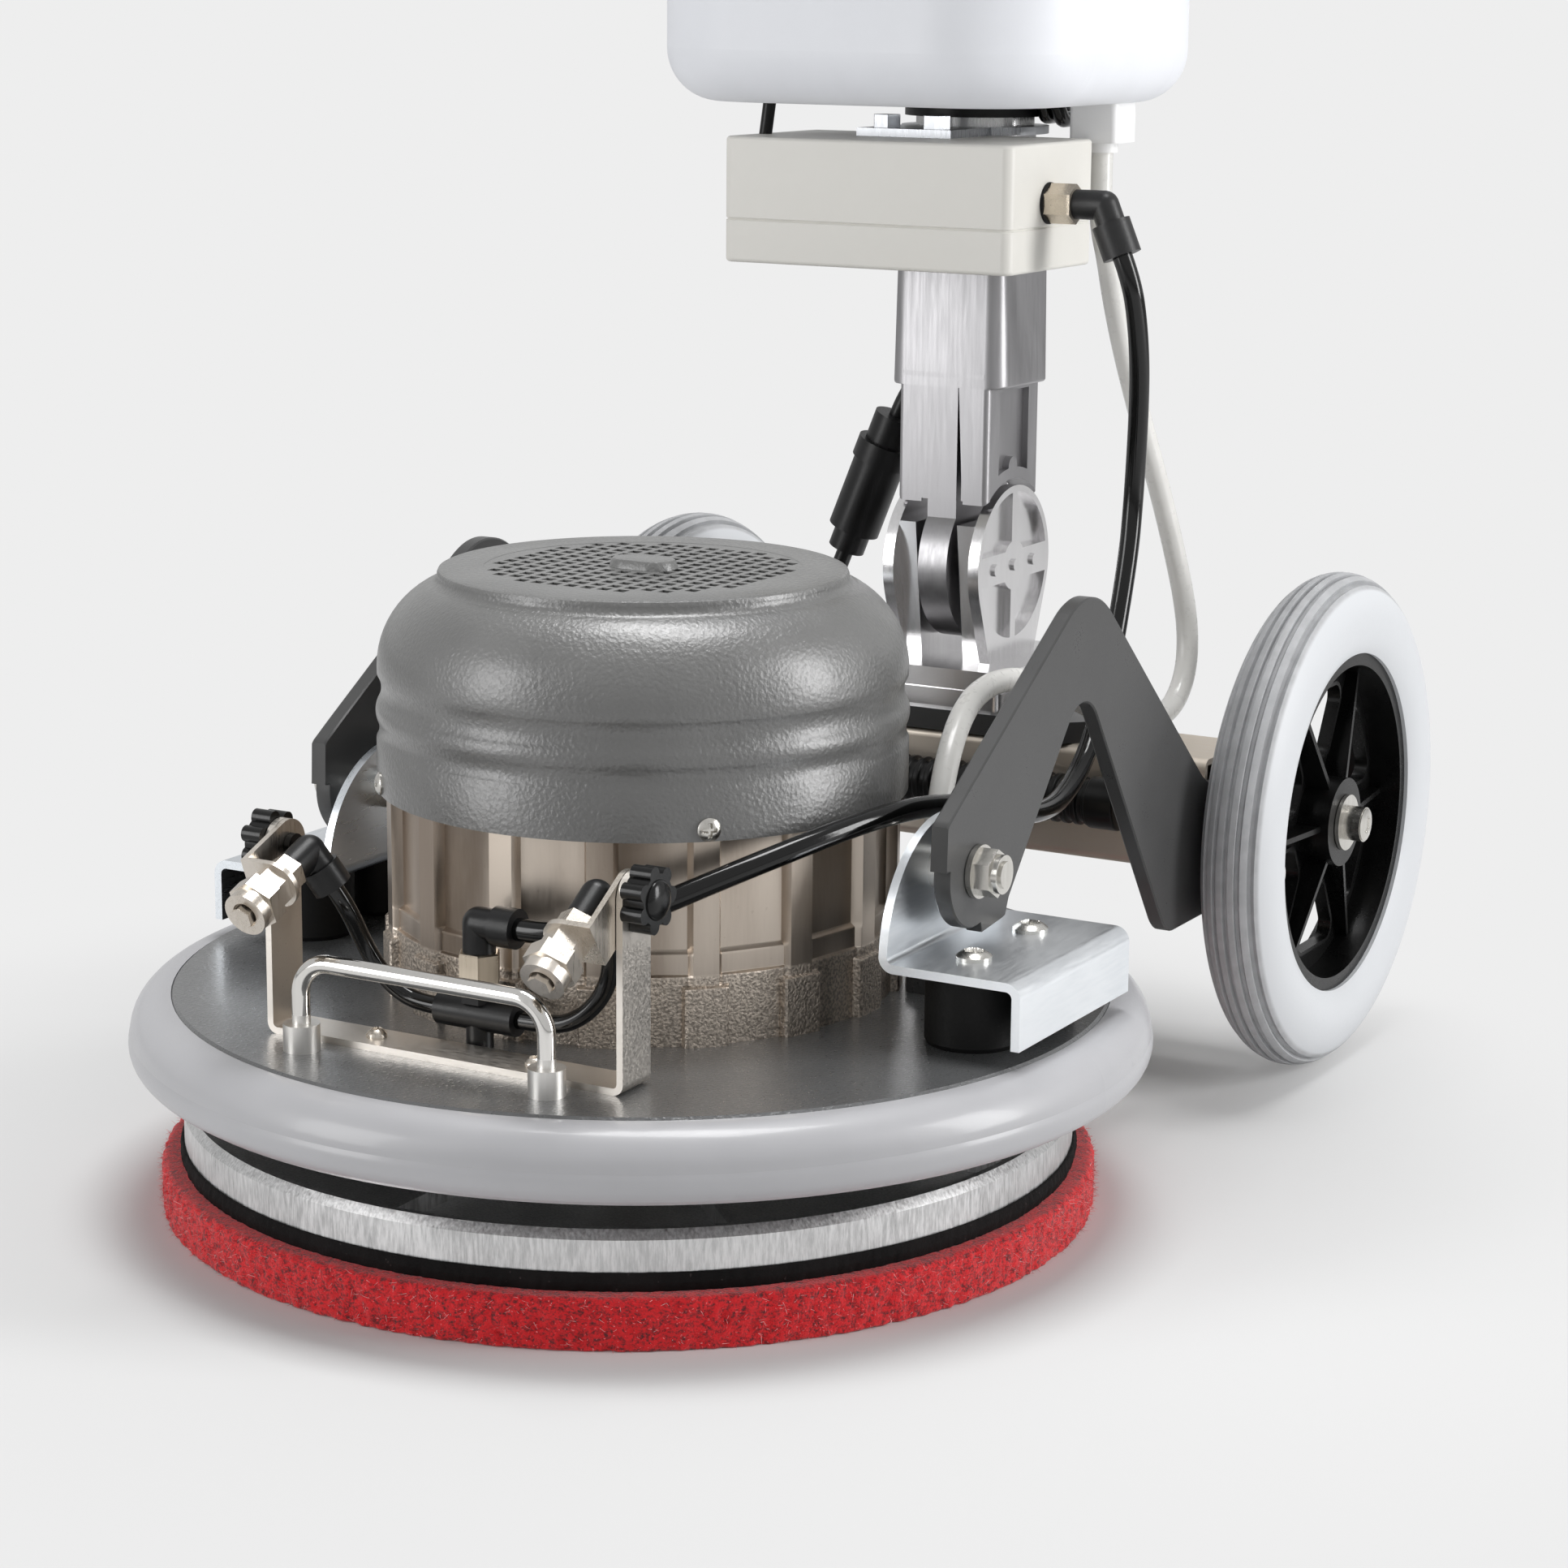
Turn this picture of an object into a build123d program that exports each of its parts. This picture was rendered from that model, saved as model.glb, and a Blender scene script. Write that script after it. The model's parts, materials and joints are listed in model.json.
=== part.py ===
"""Orbital floor machine: a pad that orbits under a round deck, with a tilting mast on two wheels.

Millimetres. The origin is on the floor under the motor axis, +Z is up and the front is -Y.
Left and right are as seen from the front, so the right side is +X.
"""

import math
import os

from build123d import *

os.makedirs("parts", exist_ok=True)

SIDES = (("left", -1), ("right", 1))

# Clearances and gaps
SHAFT_GAP = 0.1
RUNNING_GAP = 0.3
SEAT_GAP = 0.1
CUT_MARGIN = 1.0

# Pad stack
PAD_RADIUS = 216.0
PAD_THICKNESS = 23.0
PAD_EDGE = 3.0
HOOK_RADIUS = 208.0
HOOK_THICKNESS = 8.0
PLATE_RADIUS = 206.0
PLATE_RIM_HEIGHT = 18.0
PLATE_WEB = 6.0
PLATE_RIM_WALL = 6.0
PLATE_RIM_BEVEL = (3.0, 4.0)
PLATE_HUB_RADIUS = 42.0
PLATE_RIBS = 8
PLATE_RIB_WIDTH = 5.0
PLATE_RIB_DROP = 4.0
ECCENTRICITY = 7.0
PAD_BEARING_OUTER = 31.0
PAD_BEARING_INNER = 15.0
PAD_BEARING_WIDTH = 16.0
PAD_BEARING_FLOOR = 8.0

# Deck and bumper
DECK_RADIUS = 215.7
DECK_TOP = 102.0
DECK_THICKNESS = 8.0
DECK_EDGE = 1.5
DECK_SKIRT_HEIGHT = 30.0
DECK_SKIRT_WALL = 4.0
DECK_RIBS = 12
DECK_RIB_WIDTH = 5.0
DECK_RIB_DEPTH = 10.0
DECK_RIB_START = 100.0
SHAFT_HOLE_RADIUS = 18.0
BUMPER_DEPTH = 18.8
BUMPER_BOTTOM = 69.0
BUMPER_CROWN = 84.0
BUMPER_TOP_DROP = 1.0
BUMPER_SHOULDER_SHARE = 0.68
BUMPER_SHOULDER_DROP = 5.0
BUMPER_BULGE = 0.3
BUMPER_LIP = (3.0, 2.5)
BUMPER_UNDERCUT = 7.0

# Motor
PANEL_COUNT = 16
PANEL_RADIUS = 114.0
RIB_WIDTH = 13.0
RIB_RADIUS = 117.5
RIB_ROOT = 20.0
SHELF_RADIUS = 116.2
SHELF_HEIGHT = 41.5
FOOT_RING_RADIUS = 116.0
FOOT_RING_HEIGHT = 31.0
FOOT_LUG_WIDTH = 19.0
FOOT_LUG_RADIUS = 119.5
FOOT_LUG_DROP = 4.0
MOTOR_TOP = 240.0
MOTOR_END_WALL = 3.0
END_BELL_RADIUS = 86.0
ROTOR_RADIUS = 51.5
ROTOR_END_GAP = 5.0
ROTOR_CAVITY_GAP = 2.0
AIR_GAP = 0.5
SHAFT_RADIUS = 12.0
SHAFT_TOP = 268.0
SHAFT_CLEARANCE = 4.0
MOTOR_BEARING_OUTER = 26.0
MOTOR_BEARING_WIDTH = 15.0

# Fan cover
COVER_RADIUS = 121.0
COVER_BOTTOM = 193.7
COVER_TOP = 293.0
COVER_WALL = 2.5
COVER_LIP_BEVEL = 2.0
# Inset from the cover's radius and drop from its top: arcs run from every second point through the next
COVER_CURVE = [
    (28.0, 2.0),
    (27.2, 5.0),
    (24.0, 7.0),
    (7.0, 22.0),
    (0.6, 47.0),
    (2.4, 53.0),
    (1.2, 59.0),
    (-0.2, 63.0),
    (0.6, 68.0),
    (1.4, 72.0),
    (0.0, 77.0),
]
COVER_SPIGOT = 12.0
GRILLE_RADIUS = 71.0
GRILLE_HOLE = 5.6
GRILLE_PITCH = 8.6
GRILLE_BOSS_LENGTH = 33.0
GRILLE_BOSS_WIDTH = 21.0
GRILLE_BOSS_HEIGHT = 4.0
GRILLE_BOSS_TAPER = 20.0
FAN_RADIUS = 88.0
FAN_HUB_RADIUS = 26.0
FAN_BOTTOM = 244.0
FAN_HEIGHT = 20.0
FAN_BLADES = 9
FAN_BLADE_WALL = 3.0
FAN_TWIST = 18.0

# Eccentric and counterweight
ECCENTRIC_RADIUS = 26.0
ECCENTRIC_FLANGE = 8.0
ECCENTRIC_HEIGHT = 24.0
ECCENTRIC_PIN_GAP = 1.0
COUNTERWEIGHT_RADIUS = 78.0
COUNTERWEIGHT_HEIGHT = 14.0

# Terminal box behind the motor
TERMINAL_WIDTH = 64.0
TERMINAL_HEIGHT = 48.0
TERMINAL_BACK = 152.0
TERMINAL_BOTTOM = 136.0
TERMINAL_LID = 5.0
TERMINAL_LID_INSET = 2.0
TERMINAL_CORNER = 5.0
TERMINAL_SINK = 15.0
TERMINAL_GLAND_RADIUS = 9.0
TERMINAL_GLAND_LENGTH = 14.0
TERMINAL_GLAND_X = -24.0

# Carry handle
HANDLE_SPAN = 125.4
HANDLE_Y = -177.4
HANDLE_ROD = 8.0
HANDLE_HEIGHT = 40.0
HANDLE_BEND = 15.0
BOSS_RADIUS = 8.0
BOSS_HEIGHT = 12.0
ROD_SINK = 2.0

# Nozzle bracket
BRACKET_SPAN = 182.4
BRACKET_FRONT = -164.0
BRACKET_STRIP = 22.0
BRACKET_THICKNESS = 3.0
BRACKET_BEND = 5.0
NOZZLE_PIVOT_HEIGHT = 83.0
KNOB_BOLT_RADIUS = 3.0

# Nozzles, measured along the spray axis from the knob axis
NOZZLE_INSET = 18.0
NOZZLE_PITCH = {"left": 22.0, "right": 33.0}
NOZZLE_PORT_SWING = {"left": 24.0, "right": 6.0}
HOLDER_THICKNESS = 2.5
HOLDER_WIDTH = 22.0
HOLDER_REACH = 27.0
NUT_FLATS = 15.0
NUT_LENGTH = 9.0
BODY_FLATS = 16.5
BODY_LENGTH = 8.5
CAP_FLATS = 21.0
CAP_LENGTH = 8.0
COLLAR_RADIUS = 10.0
COLLAR_LENGTH = 6.0
TIP_FLATS = 9.0
TIP_LENGTH = 6.0
TIP_SINK = 3.0
TIP_GAP = 0.6
ELBOW_RADIUS = 7.2
ELBOW_ARM = 15.0
ELBOW_PORT = 19.0
ELBOW_COLLAR_RADIUS = 8.8
ELBOW_COLLAR_LENGTH = 11.0
KNOB_RADIUS = 11.0
KNOB_LOBES = 7
KNOB_LOBE_RADIUS = 3.6
KNOB_THICKNESS = 10.0
KNOB_NUT_RADIUS = 5.0
KNOB_NUT_THICKNESS = 3.0

# Spray tee on the deck
TEE_Y = -134.0
TEE_HEIGHT = 15.0
TEE_RADIUS = 7.5
TEE_SPAN = 40.0
TEE_FOOT_RADIUS = 6.0
TEE_HEX_FLATS = 15.0
TEE_HEX_LENGTH = 12.0
TEE_HEX_SINK = 2.0
FEED_ELBOW_RISE = 22.5
FEED_ELBOW_REACH = 20.0
SPRAY_HOSE = 8.0
FEED_HOSE = 10.0

# Pivot brackets, buffers and screws
PIVOT_Y = 3.0
PIVOT_Z = 173.0
PIVOT_BOLT_RADIUS = 6.0
SHEET = 4.0
SHEET_BEND = 7.0
EAR_X = 146.0
FLANGE_X = 214.0
SADDLE_Y = 12.0
SADDLE_LENGTH = 112.0
SADDLE_TOP = 139.0
FLANGE_BOTTOM = 109.3
BUFFER_RADIUS = 21.0
BUFFER_EDGE = (1.0, 2.0)
BUFFER_X = 178.0
BUFFER_SPACING = 56.0
SCREW_RADIUS = 4.0
BUTTON_RADIUS = 8.0
BUTTON_HEIGHT = 4.5
BUTTON_SHOULDER_INSET = 1.0
BUTTON_SHOULDER_SHARE = 0.6
BUTTON_FLAT_SHARE = 0.6
BOLT_HEAD_RADIUS = 9.5
BOLT_HEAD_LENGTH = 8.0
SPACER_RADIUS = 10.0
WASHER_RADIUS = 12.0
WASHER_THICKNESS = 2.5
NYLOC_FLATS = 19.0
NYLOC_LENGTH = 12.0
NYLOC_HEX_SHARE = 0.65
NYLOC_COLLAR_SHARE = 0.9
NYLOC_COLLAR_INSET = 0.8

# Arms
ARM_OUTER_X = 169.0
ARM_THICKNESS = 8.0
ARM_NOSE_Y = -25.0
ARM_NOSE_TOP = 198.4
ARM_NOTCH_Z = 177.7
ARM_NOSE_LEAN = 0.8
ARM_END_RADIUS = 25.5
ARM_PEAK_Y = 116.8
ARM_PEAK_Z = 286.0
ARM_PEAK_FILLET = 25.0
ARM_REAR_SLOPE = 0.86
ARM_CROTCH_Y = 111.3
ARM_CROTCH_Z = 241.2
ARM_CROTCH_FILLET = 19.0
ARM_HEEL_Y = 214.4
ARM_HEEL_FILLET = 14.0
ARM_FOOT_Z = 96.0
ARM_TOOTH = ((35.7, 153.4), (32.3, 145.6), (9.3, 143.2))
ARM_SHOULDER_FILLET = 40.0
ARM_CORNER = 1.2
ARM_TAIL_RADIUS = 32.5

# Wheels and axle
WHEEL_RADIUS = 128.5
AXLE_Y = 357.4
AXLE_RADIUS = 10.0
TYRE_WIDTH = 40.0
TYRE_INNER_X = 172.0
TYRE_BEAD_HALF = 15.0
TYRE_WIDEST = 105.0
TYRE_CROWN_HALF = 14.5
TYRE_CROWN_DROP = 7.0
TYRE_GROOVES = 5
TYRE_GROOVE_PITCH = 6.0
TYRE_GROOVE_WIDTH = 2.0
TYRE_GROOVE_DEPTH = 1.6
RIM_RADIUS = 88.0
RIM_WALL = 6.5
RIM_INSET = 2.0
RIM_WIDTH = 30.0
RIM_WEB = 4.0
RIM_WEB_INSET = 9.0
RIM_WINDOW_START = (34.0, 9.0)
RIM_WINDOW_END = (68.0, 28.0)
RIM_WINDOW_CORNER = 7.0
RIM_WINDOW_FRAME = 2.0
RIM_WINDOW_LIFT = 3.0
RIM_RIBS = 6
RIM_RIB_WIDTH = 2.8
RIM_RIB_HEIGHT = 17.0
RIM_RIB_TOE = 10.0
RIM_HUB_RADIUS = 23.0
AXLE_NECK_RADIUS = 7.0
AXLE_WASHER_RADIUS = 14.5
AXLE_WASHER_THICKNESS = 2.0
AXLE_HEAD_RADIUS = 9.0
AXLE_HEAD_LENGTH = 9.0

# Crossbeam and clevis
BEAM_FRONT = 275.0
BEAM_DEPTH = 60.0
BEAM_BOTTOM = 112.0
BEAM_HEIGHT = 59.0
BEAM_WALL = 3.0
BEAM_CORNER = 5.0
TOP_PLATE_HALF = 92.0
TOP_PLATE_THICKNESS = 11.0
TOP_PLATE_DEPTH = 106.0
TOP_PLATE_CHAMFER = 12.0
CLEVIS_BASE_HALF = 46.0
CLEVIS_BASE_HEIGHT = 21.0
CLEVIS_BASE_DEPTH = 98.0
CLEVIS_BASE_CORNER = 6.0
CLEVIS_SEAM = 0.8
CLEVIS_SEAM_DEPTH = 1.5
HINGE_Y = 325.0
HINGE_RISE = 49.0
HINGE_RADIUS = 8.0
HINGE_REACH = 23.0
EAR_RADIUS = 42.0
EAR_INNER = 12.1
EAR_OUTER = 27.8
EAR_DISC = 6.0
EAR_FOOT_HALF = 26.0
EAR_TOP = (36.0, 24.0)
TONGUE_HALF = 8.3
EAR_RELIEF_DEPTH = 4.0
EAR_RELIEF_RADIUS = 38.5
EAR_STRAP_HEIGHT = 15.7
EAR_RIB_WIDTH = 6.0
EAR_HUB_RADIUS = 13.0
EAR_PIN_RADIUS = 3.2
EAR_PIN_SPACING = 22.5
EAR_PIN_PROUD = 1.5

# Conduit in front of the crossbeam
CONDUIT_Z = 146.0
CONDUIT_START = -70.0
CONDUIT_END = 122.0
CONDUIT_CREST = 12.5
CONDUIT_ROOT = 10.8
CONDUIT_BORE = 9.0
CONDUIT_PITCH = 6.4
CONDUIT_END_WALL = 3.0
CONDUIT_RIB = ((0.0, CONDUIT_ROOT), (0.2, CONDUIT_CREST), (0.6, CONDUIT_CREST), (0.8, CONDUIT_ROOT))
CONDUIT_CUFF_RADIUS = 13.3
CONDUIT_CUFF_LENGTH = 16.0

# Mast foot
FOOT_HALF_WIDTH = 26.0
FOOT_DEPTH = 60.0
FOOT_ARC_RADIUS = 45.5
FOOT_EDGE = 3.0
FOOT_RISE = 98.0
FOOT_SLOT_HALF = 12.0
SLEEVE_TAPER = 55.0
SLEEVE_BOTTOM = (56.0, 67.0)
SLEEVE_TOP = (62.0, 50.0)
SLEEVE_CORNER = 16.0
SLEEVE_TOP_CORNER = 22.0
FOOT_PANEL_DEPTH = 3.5
FOOT_PANEL_WIDTH = 34.0
FOOT_PANEL_MARGIN = 6.0
FOOT_RIB_WIDTH = 10.0
FOOT_RIB_RISE = 57.0
TONGUE_RADIUS = 40.0
SPIGOT_LENGTH = 40.0
GLAND_Y = 368.0
GLAND_RADIUS = 8.0
GLAND_LIFT = 60.0
GLAND_LENGTH = 24.0

# Steering tube, tank and handle
TUBE_RADIUS = 30.5
TUBE_WALL = 3.0
TUBE_LENGTH = 505.8
SEAT_COLLAR_RADIUS = 36.0
SEAT_COLLAR_HEIGHT = 4.0
TANK_STANDOFF = 13.3
TANK_HEIGHT = 295.5
TANK_HALF_WIDTH = 114.0
TANK_FRONT = 162.0
TANK_BACK = 382.0
TANK_CORNER = 62.0
TANK_EDGE = 26.0
TANK_WALL = 4.0
NECK_Y = 245.0
NECK_RADIUS = 36.0
NECK_HEIGHT = 14.0
CAP_RADIUS = 42.0
CAP_HEIGHT = 18.0
CAP_GRIPS = 12
CAP_GROOVE_RADIUS = 2.5
OUTLET_X = 77.5
OUTLET_Y = 313.0
OUTLET_SIZE = (26.0, 26.0)
OUTLET_HEIGHT = 19.5
OUTLET_CORNER = 3.0
OUTLET_SPOUT_RADIUS = 8.0
OUTLET_SPOUT = 5.0
TANK_HOSE = 11.5
HEAD_HALF_WIDTH = 66.0
HEAD_DEPTH = 84.0
HEAD_HEIGHT = 90.0
HEAD_CORNER = 16.0
HEAD_EDGE = 8.0
HEAD_SOCKET = 26.0
GRIP_RADIUS = 15.0
GRIP_LENGTH = 150.0
GRIP_Y = 334.0
GRIP_DROP = 26.0
GRIP_SINK = 4.0
GRIP_END_ROUND = 5.0
LEVER_SHAFT_RADIUS = 5.0
LEVER_Y = 306.0
LEVER_DROP = 32.0
LEVER_SHARE = 0.8
LEVER_PADDLE = 44.0
LEVER_THICKNESS = 5.0

# Pump box in front of the mast
BOX_HALF_WIDTH = 80.0
BOX_DEPTH = 94.4
BOX_STANDOFF = 1.0
BOX_LIFT = 8.0
BOX_TRAY_HEIGHT = 21.5
BOX_COVER_HEIGHT = 40.7
BOX_SEAM_BEVEL = 0.8
BOX_EDGE = 2.0
BOX_WALL = 3.0
BOX_CORNER = 5.0
PUMP_LENGTH = 96.0
PUMP_RADIUS = 18.0
PUMP_HEAD = 34.0
PUMP_HEAD_SWELL = 4.0
PUMP_FOOT = (-32.0, -16.0)
MOUNT_THICKNESS = 4.0
MOUNT_FRONT = 250.0
MOUNT_LEFT = -29.0
MOUNT_RIGHT = 24.0
MOUNT_RING = 38.0
MOUNT_NUTS = (-18.0, 10.0)
MOUNT_NUT_Y = 262.0
MOUNT_NUT_FLATS = 13.0
MOUNT_NUT_HEIGHT = 6.5
PUMP_PORT_Y = 247.0
PUMP_PORT_Z = 446.0
PUMP_HEX_FLATS = 17.0
PUMP_HEX_LENGTH = 15.0
PUMP_ELBOW_REACH = 15.0
PUMP_ELBOW_PORT = 26.0
PUMP_ELBOW_LEAN = 23.0
PUMP_COLLAR_RADIUS = 9.6
PUMP_COLLAR_LENGTH = 17.0
PUMP_HOSE_RUN = 12.0

# Water inlet on the deck
INLET_X = 123.0
INLET_Y = 48.0
INLET_FLATS = 20.0
INLET_HEX = 8.0
INLET_BARB_RADIUS = 6.0
INLET_HEIGHT = 22.0

# Motor lead
LEAD = 9.0
CONNECTOR_TOP = (-57.0, 352.0, 322.0)
CONNECTOR_BOTTOM = (-86.0, 350.0, 248.0)
CONNECTOR_STEPS = ((0.0, 0.2, 12.0), (0.2, 0.34, 15.5), (0.34, 0.85, 14.0), (0.85, 1.0, 10.0))

# Cord points between the fittings
NOZZLE_HOSE_RUN = 12.0
NOZZLE_HOSE = {
    "left": [(-58, -138, 140.9), (-52.1, -135.2, 129.3), (-43.2, -134.3, 121.3), (-32, TEE_Y, 117)],
    "right": [(65.7, -132.8, 142), (59.8, -133.4, 130.4), (50.1, -134, 121.7), (38, TEE_Y, 117)],
}
LEAD_RUN = 15.0
SPRAY_SPLIT = (121.5, 254, 250)
SPRAY_UPPER = [
    (126.4, 251.5, 395.5),
    (126.3, 257.5, 371),
    (124, 263.4, 346.5),
    (121.7, 267.2, 322),
    (120.7, 267.2, 297.5),
    (121.04, 262.8, 273.15),
]
SPRAY_LOWER = [
    (121.96, 245.2, 226.85),
    (123.4, 228, 197.5),
    (126.2, 203, 177.6),
    (130.1, 173.4, 167.8),
    (134.2, 142.6, 167.7),
    (137.4, 111.9, 173.2),
    (139.4, 81.4, 181.4),
    (139.9, 51.1, 189.5),
    (138.5, 20.8, 195.4),
    (133.9, -9.5, 197.2),
    (125.6, -39.1, 194.7),
    (113, -67.5, 188.8),
    (94.9, -94.1, 179.9),
    (72, -116.5, 168),
    (52, -129.5, 160),
    (36, TEE_Y, 157),
]
DOSING_SPLIT = (112, 312, 178.5)
DOSING_UPPER = [
    (OUTLET_X, OUTLET_Y, 438.3),
    (78.6, 314, 427),
    (80.9, 315.4, 416),
    (82.5, 321, 394),
    (84.7, 327.7, 372.1),
    (87.5, 335.3, 350.2),
    (90.8, 343.2, 328),
    (94.5, 351.2, 305.3),
    (98.4, 358.6, 281.9),
    (102.2, 364.5, 259),
    (106, 368.6, 237),
    (109.3, 369, 216),
    (111.3, 363, 197),
    (112, 349, 183.5),
    (112, 331, 178.5),
]
DOSING_LOWER = [
    (112, 292, 178.5),
    (110.5, 270, 187.5),
    (108.9, 249, 197.5),
    (106.9, 228, 207),
    (105.3, 206, 215.5),
    (104.4, 183, 221.8),
    (104.4, 159.5, 225.7),
    (105.8, 136, 226.2),
    (108.6, 113.5, 222.8),
    (112.5, 93, 214.5),
    (116.5, 75.5, 201),
    (120, 61.5, 183),
    (122.3, 52, 162),
    (123, 48, 143),
]
LEAD_UPPER = [(0, 368, 393.4), (-9.2, 365, 378), (-23.7, 360.4, 363.4), (-39.1, 355.7, 349.4)]
LEAD_LOWER = [
    (-96.2, 342.5, 217),
    (-97.5, 327, 205),
    (-95.5, 307, 199),
    (-89.5, 285, 195),
    (-79, 263, 189.5),
    (-65, 245, 182.5),
    (-50, 230, 174),
    (-36, 216, 167),
    (-27, 200, 161.5),
    (-24, 184, 160),
]

# Heights and places that follow from the sizes above
pad_x = -ECCENTRICITY
hook_bottom = PAD_THICKNESS
plate_bottom = hook_bottom + HOOK_THICKNESS
plate_rim_top = plate_bottom + PLATE_RIM_HEIGHT
pad_bearing_bottom = plate_bottom + PAD_BEARING_FLOOR
pad_bearing_top = pad_bearing_bottom + PAD_BEARING_WIDTH
eccentric_bottom = pad_bearing_top + RUNNING_GAP
deck_bottom = DECK_TOP - DECK_THICKNESS
skirt_bottom = DECK_TOP - DECK_SKIRT_HEIGHT
lower_bearing_bottom = DECK_TOP + MOTOR_END_WALL
lower_bearing_top = lower_bearing_bottom + MOTOR_BEARING_WIDTH
upper_bearing_top = MOTOR_TOP - MOTOR_END_WALL
upper_bearing_bottom = upper_bearing_top - MOTOR_BEARING_WIDTH
rotor_bottom = lower_bearing_top + ROTOR_END_GAP
rotor_top = upper_bearing_bottom - ROTOR_END_GAP
spigot_radius = COVER_RADIUS - COVER_WALL - SEAT_GAP
bracket_x = BRACKET_SPAN / 2
bracket_y = BRACKET_FRONT + BRACKET_STRIP / 2
nozzle_pivot_z = DECK_TOP + NOZZLE_PIVOT_HEIGHT
nozzle_x = bracket_x - NOZZLE_INSET
tee_z = DECK_TOP + TEE_HEIGHT
hex_bottom = tee_z + TEE_RADIUS - TEE_HEX_SINK
feed_elbow_z = hex_bottom + TEE_HEX_LENGTH + FEED_ELBOW_RISE
terminal_face = TERMINAL_BACK + TERMINAL_LID
gland_z = TERMINAL_BOTTOM + TERMINAL_HEIGHT / 2
arm_inner_x = ARM_OUTER_X - ARM_THICKNESS
axle_z = WHEEL_RADIUS
beam_top = BEAM_BOTTOM + BEAM_HEIGHT
beam_back = BEAM_FRONT + BEAM_DEPTH
top_plate_top = beam_top + TOP_PLATE_THICKNESS
clevis_top = top_plate_top + CLEVIS_BASE_HEIGHT
hinge_z = clevis_top + HINGE_RISE
foot_front = HINGE_Y - FOOT_DEPTH / 2
foot_back = HINGE_Y + FOOT_DEPTH / 2
foot_shoulder = hinge_z + FOOT_RISE
gland_bottom = foot_shoulder + GLAND_LIFT
sleeve_waist = foot_shoulder + SLEEVE_TAPER
box_back = HINGE_Y - SLEEVE_TOP[1] / 2 - BOX_STANDOFF
box_front = box_back - BOX_DEPTH
box_bottom = sleeve_waist + BOX_LIFT
box_seam = box_bottom + BOX_TRAY_HEIGHT
box_top = box_seam + BOX_COVER_HEIGHT
tyre_middle_x = TYRE_INNER_X + TYRE_WIDTH / 2
rim_outer_x = tyre_middle_x + RIM_WIDTH / 2 - RIM_INSET
rim_inner_x = rim_outer_x - RIM_WIDTH
tube_bottom = box_top + MOUNT_THICKNESS
tube_top = tube_bottom + TUBE_LENGTH
tank_bottom = tube_bottom + TANK_STANDOFF
tank_top = tank_bottom + TANK_HEIGHT
head_bottom = tube_top - HEAD_SOCKET
head_top = head_bottom + HEAD_HEIGHT
grip_z = head_top - GRIP_DROP
lever_z = grip_z - LEVER_DROP
buffer_points = [(BUFFER_X, SADDLE_Y - BUFFER_SPACING / 2), (BUFFER_X, SADDLE_Y + BUFFER_SPACING / 2)]


def upright(x=0.0, y=0.0):
    """Plane through a vertical axis: its x is the radius and its y the height."""
    return Plane(origin=(x, y, 0), x_dir=(1, 0, 0), z_dir=(0, -1, 0))


def side_plane(x):
    """Plane across X, seen from +X: its x is the machine's Y and its y the machine's Z."""
    return Plane(origin=(x, 0, 0), x_dir=(0, 1, 0), z_dir=(1, 0, 0))


def turned(outline, x=0.0, y=0.0, mode=Mode.ADD):
    """Turn a closed outline of (radius, height) points about a vertical axis."""
    with BuildSketch(upright(x, y)) as section:
        with BuildLine():
            Polyline(*outline, close=True)
        make_face()
    revolve(section.sketch, Axis((x, y, 0), (0, 0, 1)), mode=mode)


def post(radius, bottom, top, x=0.0, y=0.0, mode=Mode.ADD):
    """Upright round post between two heights."""
    with BuildSketch(Plane.XY.offset(bottom)) as section:
        with Locations((x, y)):
            Circle(radius)
    extrude(section.sketch, amount=top - bottom, mode=mode)


def crosswise(radius, start, end, y, z, mode=Mode.ADD):
    """Round bar along X between two places."""
    with BuildSketch(side_plane(start)) as section:
        with Locations((y, z)):
            Circle(radius)
    extrude(section.sketch, amount=end - start, mode=mode)


def block(x, y, z, mode=Mode.ADD):
    """Upright block between pairs of X, Y and Z limits."""
    with BuildSketch(Plane.XY.offset(z[0])) as section:
        with Locations(((x[0] + x[1]) / 2, (y[0] + y[1]) / 2)):
            Rectangle(abs(x[1] - x[0]), y[1] - y[0])
    extrude(section.sketch, amount=z[1] - z[0], mode=mode)


def bar_along(start, direction, radius, length, mode=Mode.ADD):
    """Round bar from a point along a direction."""
    with BuildSketch(Plane(origin=start, z_dir=direction)) as section:
        Circle(radius)
    extrude(section.sketch, amount=length, mode=mode)


def hex_along(start, direction, flats, length):
    """Hexagonal bar from a point along a direction, sized across its flats."""
    with BuildSketch(Plane(origin=start, z_dir=direction)) as section:
        RegularPolygon(flats / math.sqrt(3), 6)
    extrude(section.sketch, amount=length)


def corner_radii(points):
    """Largest arc at each corner: 0.45 of the shorter run over the tangent of half the turn."""
    radii = []
    for before, corner, after in zip(points, points[1:], points[2:]):
        run_in = Vector(*corner) - Vector(*before)
        run_out = Vector(*after) - Vector(*corner)
        half_turn = math.radians(run_in.get_angle(run_out)) / 2
        radii.append(0.45 * min(run_in.length, run_out.length) / math.tan(half_turn))
    return radii


def tube_along(points, diameter):
    """Sweep a round cord along straight runs joined by the largest arcs they allow."""
    radii = corner_radii(points)
    with BuildLine():
        route = FilletPolyline(*points, radius=radii)
    with BuildSketch(Plane(origin=route @ 0, z_dir=route % 0)) as section:
        Circle(diameter / 2)
    sweep(section.sketch, path=route)
    print("radii", [round(radius) for radius in radii], "length", round(route.length, 1))
    return route.length


def report_tube(name, solid, length, diameter):
    """Print how a cord's volume compares with its section times its length."""
    print(name, "volume ratio", round(solid.volume / (math.pi * diameter**2 / 4 * length), 4))


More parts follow.
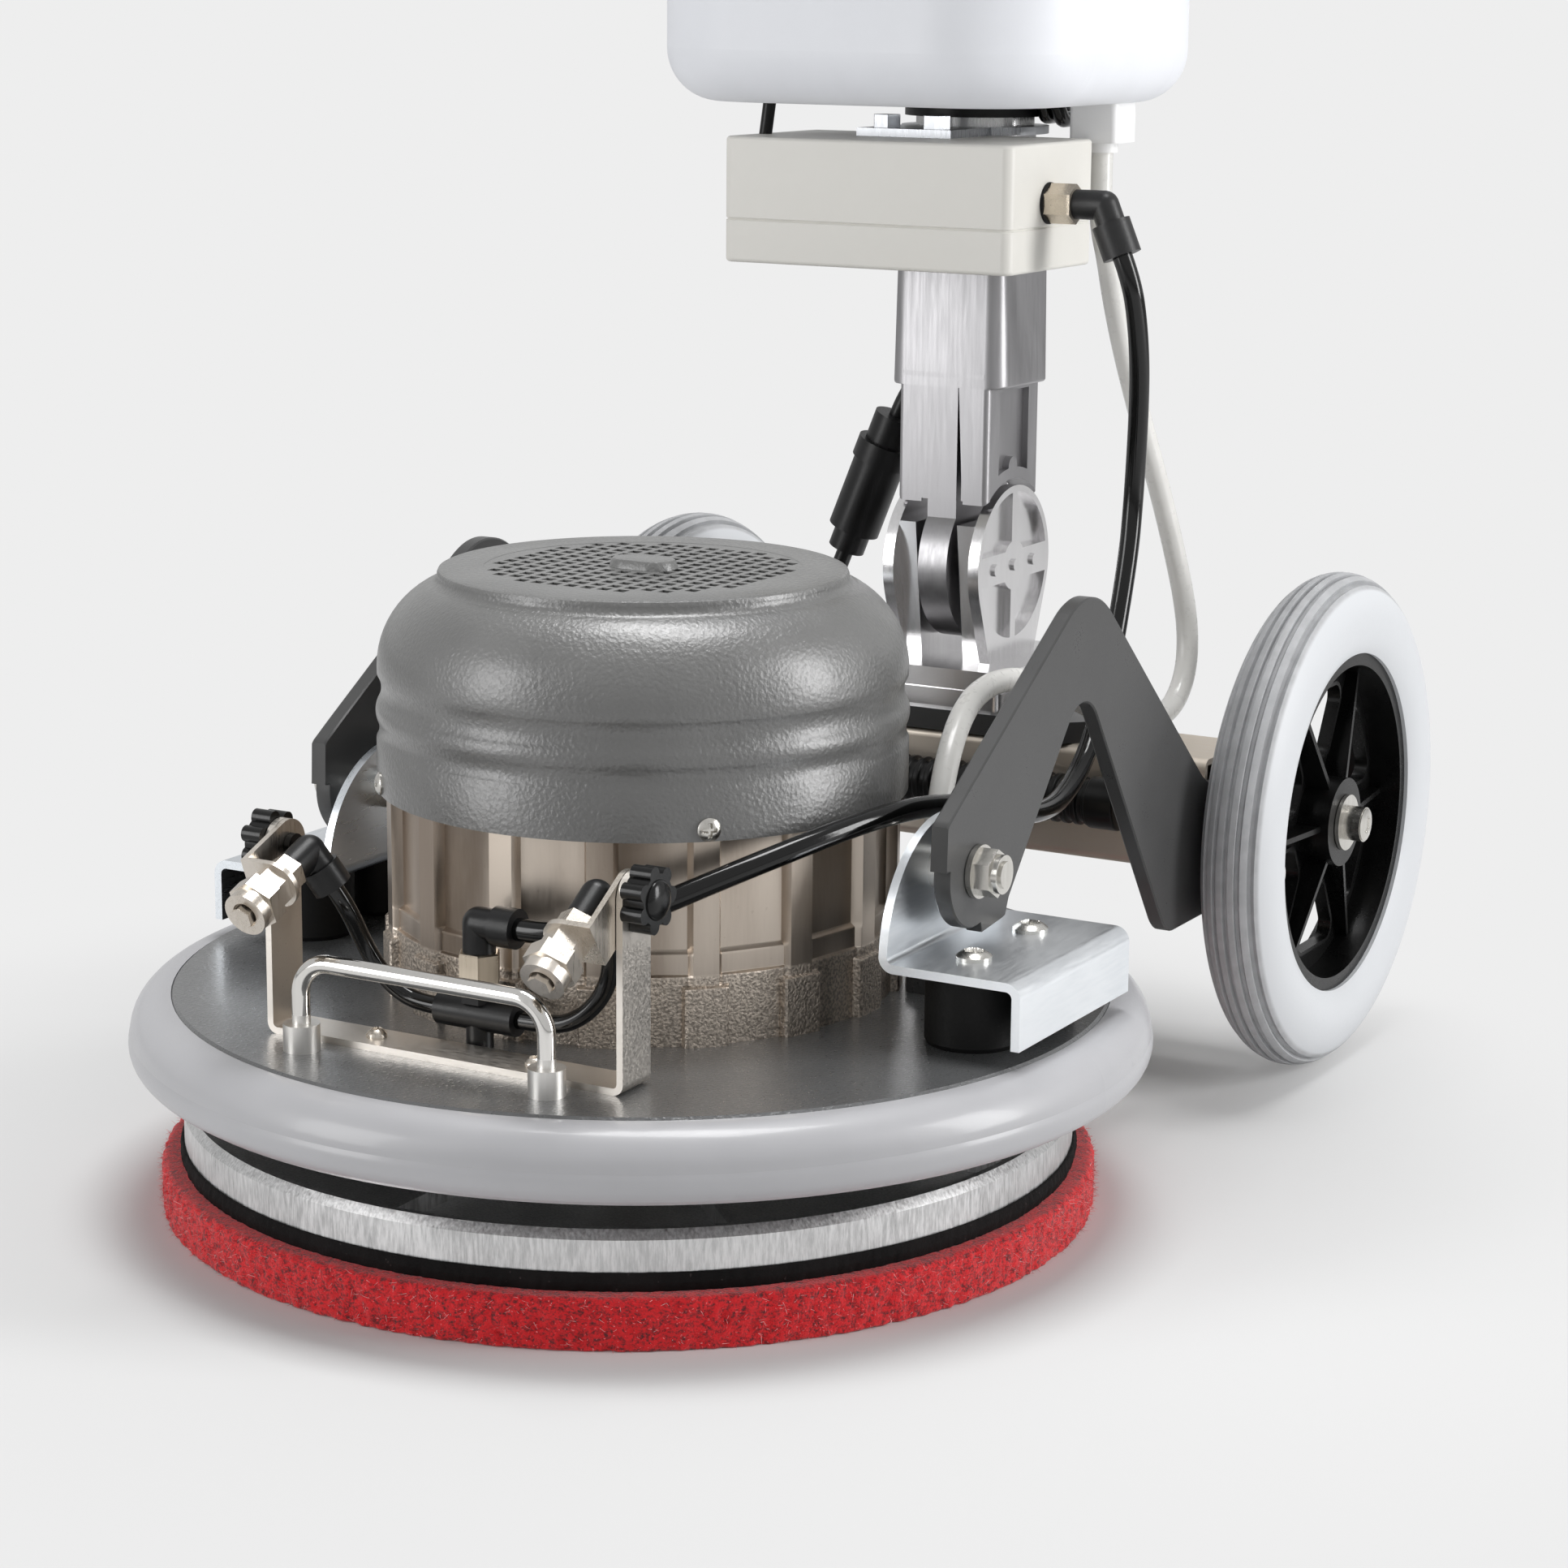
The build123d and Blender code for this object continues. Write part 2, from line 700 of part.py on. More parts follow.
def save(builder, name):
    """Label a finished piece and write its STEP file."""
    builder.part.label = name
    export_step(builder.part, f"parts/{name}.step")


# Floor pad, hook layer and drive plate, stacked on the eccentric axis
with BuildPart() as floor_pad:
    post(PAD_RADIUS, 0, PAD_THICKNESS, pad_x)
    fillet(floor_pad.edges().filter_by(GeomType.CIRCLE), PAD_EDGE)
save(floor_pad, "floor_pad")

with BuildPart() as hook_layer:
    post(HOOK_RADIUS, hook_bottom, plate_bottom, pad_x)
save(hook_layer, "hook_layer")

with BuildPart() as drive_plate:
    rim_inner = PLATE_RADIUS - PLATE_RIM_WALL
    web_top = plate_bottom + PLATE_WEB
    turned(
        [
            (0, plate_bottom),
            (PLATE_RADIUS, plate_bottom),
            (PLATE_RADIUS, plate_rim_top - PLATE_RIM_BEVEL[1]),
            (PLATE_RADIUS - PLATE_RIM_BEVEL[0], plate_rim_top),
            (rim_inner, plate_rim_top),
            (rim_inner, web_top),
            (PLATE_HUB_RADIUS, web_top),
            (PLATE_HUB_RADIUS, pad_bearing_top),
            (PAD_BEARING_OUTER, pad_bearing_top),
            (PAD_BEARING_OUTER, pad_bearing_bottom),
            (0, pad_bearing_bottom),
        ],
        pad_x,
    )
    with BuildSketch(Plane.XY.offset(web_top)):
        with Locations((pad_x, 0)):
            with PolarLocations((rim_inner + PLATE_HUB_RADIUS) / 2, PLATE_RIBS):
                Rectangle(rim_inner - PLATE_HUB_RADIUS + 2 * CUT_MARGIN, PLATE_RIB_WIDTH)
    extrude(amount=plate_rim_top - web_top - PLATE_RIB_DROP)
save(drive_plate, "drive_plate")

with BuildPart() as pad_bearing:
    turned(
        [
            (PAD_BEARING_INNER, pad_bearing_bottom),
            (PAD_BEARING_OUTER, pad_bearing_bottom),
            (PAD_BEARING_OUTER, pad_bearing_top),
            (PAD_BEARING_INNER, pad_bearing_top),
        ],
        pad_x,
    )
save(pad_bearing, "pad_bearing")

# Eccentric: an offset pin under the shaft, with a counterweight on the other side
with BuildPart() as eccentric_hub:
    socket_bottom = eccentric_bottom + ECCENTRIC_FLANGE
    post(ECCENTRIC_RADIUS, eccentric_bottom, eccentric_bottom + ECCENTRIC_HEIGHT)
    post(PAD_BEARING_INNER - SHAFT_GAP, pad_bearing_bottom + ECCENTRIC_PIN_GAP, eccentric_bottom, pad_x)
    with BuildSketch(Plane.XY.offset(socket_bottom)):
        Circle(COUNTERWEIGHT_RADIUS)
        with Locations((-COUNTERWEIGHT_RADIUS + SHAFT_RADIUS, 0)):
            Rectangle(2 * COUNTERWEIGHT_RADIUS, 2 * COUNTERWEIGHT_RADIUS, mode=Mode.SUBTRACT)
    extrude(amount=COUNTERWEIGHT_HEIGHT)
    post(SHAFT_RADIUS, socket_bottom, eccentric_bottom + ECCENTRIC_HEIGHT, mode=Mode.SUBTRACT)
save(eccentric_hub, "eccentric_hub")

# Deck: flat plate with a skirt, ribbed underneath, in a soft bumper
with BuildPart() as deck_housing:
    turned(
        [
            (SHAFT_HOLE_RADIUS, deck_bottom),
            (DECK_RADIUS - DECK_SKIRT_WALL, deck_bottom),
            (DECK_RADIUS - DECK_SKIRT_WALL, skirt_bottom),
            (DECK_RADIUS, skirt_bottom),
            (DECK_RADIUS, DECK_TOP - DECK_EDGE),
            (DECK_RADIUS - DECK_EDGE, DECK_TOP),
            (SHAFT_HOLE_RADIUS, DECK_TOP),
        ]
    )
    rib_end = DECK_RADIUS - DECK_SKIRT_WALL + CUT_MARGIN
    with BuildSketch(Plane.XY.offset(deck_bottom)):
        with PolarLocations((rib_end + DECK_RIB_START) / 2, DECK_RIBS):
            Rectangle(rib_end - DECK_RIB_START, DECK_RIB_WIDTH)
    extrude(amount=-DECK_RIB_DEPTH)
    inlet_root = (INLET_X, INLET_Y, DECK_TOP - CUT_MARGIN)
    hex_along(inlet_root, (0, 0, 1), INLET_FLATS, INLET_HEX + CUT_MARGIN)
    post(INLET_BARB_RADIUS, DECK_TOP, DECK_TOP + INLET_HEIGHT, INLET_X, INLET_Y)
save(deck_housing, "deck_housing")

with BuildPart() as bumper_ring:
    bumper_inner = DECK_RADIUS + SEAT_GAP
    bumper_outer = bumper_inner + BUMPER_DEPTH
    with BuildSketch(upright()):
        with BuildLine():
            top_point = (bumper_inner, DECK_TOP - BUMPER_TOP_DROP)
            shoulder_x = bumper_inner + BUMPER_SHOULDER_SHARE * BUMPER_DEPTH
            shoulder_point = (shoulder_x, DECK_TOP - BUMPER_SHOULDER_DROP)
            crown_point = (bumper_outer, BUMPER_CROWN)
            bulge_point = (bumper_outer + BUMPER_BULGE, (BUMPER_CROWN + BUMPER_BOTTOM) / 2)
            low_point = (bumper_outer - BUMPER_LIP[0], BUMPER_BOTTOM + BUMPER_LIP[1])
            ThreePointArc(top_point, shoulder_point, crown_point)
            ThreePointArc(crown_point, bulge_point, low_point)
            Polyline(
                low_point,
                (bumper_outer - BUMPER_UNDERCUT, BUMPER_BOTTOM),
                (bumper_inner, BUMPER_BOTTOM),
                top_point,
            )
        make_face()
    revolve(axis=Axis.Z)
save(bumper_ring, "bumper_ring")

# Motor: cast body with flat panels, ribs and a wider foot ring, bored for bearings and rotor
with BuildPart() as motor_body:
    with BuildSketch(Plane.XY.offset(DECK_TOP)):
        RegularPolygon(PANEL_RADIUS, PANEL_COUNT)
    extrude(amount=COVER_BOTTOM - DECK_TOP)
    with BuildSketch(Plane.XY.offset(DECK_TOP)):
        RegularPolygon(SHELF_RADIUS, PANEL_COUNT)
    extrude(amount=SHELF_HEIGHT)
    with BuildSketch(Plane.XY.offset(DECK_TOP)):
        with PolarLocations(RIB_RADIUS - RIB_ROOT / 2, PANEL_COUNT):
            Rectangle(RIB_ROOT, RIB_WIDTH)
    extrude(amount=COVER_BOTTOM - DECK_TOP)
    post(FOOT_RING_RADIUS, DECK_TOP, DECK_TOP + FOOT_RING_HEIGHT)
    with BuildSketch(Plane.XY.offset(DECK_TOP)):
        with PolarLocations(FOOT_LUG_RADIUS - RIB_ROOT / 2, PANEL_COUNT):
            Rectangle(RIB_ROOT, FOOT_LUG_WIDTH)
    extrude(amount=FOOT_RING_HEIGHT - FOOT_LUG_DROP)
    post(spigot_radius, COVER_BOTTOM, COVER_BOTTOM + COVER_SPIGOT)
    post(END_BELL_RADIUS, COVER_BOTTOM + COVER_SPIGOT, MOTOR_TOP)
    post(SHAFT_RADIUS + SHAFT_CLEARANCE, DECK_TOP, MOTOR_TOP, mode=Mode.SUBTRACT)
    post(MOTOR_BEARING_OUTER, lower_bearing_bottom, lower_bearing_top, mode=Mode.SUBTRACT)
    post(MOTOR_BEARING_OUTER, upper_bearing_bottom, upper_bearing_top, mode=Mode.SUBTRACT)
    cavity = (rotor_bottom - ROTOR_CAVITY_GAP, rotor_top + ROTOR_CAVITY_GAP)
    post(ROTOR_RADIUS + AIR_GAP, *cavity, mode=Mode.SUBTRACT)
save(motor_body, "motor_body")

with BuildPart() as motor_bearings:
    for bottom in (lower_bearing_bottom, upper_bearing_bottom):
        turned(
            [
                (SHAFT_RADIUS + SHAFT_GAP, bottom),
                (MOTOR_BEARING_OUTER, bottom),
                (MOTOR_BEARING_OUTER, bottom + MOTOR_BEARING_WIDTH),
                (SHAFT_RADIUS + SHAFT_GAP, bottom + MOTOR_BEARING_WIDTH),
            ]
        )
save(motor_bearings, "motor_bearings")

with BuildPart() as rotor:
    post(SHAFT_RADIUS, eccentric_bottom + ECCENTRIC_FLANGE, SHAFT_TOP)
    post(ROTOR_RADIUS, rotor_bottom, rotor_top)
save(rotor, "rotor")

with BuildPart() as cooling_fan:
    post(FAN_HUB_RADIUS, FAN_BOTTOM, FAN_BOTTOM + FAN_HEIGHT)
    post(FAN_RADIUS, FAN_BOTTOM, FAN_BOTTOM + FAN_BLADE_WALL)
    with BuildSketch(Plane.XY.offset(FAN_BOTTOM)):
        with PolarLocations((FAN_RADIUS + FAN_HUB_RADIUS) / 2, FAN_BLADES):
            Rectangle(FAN_RADIUS - FAN_HUB_RADIUS + CUT_MARGIN, FAN_BLADE_WALL, rotation=FAN_TWIST)
    extrude(amount=FAN_HEIGHT)
    post(SHAFT_RADIUS, FAN_BOTTOM, FAN_BOTTOM + FAN_HEIGHT, mode=Mode.SUBTRACT)
save(cooling_fan, "cooling_fan")

# Fan cover: a spun shell with two soft beads and a raised top disc, pierced by square holes
with BuildPart() as fan_cover:
    with BuildSketch(upright()):
        with BuildLine():
            curve = [(COVER_RADIUS - inset, COVER_TOP - drop) for inset, drop in COVER_CURVE]
            Polyline((0, COVER_TOP), (curve[0][0] - COVER_LIP_BEVEL, COVER_TOP), curve[0])
            for arc_start, arc_middle, arc_end in zip(curve[0::2], curve[1::2], curve[2::2]):
                ThreePointArc(arc_start, arc_middle, arc_end)
            Line(curve[-1], (COVER_RADIUS, COVER_BOTTOM))
            offset(amount=-COVER_WALL, side=Side.RIGHT)
        make_face()
    revolve(axis=Axis.Z)
    grille_count = int(GRILLE_RADIUS // GRILLE_PITCH)
    grille_steps = [GRILLE_PITCH * step for step in range(-grille_count, grille_count + 1)]
    grille_points = [
        (x, y)
        for x in grille_steps
        for y in grille_steps
        if math.hypot(x, y) < GRILLE_RADIUS - GRILLE_HOLE / 2
        and (abs(x) > GRILLE_BOSS_LENGTH / 2 or abs(y) > GRILLE_BOSS_WIDTH / 2)
    ]
    with BuildSketch(Plane.XY.offset(COVER_TOP)):
        with Locations(*grille_points):
            Rectangle(GRILLE_HOLE, GRILLE_HOLE)
    extrude(amount=-2 * COVER_WALL, mode=Mode.SUBTRACT)
    with BuildSketch(Plane.XY.offset(COVER_TOP)):
        SlotOverall(GRILLE_BOSS_LENGTH, GRILLE_BOSS_WIDTH)
    extrude(amount=GRILLE_BOSS_HEIGHT, taper=GRILLE_BOSS_TAPER)
save(fan_cover, "fan_cover")
print("grille holes", len(grille_points))

with BuildPart() as terminal_box:
    terminal_x = (-TERMINAL_WIDTH / 2, TERMINAL_WIDTH / 2)
    terminal_z = (TERMINAL_BOTTOM, TERMINAL_BOTTOM + TERMINAL_HEIGHT)
    block(terminal_x, (RIB_RADIUS - TERMINAL_SINK, TERMINAL_BACK), terminal_z)
    fillet(terminal_box.edges().filter_by(Axis.Z).group_by(Axis.Y)[-1], TERMINAL_CORNER)
    post(RIB_RADIUS + 2 * SEAT_GAP, TERMINAL_BOTTOM, terminal_z[1], mode=Mode.SUBTRACT)
    with BuildSketch(Plane.XZ.offset(-TERMINAL_BACK)):
        with Locations((0, gland_z)):
            RectangleRounded(
                TERMINAL_WIDTH - 2 * TERMINAL_LID_INSET,
                TERMINAL_HEIGHT - 2 * TERMINAL_LID_INSET,
                TERMINAL_CORNER,
            )
    extrude(amount=-TERMINAL_LID)
    gland_root = (TERMINAL_GLAND_X, terminal_face, gland_z)
    bar_along(gland_root, (0, 1, 0), TERMINAL_GLAND_RADIUS, TERMINAL_GLAND_LENGTH)
save(terminal_box, "terminal_box")

# Carry handle: a bent rod on two round bosses
with BuildPart() as carry_handle:
    handle_x = HANDLE_SPAN / 2
    rod_top = DECK_TOP + HANDLE_HEIGHT
    rod_root = DECK_TOP + BOSS_HEIGHT - ROD_SINK
    with BuildLine() as handle_line:
        FilletPolyline(
            (-handle_x, HANDLE_Y, rod_root),
            (-handle_x, HANDLE_Y, rod_top),
            (handle_x, HANDLE_Y, rod_top),
            (handle_x, HANDLE_Y, rod_root),
            radius=HANDLE_BEND,
        )
    with BuildSketch(Plane.XY.offset(rod_root)):
        with Locations((-handle_x, HANDLE_Y)):
            Circle(HANDLE_ROD / 2)
    sweep(path=handle_line.line)
    for sign in (-1, 1):
        post(BOSS_RADIUS, DECK_TOP, DECK_TOP + BOSS_HEIGHT, sign * handle_x, HANDLE_Y)
save(carry_handle, "carry_handle")

# Nozzle bracket: a strip bent into a U, with round tops bored for the knob bolts
with BuildPart() as nozzle_bracket:
    strip_top = nozzle_pivot_z
    with BuildSketch(Plane.XZ.offset(-BRACKET_FRONT)):
        with BuildLine():
            FilletPolyline(
                (-bracket_x, strip_top),
                (-bracket_x, DECK_TOP),
                (bracket_x, DECK_TOP),
                (bracket_x, strip_top),
                radius=BRACKET_BEND,
            )
            offset(amount=BRACKET_THICKNESS, side=Side.LEFT)
        make_face()
    extrude(amount=-BRACKET_STRIP)
    for sign in (-1, 1):
        inner = sign * bracket_x if sign < 0 else bracket_x - BRACKET_THICKNESS
        crosswise(BRACKET_STRIP / 2, inner, inner + BRACKET_THICKNESS, bracket_y, nozzle_pivot_z)
    bore_x = bracket_x + CUT_MARGIN
    crosswise(KNOB_BOLT_RADIUS + SHAFT_GAP, -bore_x, bore_x, bracket_y, nozzle_pivot_z, Mode.SUBTRACT)
save(nozzle_bracket, "nozzle_bracket")

# Spray tee: cross barrel on a foot, hexagon adapter and feed elbow
with BuildPart() as spray_tee:
    crosswise(TEE_RADIUS, -TEE_SPAN / 2, TEE_SPAN / 2, TEE_Y, tee_z)
    post(TEE_FOOT_RADIUS, DECK_TOP, tee_z, 0, TEE_Y)
    hex_along((0, TEE_Y, hex_bottom), (0, 0, 1), TEE_HEX_FLATS, TEE_HEX_LENGTH)
    post(ELBOW_RADIUS, hex_bottom + TEE_HEX_LENGTH - CUT_MARGIN, feed_elbow_z, 0, TEE_Y)
    with Locations((0, TEE_Y, feed_elbow_z)):
        Sphere(ELBOW_RADIUS)
    crosswise(ELBOW_RADIUS, 0, FEED_ELBOW_REACH, TEE_Y, feed_elbow_z)
    collar_x = FEED_ELBOW_REACH - ELBOW_COLLAR_LENGTH
    crosswise(ELBOW_COLLAR_RADIUS, collar_x, FEED_ELBOW_REACH, TEE_Y, feed_elbow_z)
save(spray_tee, "spray_tee")

# Spray nozzles in bent holders, their elbows and the clamping knobs, one set on each side
holder_outer = bracket_x - BRACKET_THICKNESS - RUNNING_GAP
holder_inner = holder_outer - HOLDER_THICKNESS
nut_start = HOLDER_REACH - NUT_LENGTH
body_start = HOLDER_REACH + HOLDER_THICKNESS
hose_ports = {}
for side, sign in SIDES:
    pitch = math.radians(NOZZLE_PITCH[side])
    swing = math.radians(NOZZLE_PORT_SWING[side])
    spray = Vector(0, -math.cos(pitch), -math.sin(pitch))
    across = Vector(0, math.sin(pitch), -math.cos(pitch))
    pivot = Vector(sign * nozzle_x, bracket_y, nozzle_pivot_z)
    flange_plane = Plane(origin=pivot + spray * HOLDER_REACH, x_dir=(1, 0, 0), z_dir=spray)
    ear_corners = [
        pivot + across * (HOLDER_WIDTH / 2),
        pivot + across * (HOLDER_WIDTH / 2) + spray * body_start,
        pivot - across * (HOLDER_WIDTH / 2) + spray * body_start,
        pivot - across * (HOLDER_WIDTH / 2),
    ]

    with BuildPart() as spray_nozzle:
        with BuildSketch(side_plane(sign * holder_inner)) as ear:
            with BuildLine():
                Polyline(*[(corner.Y, corner.Z) for corner in ear_corners], close=True)
            make_face()
            with Locations((pivot.Y, pivot.Z)):
                Circle(HOLDER_WIDTH / 2)
                Circle(KNOB_BOLT_RADIUS + SHAFT_GAP, mode=Mode.SUBTRACT)
        extrude(ear.sketch, amount=sign * HOLDER_THICKNESS)
        with BuildSketch(flange_plane) as flange:
            with Locations((sign * (holder_outer - nozzle_x) / 2, 0)):
                Rectangle(holder_outer - nozzle_x, HOLDER_WIDTH)
            Circle(HOLDER_WIDTH / 2)
        extrude(flange.sketch, amount=HOLDER_THICKNESS)
        hex_along(pivot + spray * nut_start, spray, NUT_FLATS, NUT_LENGTH)
        hex_along(pivot + spray * body_start, spray, BODY_FLATS, BODY_LENGTH)
        cap_start = body_start + BODY_LENGTH
        hex_along(pivot + spray * cap_start, spray, CAP_FLATS, CAP_LENGTH)
        collar_end = cap_start + CAP_LENGTH + COLLAR_LENGTH
        bar_along(pivot + spray * (cap_start + CAP_LENGTH), spray, COLLAR_RADIUS, COLLAR_LENGTH)
        tip_root = pivot + spray * (collar_end - TIP_SINK)
        bar_along(tip_root, spray, TIP_FLATS / math.sqrt(3) + TIP_GAP, TIP_SINK, Mode.SUBTRACT)
        hex_along(tip_root, spray, TIP_FLATS, TIP_LENGTH)
    save(spray_nozzle, f"spray_nozzle_{side}")

    knee = pivot + spray * (nut_start - ELBOW_ARM)
    port = across * math.cos(swing) + Vector(-sign * math.sin(swing), 0, 0)
    with BuildPart() as nozzle_elbow:
        bar_along(pivot + spray * nut_start, -spray, ELBOW_RADIUS, ELBOW_ARM)
        with Locations(tuple(knee)):
            Sphere(ELBOW_RADIUS)
        bar_along(knee, port, ELBOW_RADIUS, ELBOW_PORT)
        collar_root = knee + port * (ELBOW_PORT - ELBOW_COLLAR_LENGTH)
        bar_along(collar_root, port, ELBOW_COLLAR_RADIUS, ELBOW_COLLAR_LENGTH)
    save(nozzle_elbow, f"nozzle_elbow_{side}")
    hose_ports[side] = (knee + port * ELBOW_PORT, port)

    with BuildPart() as knob:
        knob_face = sign * (bracket_x + RUNNING_GAP)
        with BuildSketch(side_plane(knob_face)) as star:
            with Locations((bracket_y, nozzle_pivot_z)):
                Circle(KNOB_RADIUS)
                with PolarLocations(KNOB_RADIUS, KNOB_LOBES):
                    Circle(KNOB_LOBE_RADIUS)
        extrude(star.sketch, amount=sign * KNOB_THICKNESS)
        crosswise(KNOB_BOLT_RADIUS, knob_face, sign * (holder_inner - RUNNING_GAP), bracket_y, nozzle_pivot_z)
        crosswise(
            KNOB_NUT_RADIUS,
            sign * (holder_inner - RUNNING_GAP),
            sign * (holder_inner - RUNNING_GAP - KNOB_NUT_THICKNESS),
            bracket_y,
            nozzle_pivot_z,
        )
    save(knob, f"knob_{side}")

# Pivot brackets: folded sheet with a round ear inside and a flange outside
with BuildPart() as pivot_brackets:
    ear_face = EAR_X + SHEET
    ear_radius = SADDLE_LENGTH / 2
    with BuildSketch(Plane.XZ.offset(-(SADDLE_Y - ear_radius))):
        with BuildLine():
            FilletPolyline(
                (ear_face, SADDLE_TOP + ear_radius),
                (ear_face, SADDLE_TOP),
                (FLANGE_X, SADDLE_TOP),
                (FLANGE_X, FLANGE_BOTTOM),
                radius=[SHEET_BEND - SHEET, SHEET_BEND],
            )
            offset(amount=SHEET, side=Side.RIGHT)
        make_face()
    extrude(amount=-SADDLE_LENGTH)
    with BuildSketch(side_plane(EAR_X - CUT_MARGIN)) as ear_corner:
        with Locations((SADDLE_Y, SADDLE_TOP + ear_radius / 2 + CUT_MARGIN)):
            Rectangle(SADDLE_LENGTH + 2 * CUT_MARGIN, ear_radius + 2 * CUT_MARGIN)
        with Locations((SADDLE_Y, SADDLE_TOP)):
            Circle(ear_radius, mode=Mode.SUBTRACT)
    extrude(ear_corner.sketch, amount=SHEET + 2 * CUT_MARGIN, mode=Mode.SUBTRACT)
    bolt_hole = (EAR_X - CUT_MARGIN, ear_face + CUT_MARGIN)
    crosswise(PIVOT_BOLT_RADIUS + SHAFT_GAP, *bolt_hole, PIVOT_Y, PIVOT_Z, Mode.SUBTRACT)
    screw_hole = (SADDLE_TOP - SHEET - CUT_MARGIN, SADDLE_TOP + CUT_MARGIN)
    for x, y in buffer_points:
        post(SCREW_RADIUS + SHAFT_GAP, *screw_hole, x, y, Mode.SUBTRACT)
    mirror(about=Plane.YZ)
save(pivot_brackets, "pivot_brackets")

with BuildPart() as rubber_buffers:
    for x, y in buffer_points:
        turned(
            [
                (SCREW_RADIUS + SHAFT_GAP, DECK_TOP),
                (BUFFER_RADIUS - BUFFER_EDGE[0], DECK_TOP),
                (BUFFER_RADIUS, DECK_TOP + BUFFER_EDGE[1]),
                (BUFFER_RADIUS, SADDLE_TOP - SHEET - BUFFER_EDGE[1]),
                (BUFFER_RADIUS - BUFFER_EDGE[0], SADDLE_TOP - SHEET),
                (SCREW_RADIUS + SHAFT_GAP, SADDLE_TOP - SHEET),
            ],
            x,
            y,
        )
    mirror(about=Plane.YZ)
save(rubber_buffers, "rubber_buffers")

with BuildPart() as buffer_screws:
    for x, y in buffer_points:
        turned(
            [
                (0, DECK_TOP),
                (SCREW_RADIUS, DECK_TOP),
                (SCREW_RADIUS, SADDLE_TOP),
                (BUTTON_RADIUS, SADDLE_TOP),
                (BUTTON_RADIUS - BUTTON_SHOULDER_INSET, SADDLE_TOP + BUTTON_HEIGHT * BUTTON_SHOULDER_SHARE),
                (BUTTON_RADIUS * BUTTON_FLAT_SHARE, SADDLE_TOP + BUTTON_HEIGHT),
                (0, SADDLE_TOP + BUTTON_HEIGHT),
            ],
            x,
            y,
        )
    mirror(about=Plane.YZ)
save(buffer_screws, "buffer_screws")

with BuildPart() as pivot_bolts:
    nut_face = ARM_OUTER_X + RUNNING_GAP
    crosswise(BOLT_HEAD_RADIUS, EAR_X - BOLT_HEAD_LENGTH, EAR_X, PIVOT_Y, PIVOT_Z)
    nut_root = nut_face + WASHER_THICKNESS
    collar_root = nut_root + NYLOC_LENGTH * NYLOC_HEX_SHARE
    collar_end = nut_root + NYLOC_LENGTH * NYLOC_COLLAR_SHARE
    crosswise(PIVOT_BOLT_RADIUS, EAR_X, nut_root + NYLOC_LENGTH, PIVOT_Y, PIVOT_Z)
    crosswise(SPACER_RADIUS, EAR_X + SHEET, arm_inner_x - RUNNING_GAP, PIVOT_Y, PIVOT_Z)
    crosswise(WASHER_RADIUS, nut_face, nut_root, PIVOT_Y, PIVOT_Z)
    hex_along((nut_root, PIVOT_Y, PIVOT_Z), (1, 0, 0), NYLOC_FLATS, collar_root - nut_root)
    crosswise(NYLOC_FLATS / 2 - NYLOC_COLLAR_INSET, collar_root, collar_end, PIVOT_Y, PIVOT_Z)
    mirror(about=Plane.YZ)
save(pivot_bolts, "pivot_bolts")

# Frame arms: flat plates from the pivot up and over to the axle
shoulder_z = axle_z + ARM_TAIL_RADIUS
shoulder_y = ARM_PEAK_Y + (ARM_PEAK_Z - shoulder_z) / ARM_REAR_SLOPE
arm_corners = [
    ((ARM_NOSE_Y, ARM_NOSE_TOP), ARM_CORNER),
    ((ARM_PEAK_Y, ARM_PEAK_Z), ARM_PEAK_FILLET),
    ((shoulder_y, shoulder_z), ARM_SHOULDER_FILLET),
    ((AXLE_Y, shoulder_z), ARM_CORNER),
    ((AXLE_Y, ARM_FOOT_Z), ARM_CORNER),
    ((ARM_HEEL_Y, ARM_FOOT_Z), ARM_HEEL_FILLET),
    ((ARM_CROTCH_Y, ARM_CROTCH_Z), ARM_CROTCH_FILLET),
    (ARM_TOOTH[0], ARM_CORNER),
    (ARM_TOOTH[1], ARM_CORNER),
    (ARM_TOOTH[2], ARM_CORNER),
    ((PIVOT_Y, PIVOT_Z), ARM_CORNER),
    ((ARM_NOSE_Y - ARM_NOSE_LEAN, ARM_NOTCH_Z), ARM_CORNER),
]
for side, sign in SIDES:
    with BuildPart() as arm:
        with BuildSketch(side_plane(sign * arm_inner_x)) as arm_face:
            with BuildLine():
                FilletPolyline(
                    *[corner for corner, radius in arm_corners],
                    radius=[radius for corner, radius in arm_corners],
                    close=True,
                )
            make_face()
            with Locations((PIVOT_Y, PIVOT_Z)):
                Circle(ARM_END_RADIUS)
                Circle(PIVOT_BOLT_RADIUS + SHAFT_GAP, mode=Mode.SUBTRACT)
            with Locations((AXLE_Y, axle_z)):
                Circle(ARM_TAIL_RADIUS)
                Circle(AXLE_RADIUS, mode=Mode.SUBTRACT)
        extrude(arm_face.sketch, amount=sign * ARM_THICKNESS)
    save(arm, f"arm_{side}")

# Crossbeam, its top plate, the axle and the conduit
with BuildPart() as crossbeam:
    block((-arm_inner_x, arm_inner_x), (BEAM_FRONT, beam_back), (BEAM_BOTTOM, beam_top))
    fillet(crossbeam.edges().filter_by(Axis.X), BEAM_CORNER)
    block(
        (-arm_inner_x, arm_inner_x),
        (BEAM_FRONT + BEAM_WALL, beam_back - BEAM_WALL),
        (BEAM_BOTTOM + BEAM_WALL, beam_top - BEAM_WALL),
        Mode.SUBTRACT,
    )
save(crossbeam, "crossbeam")

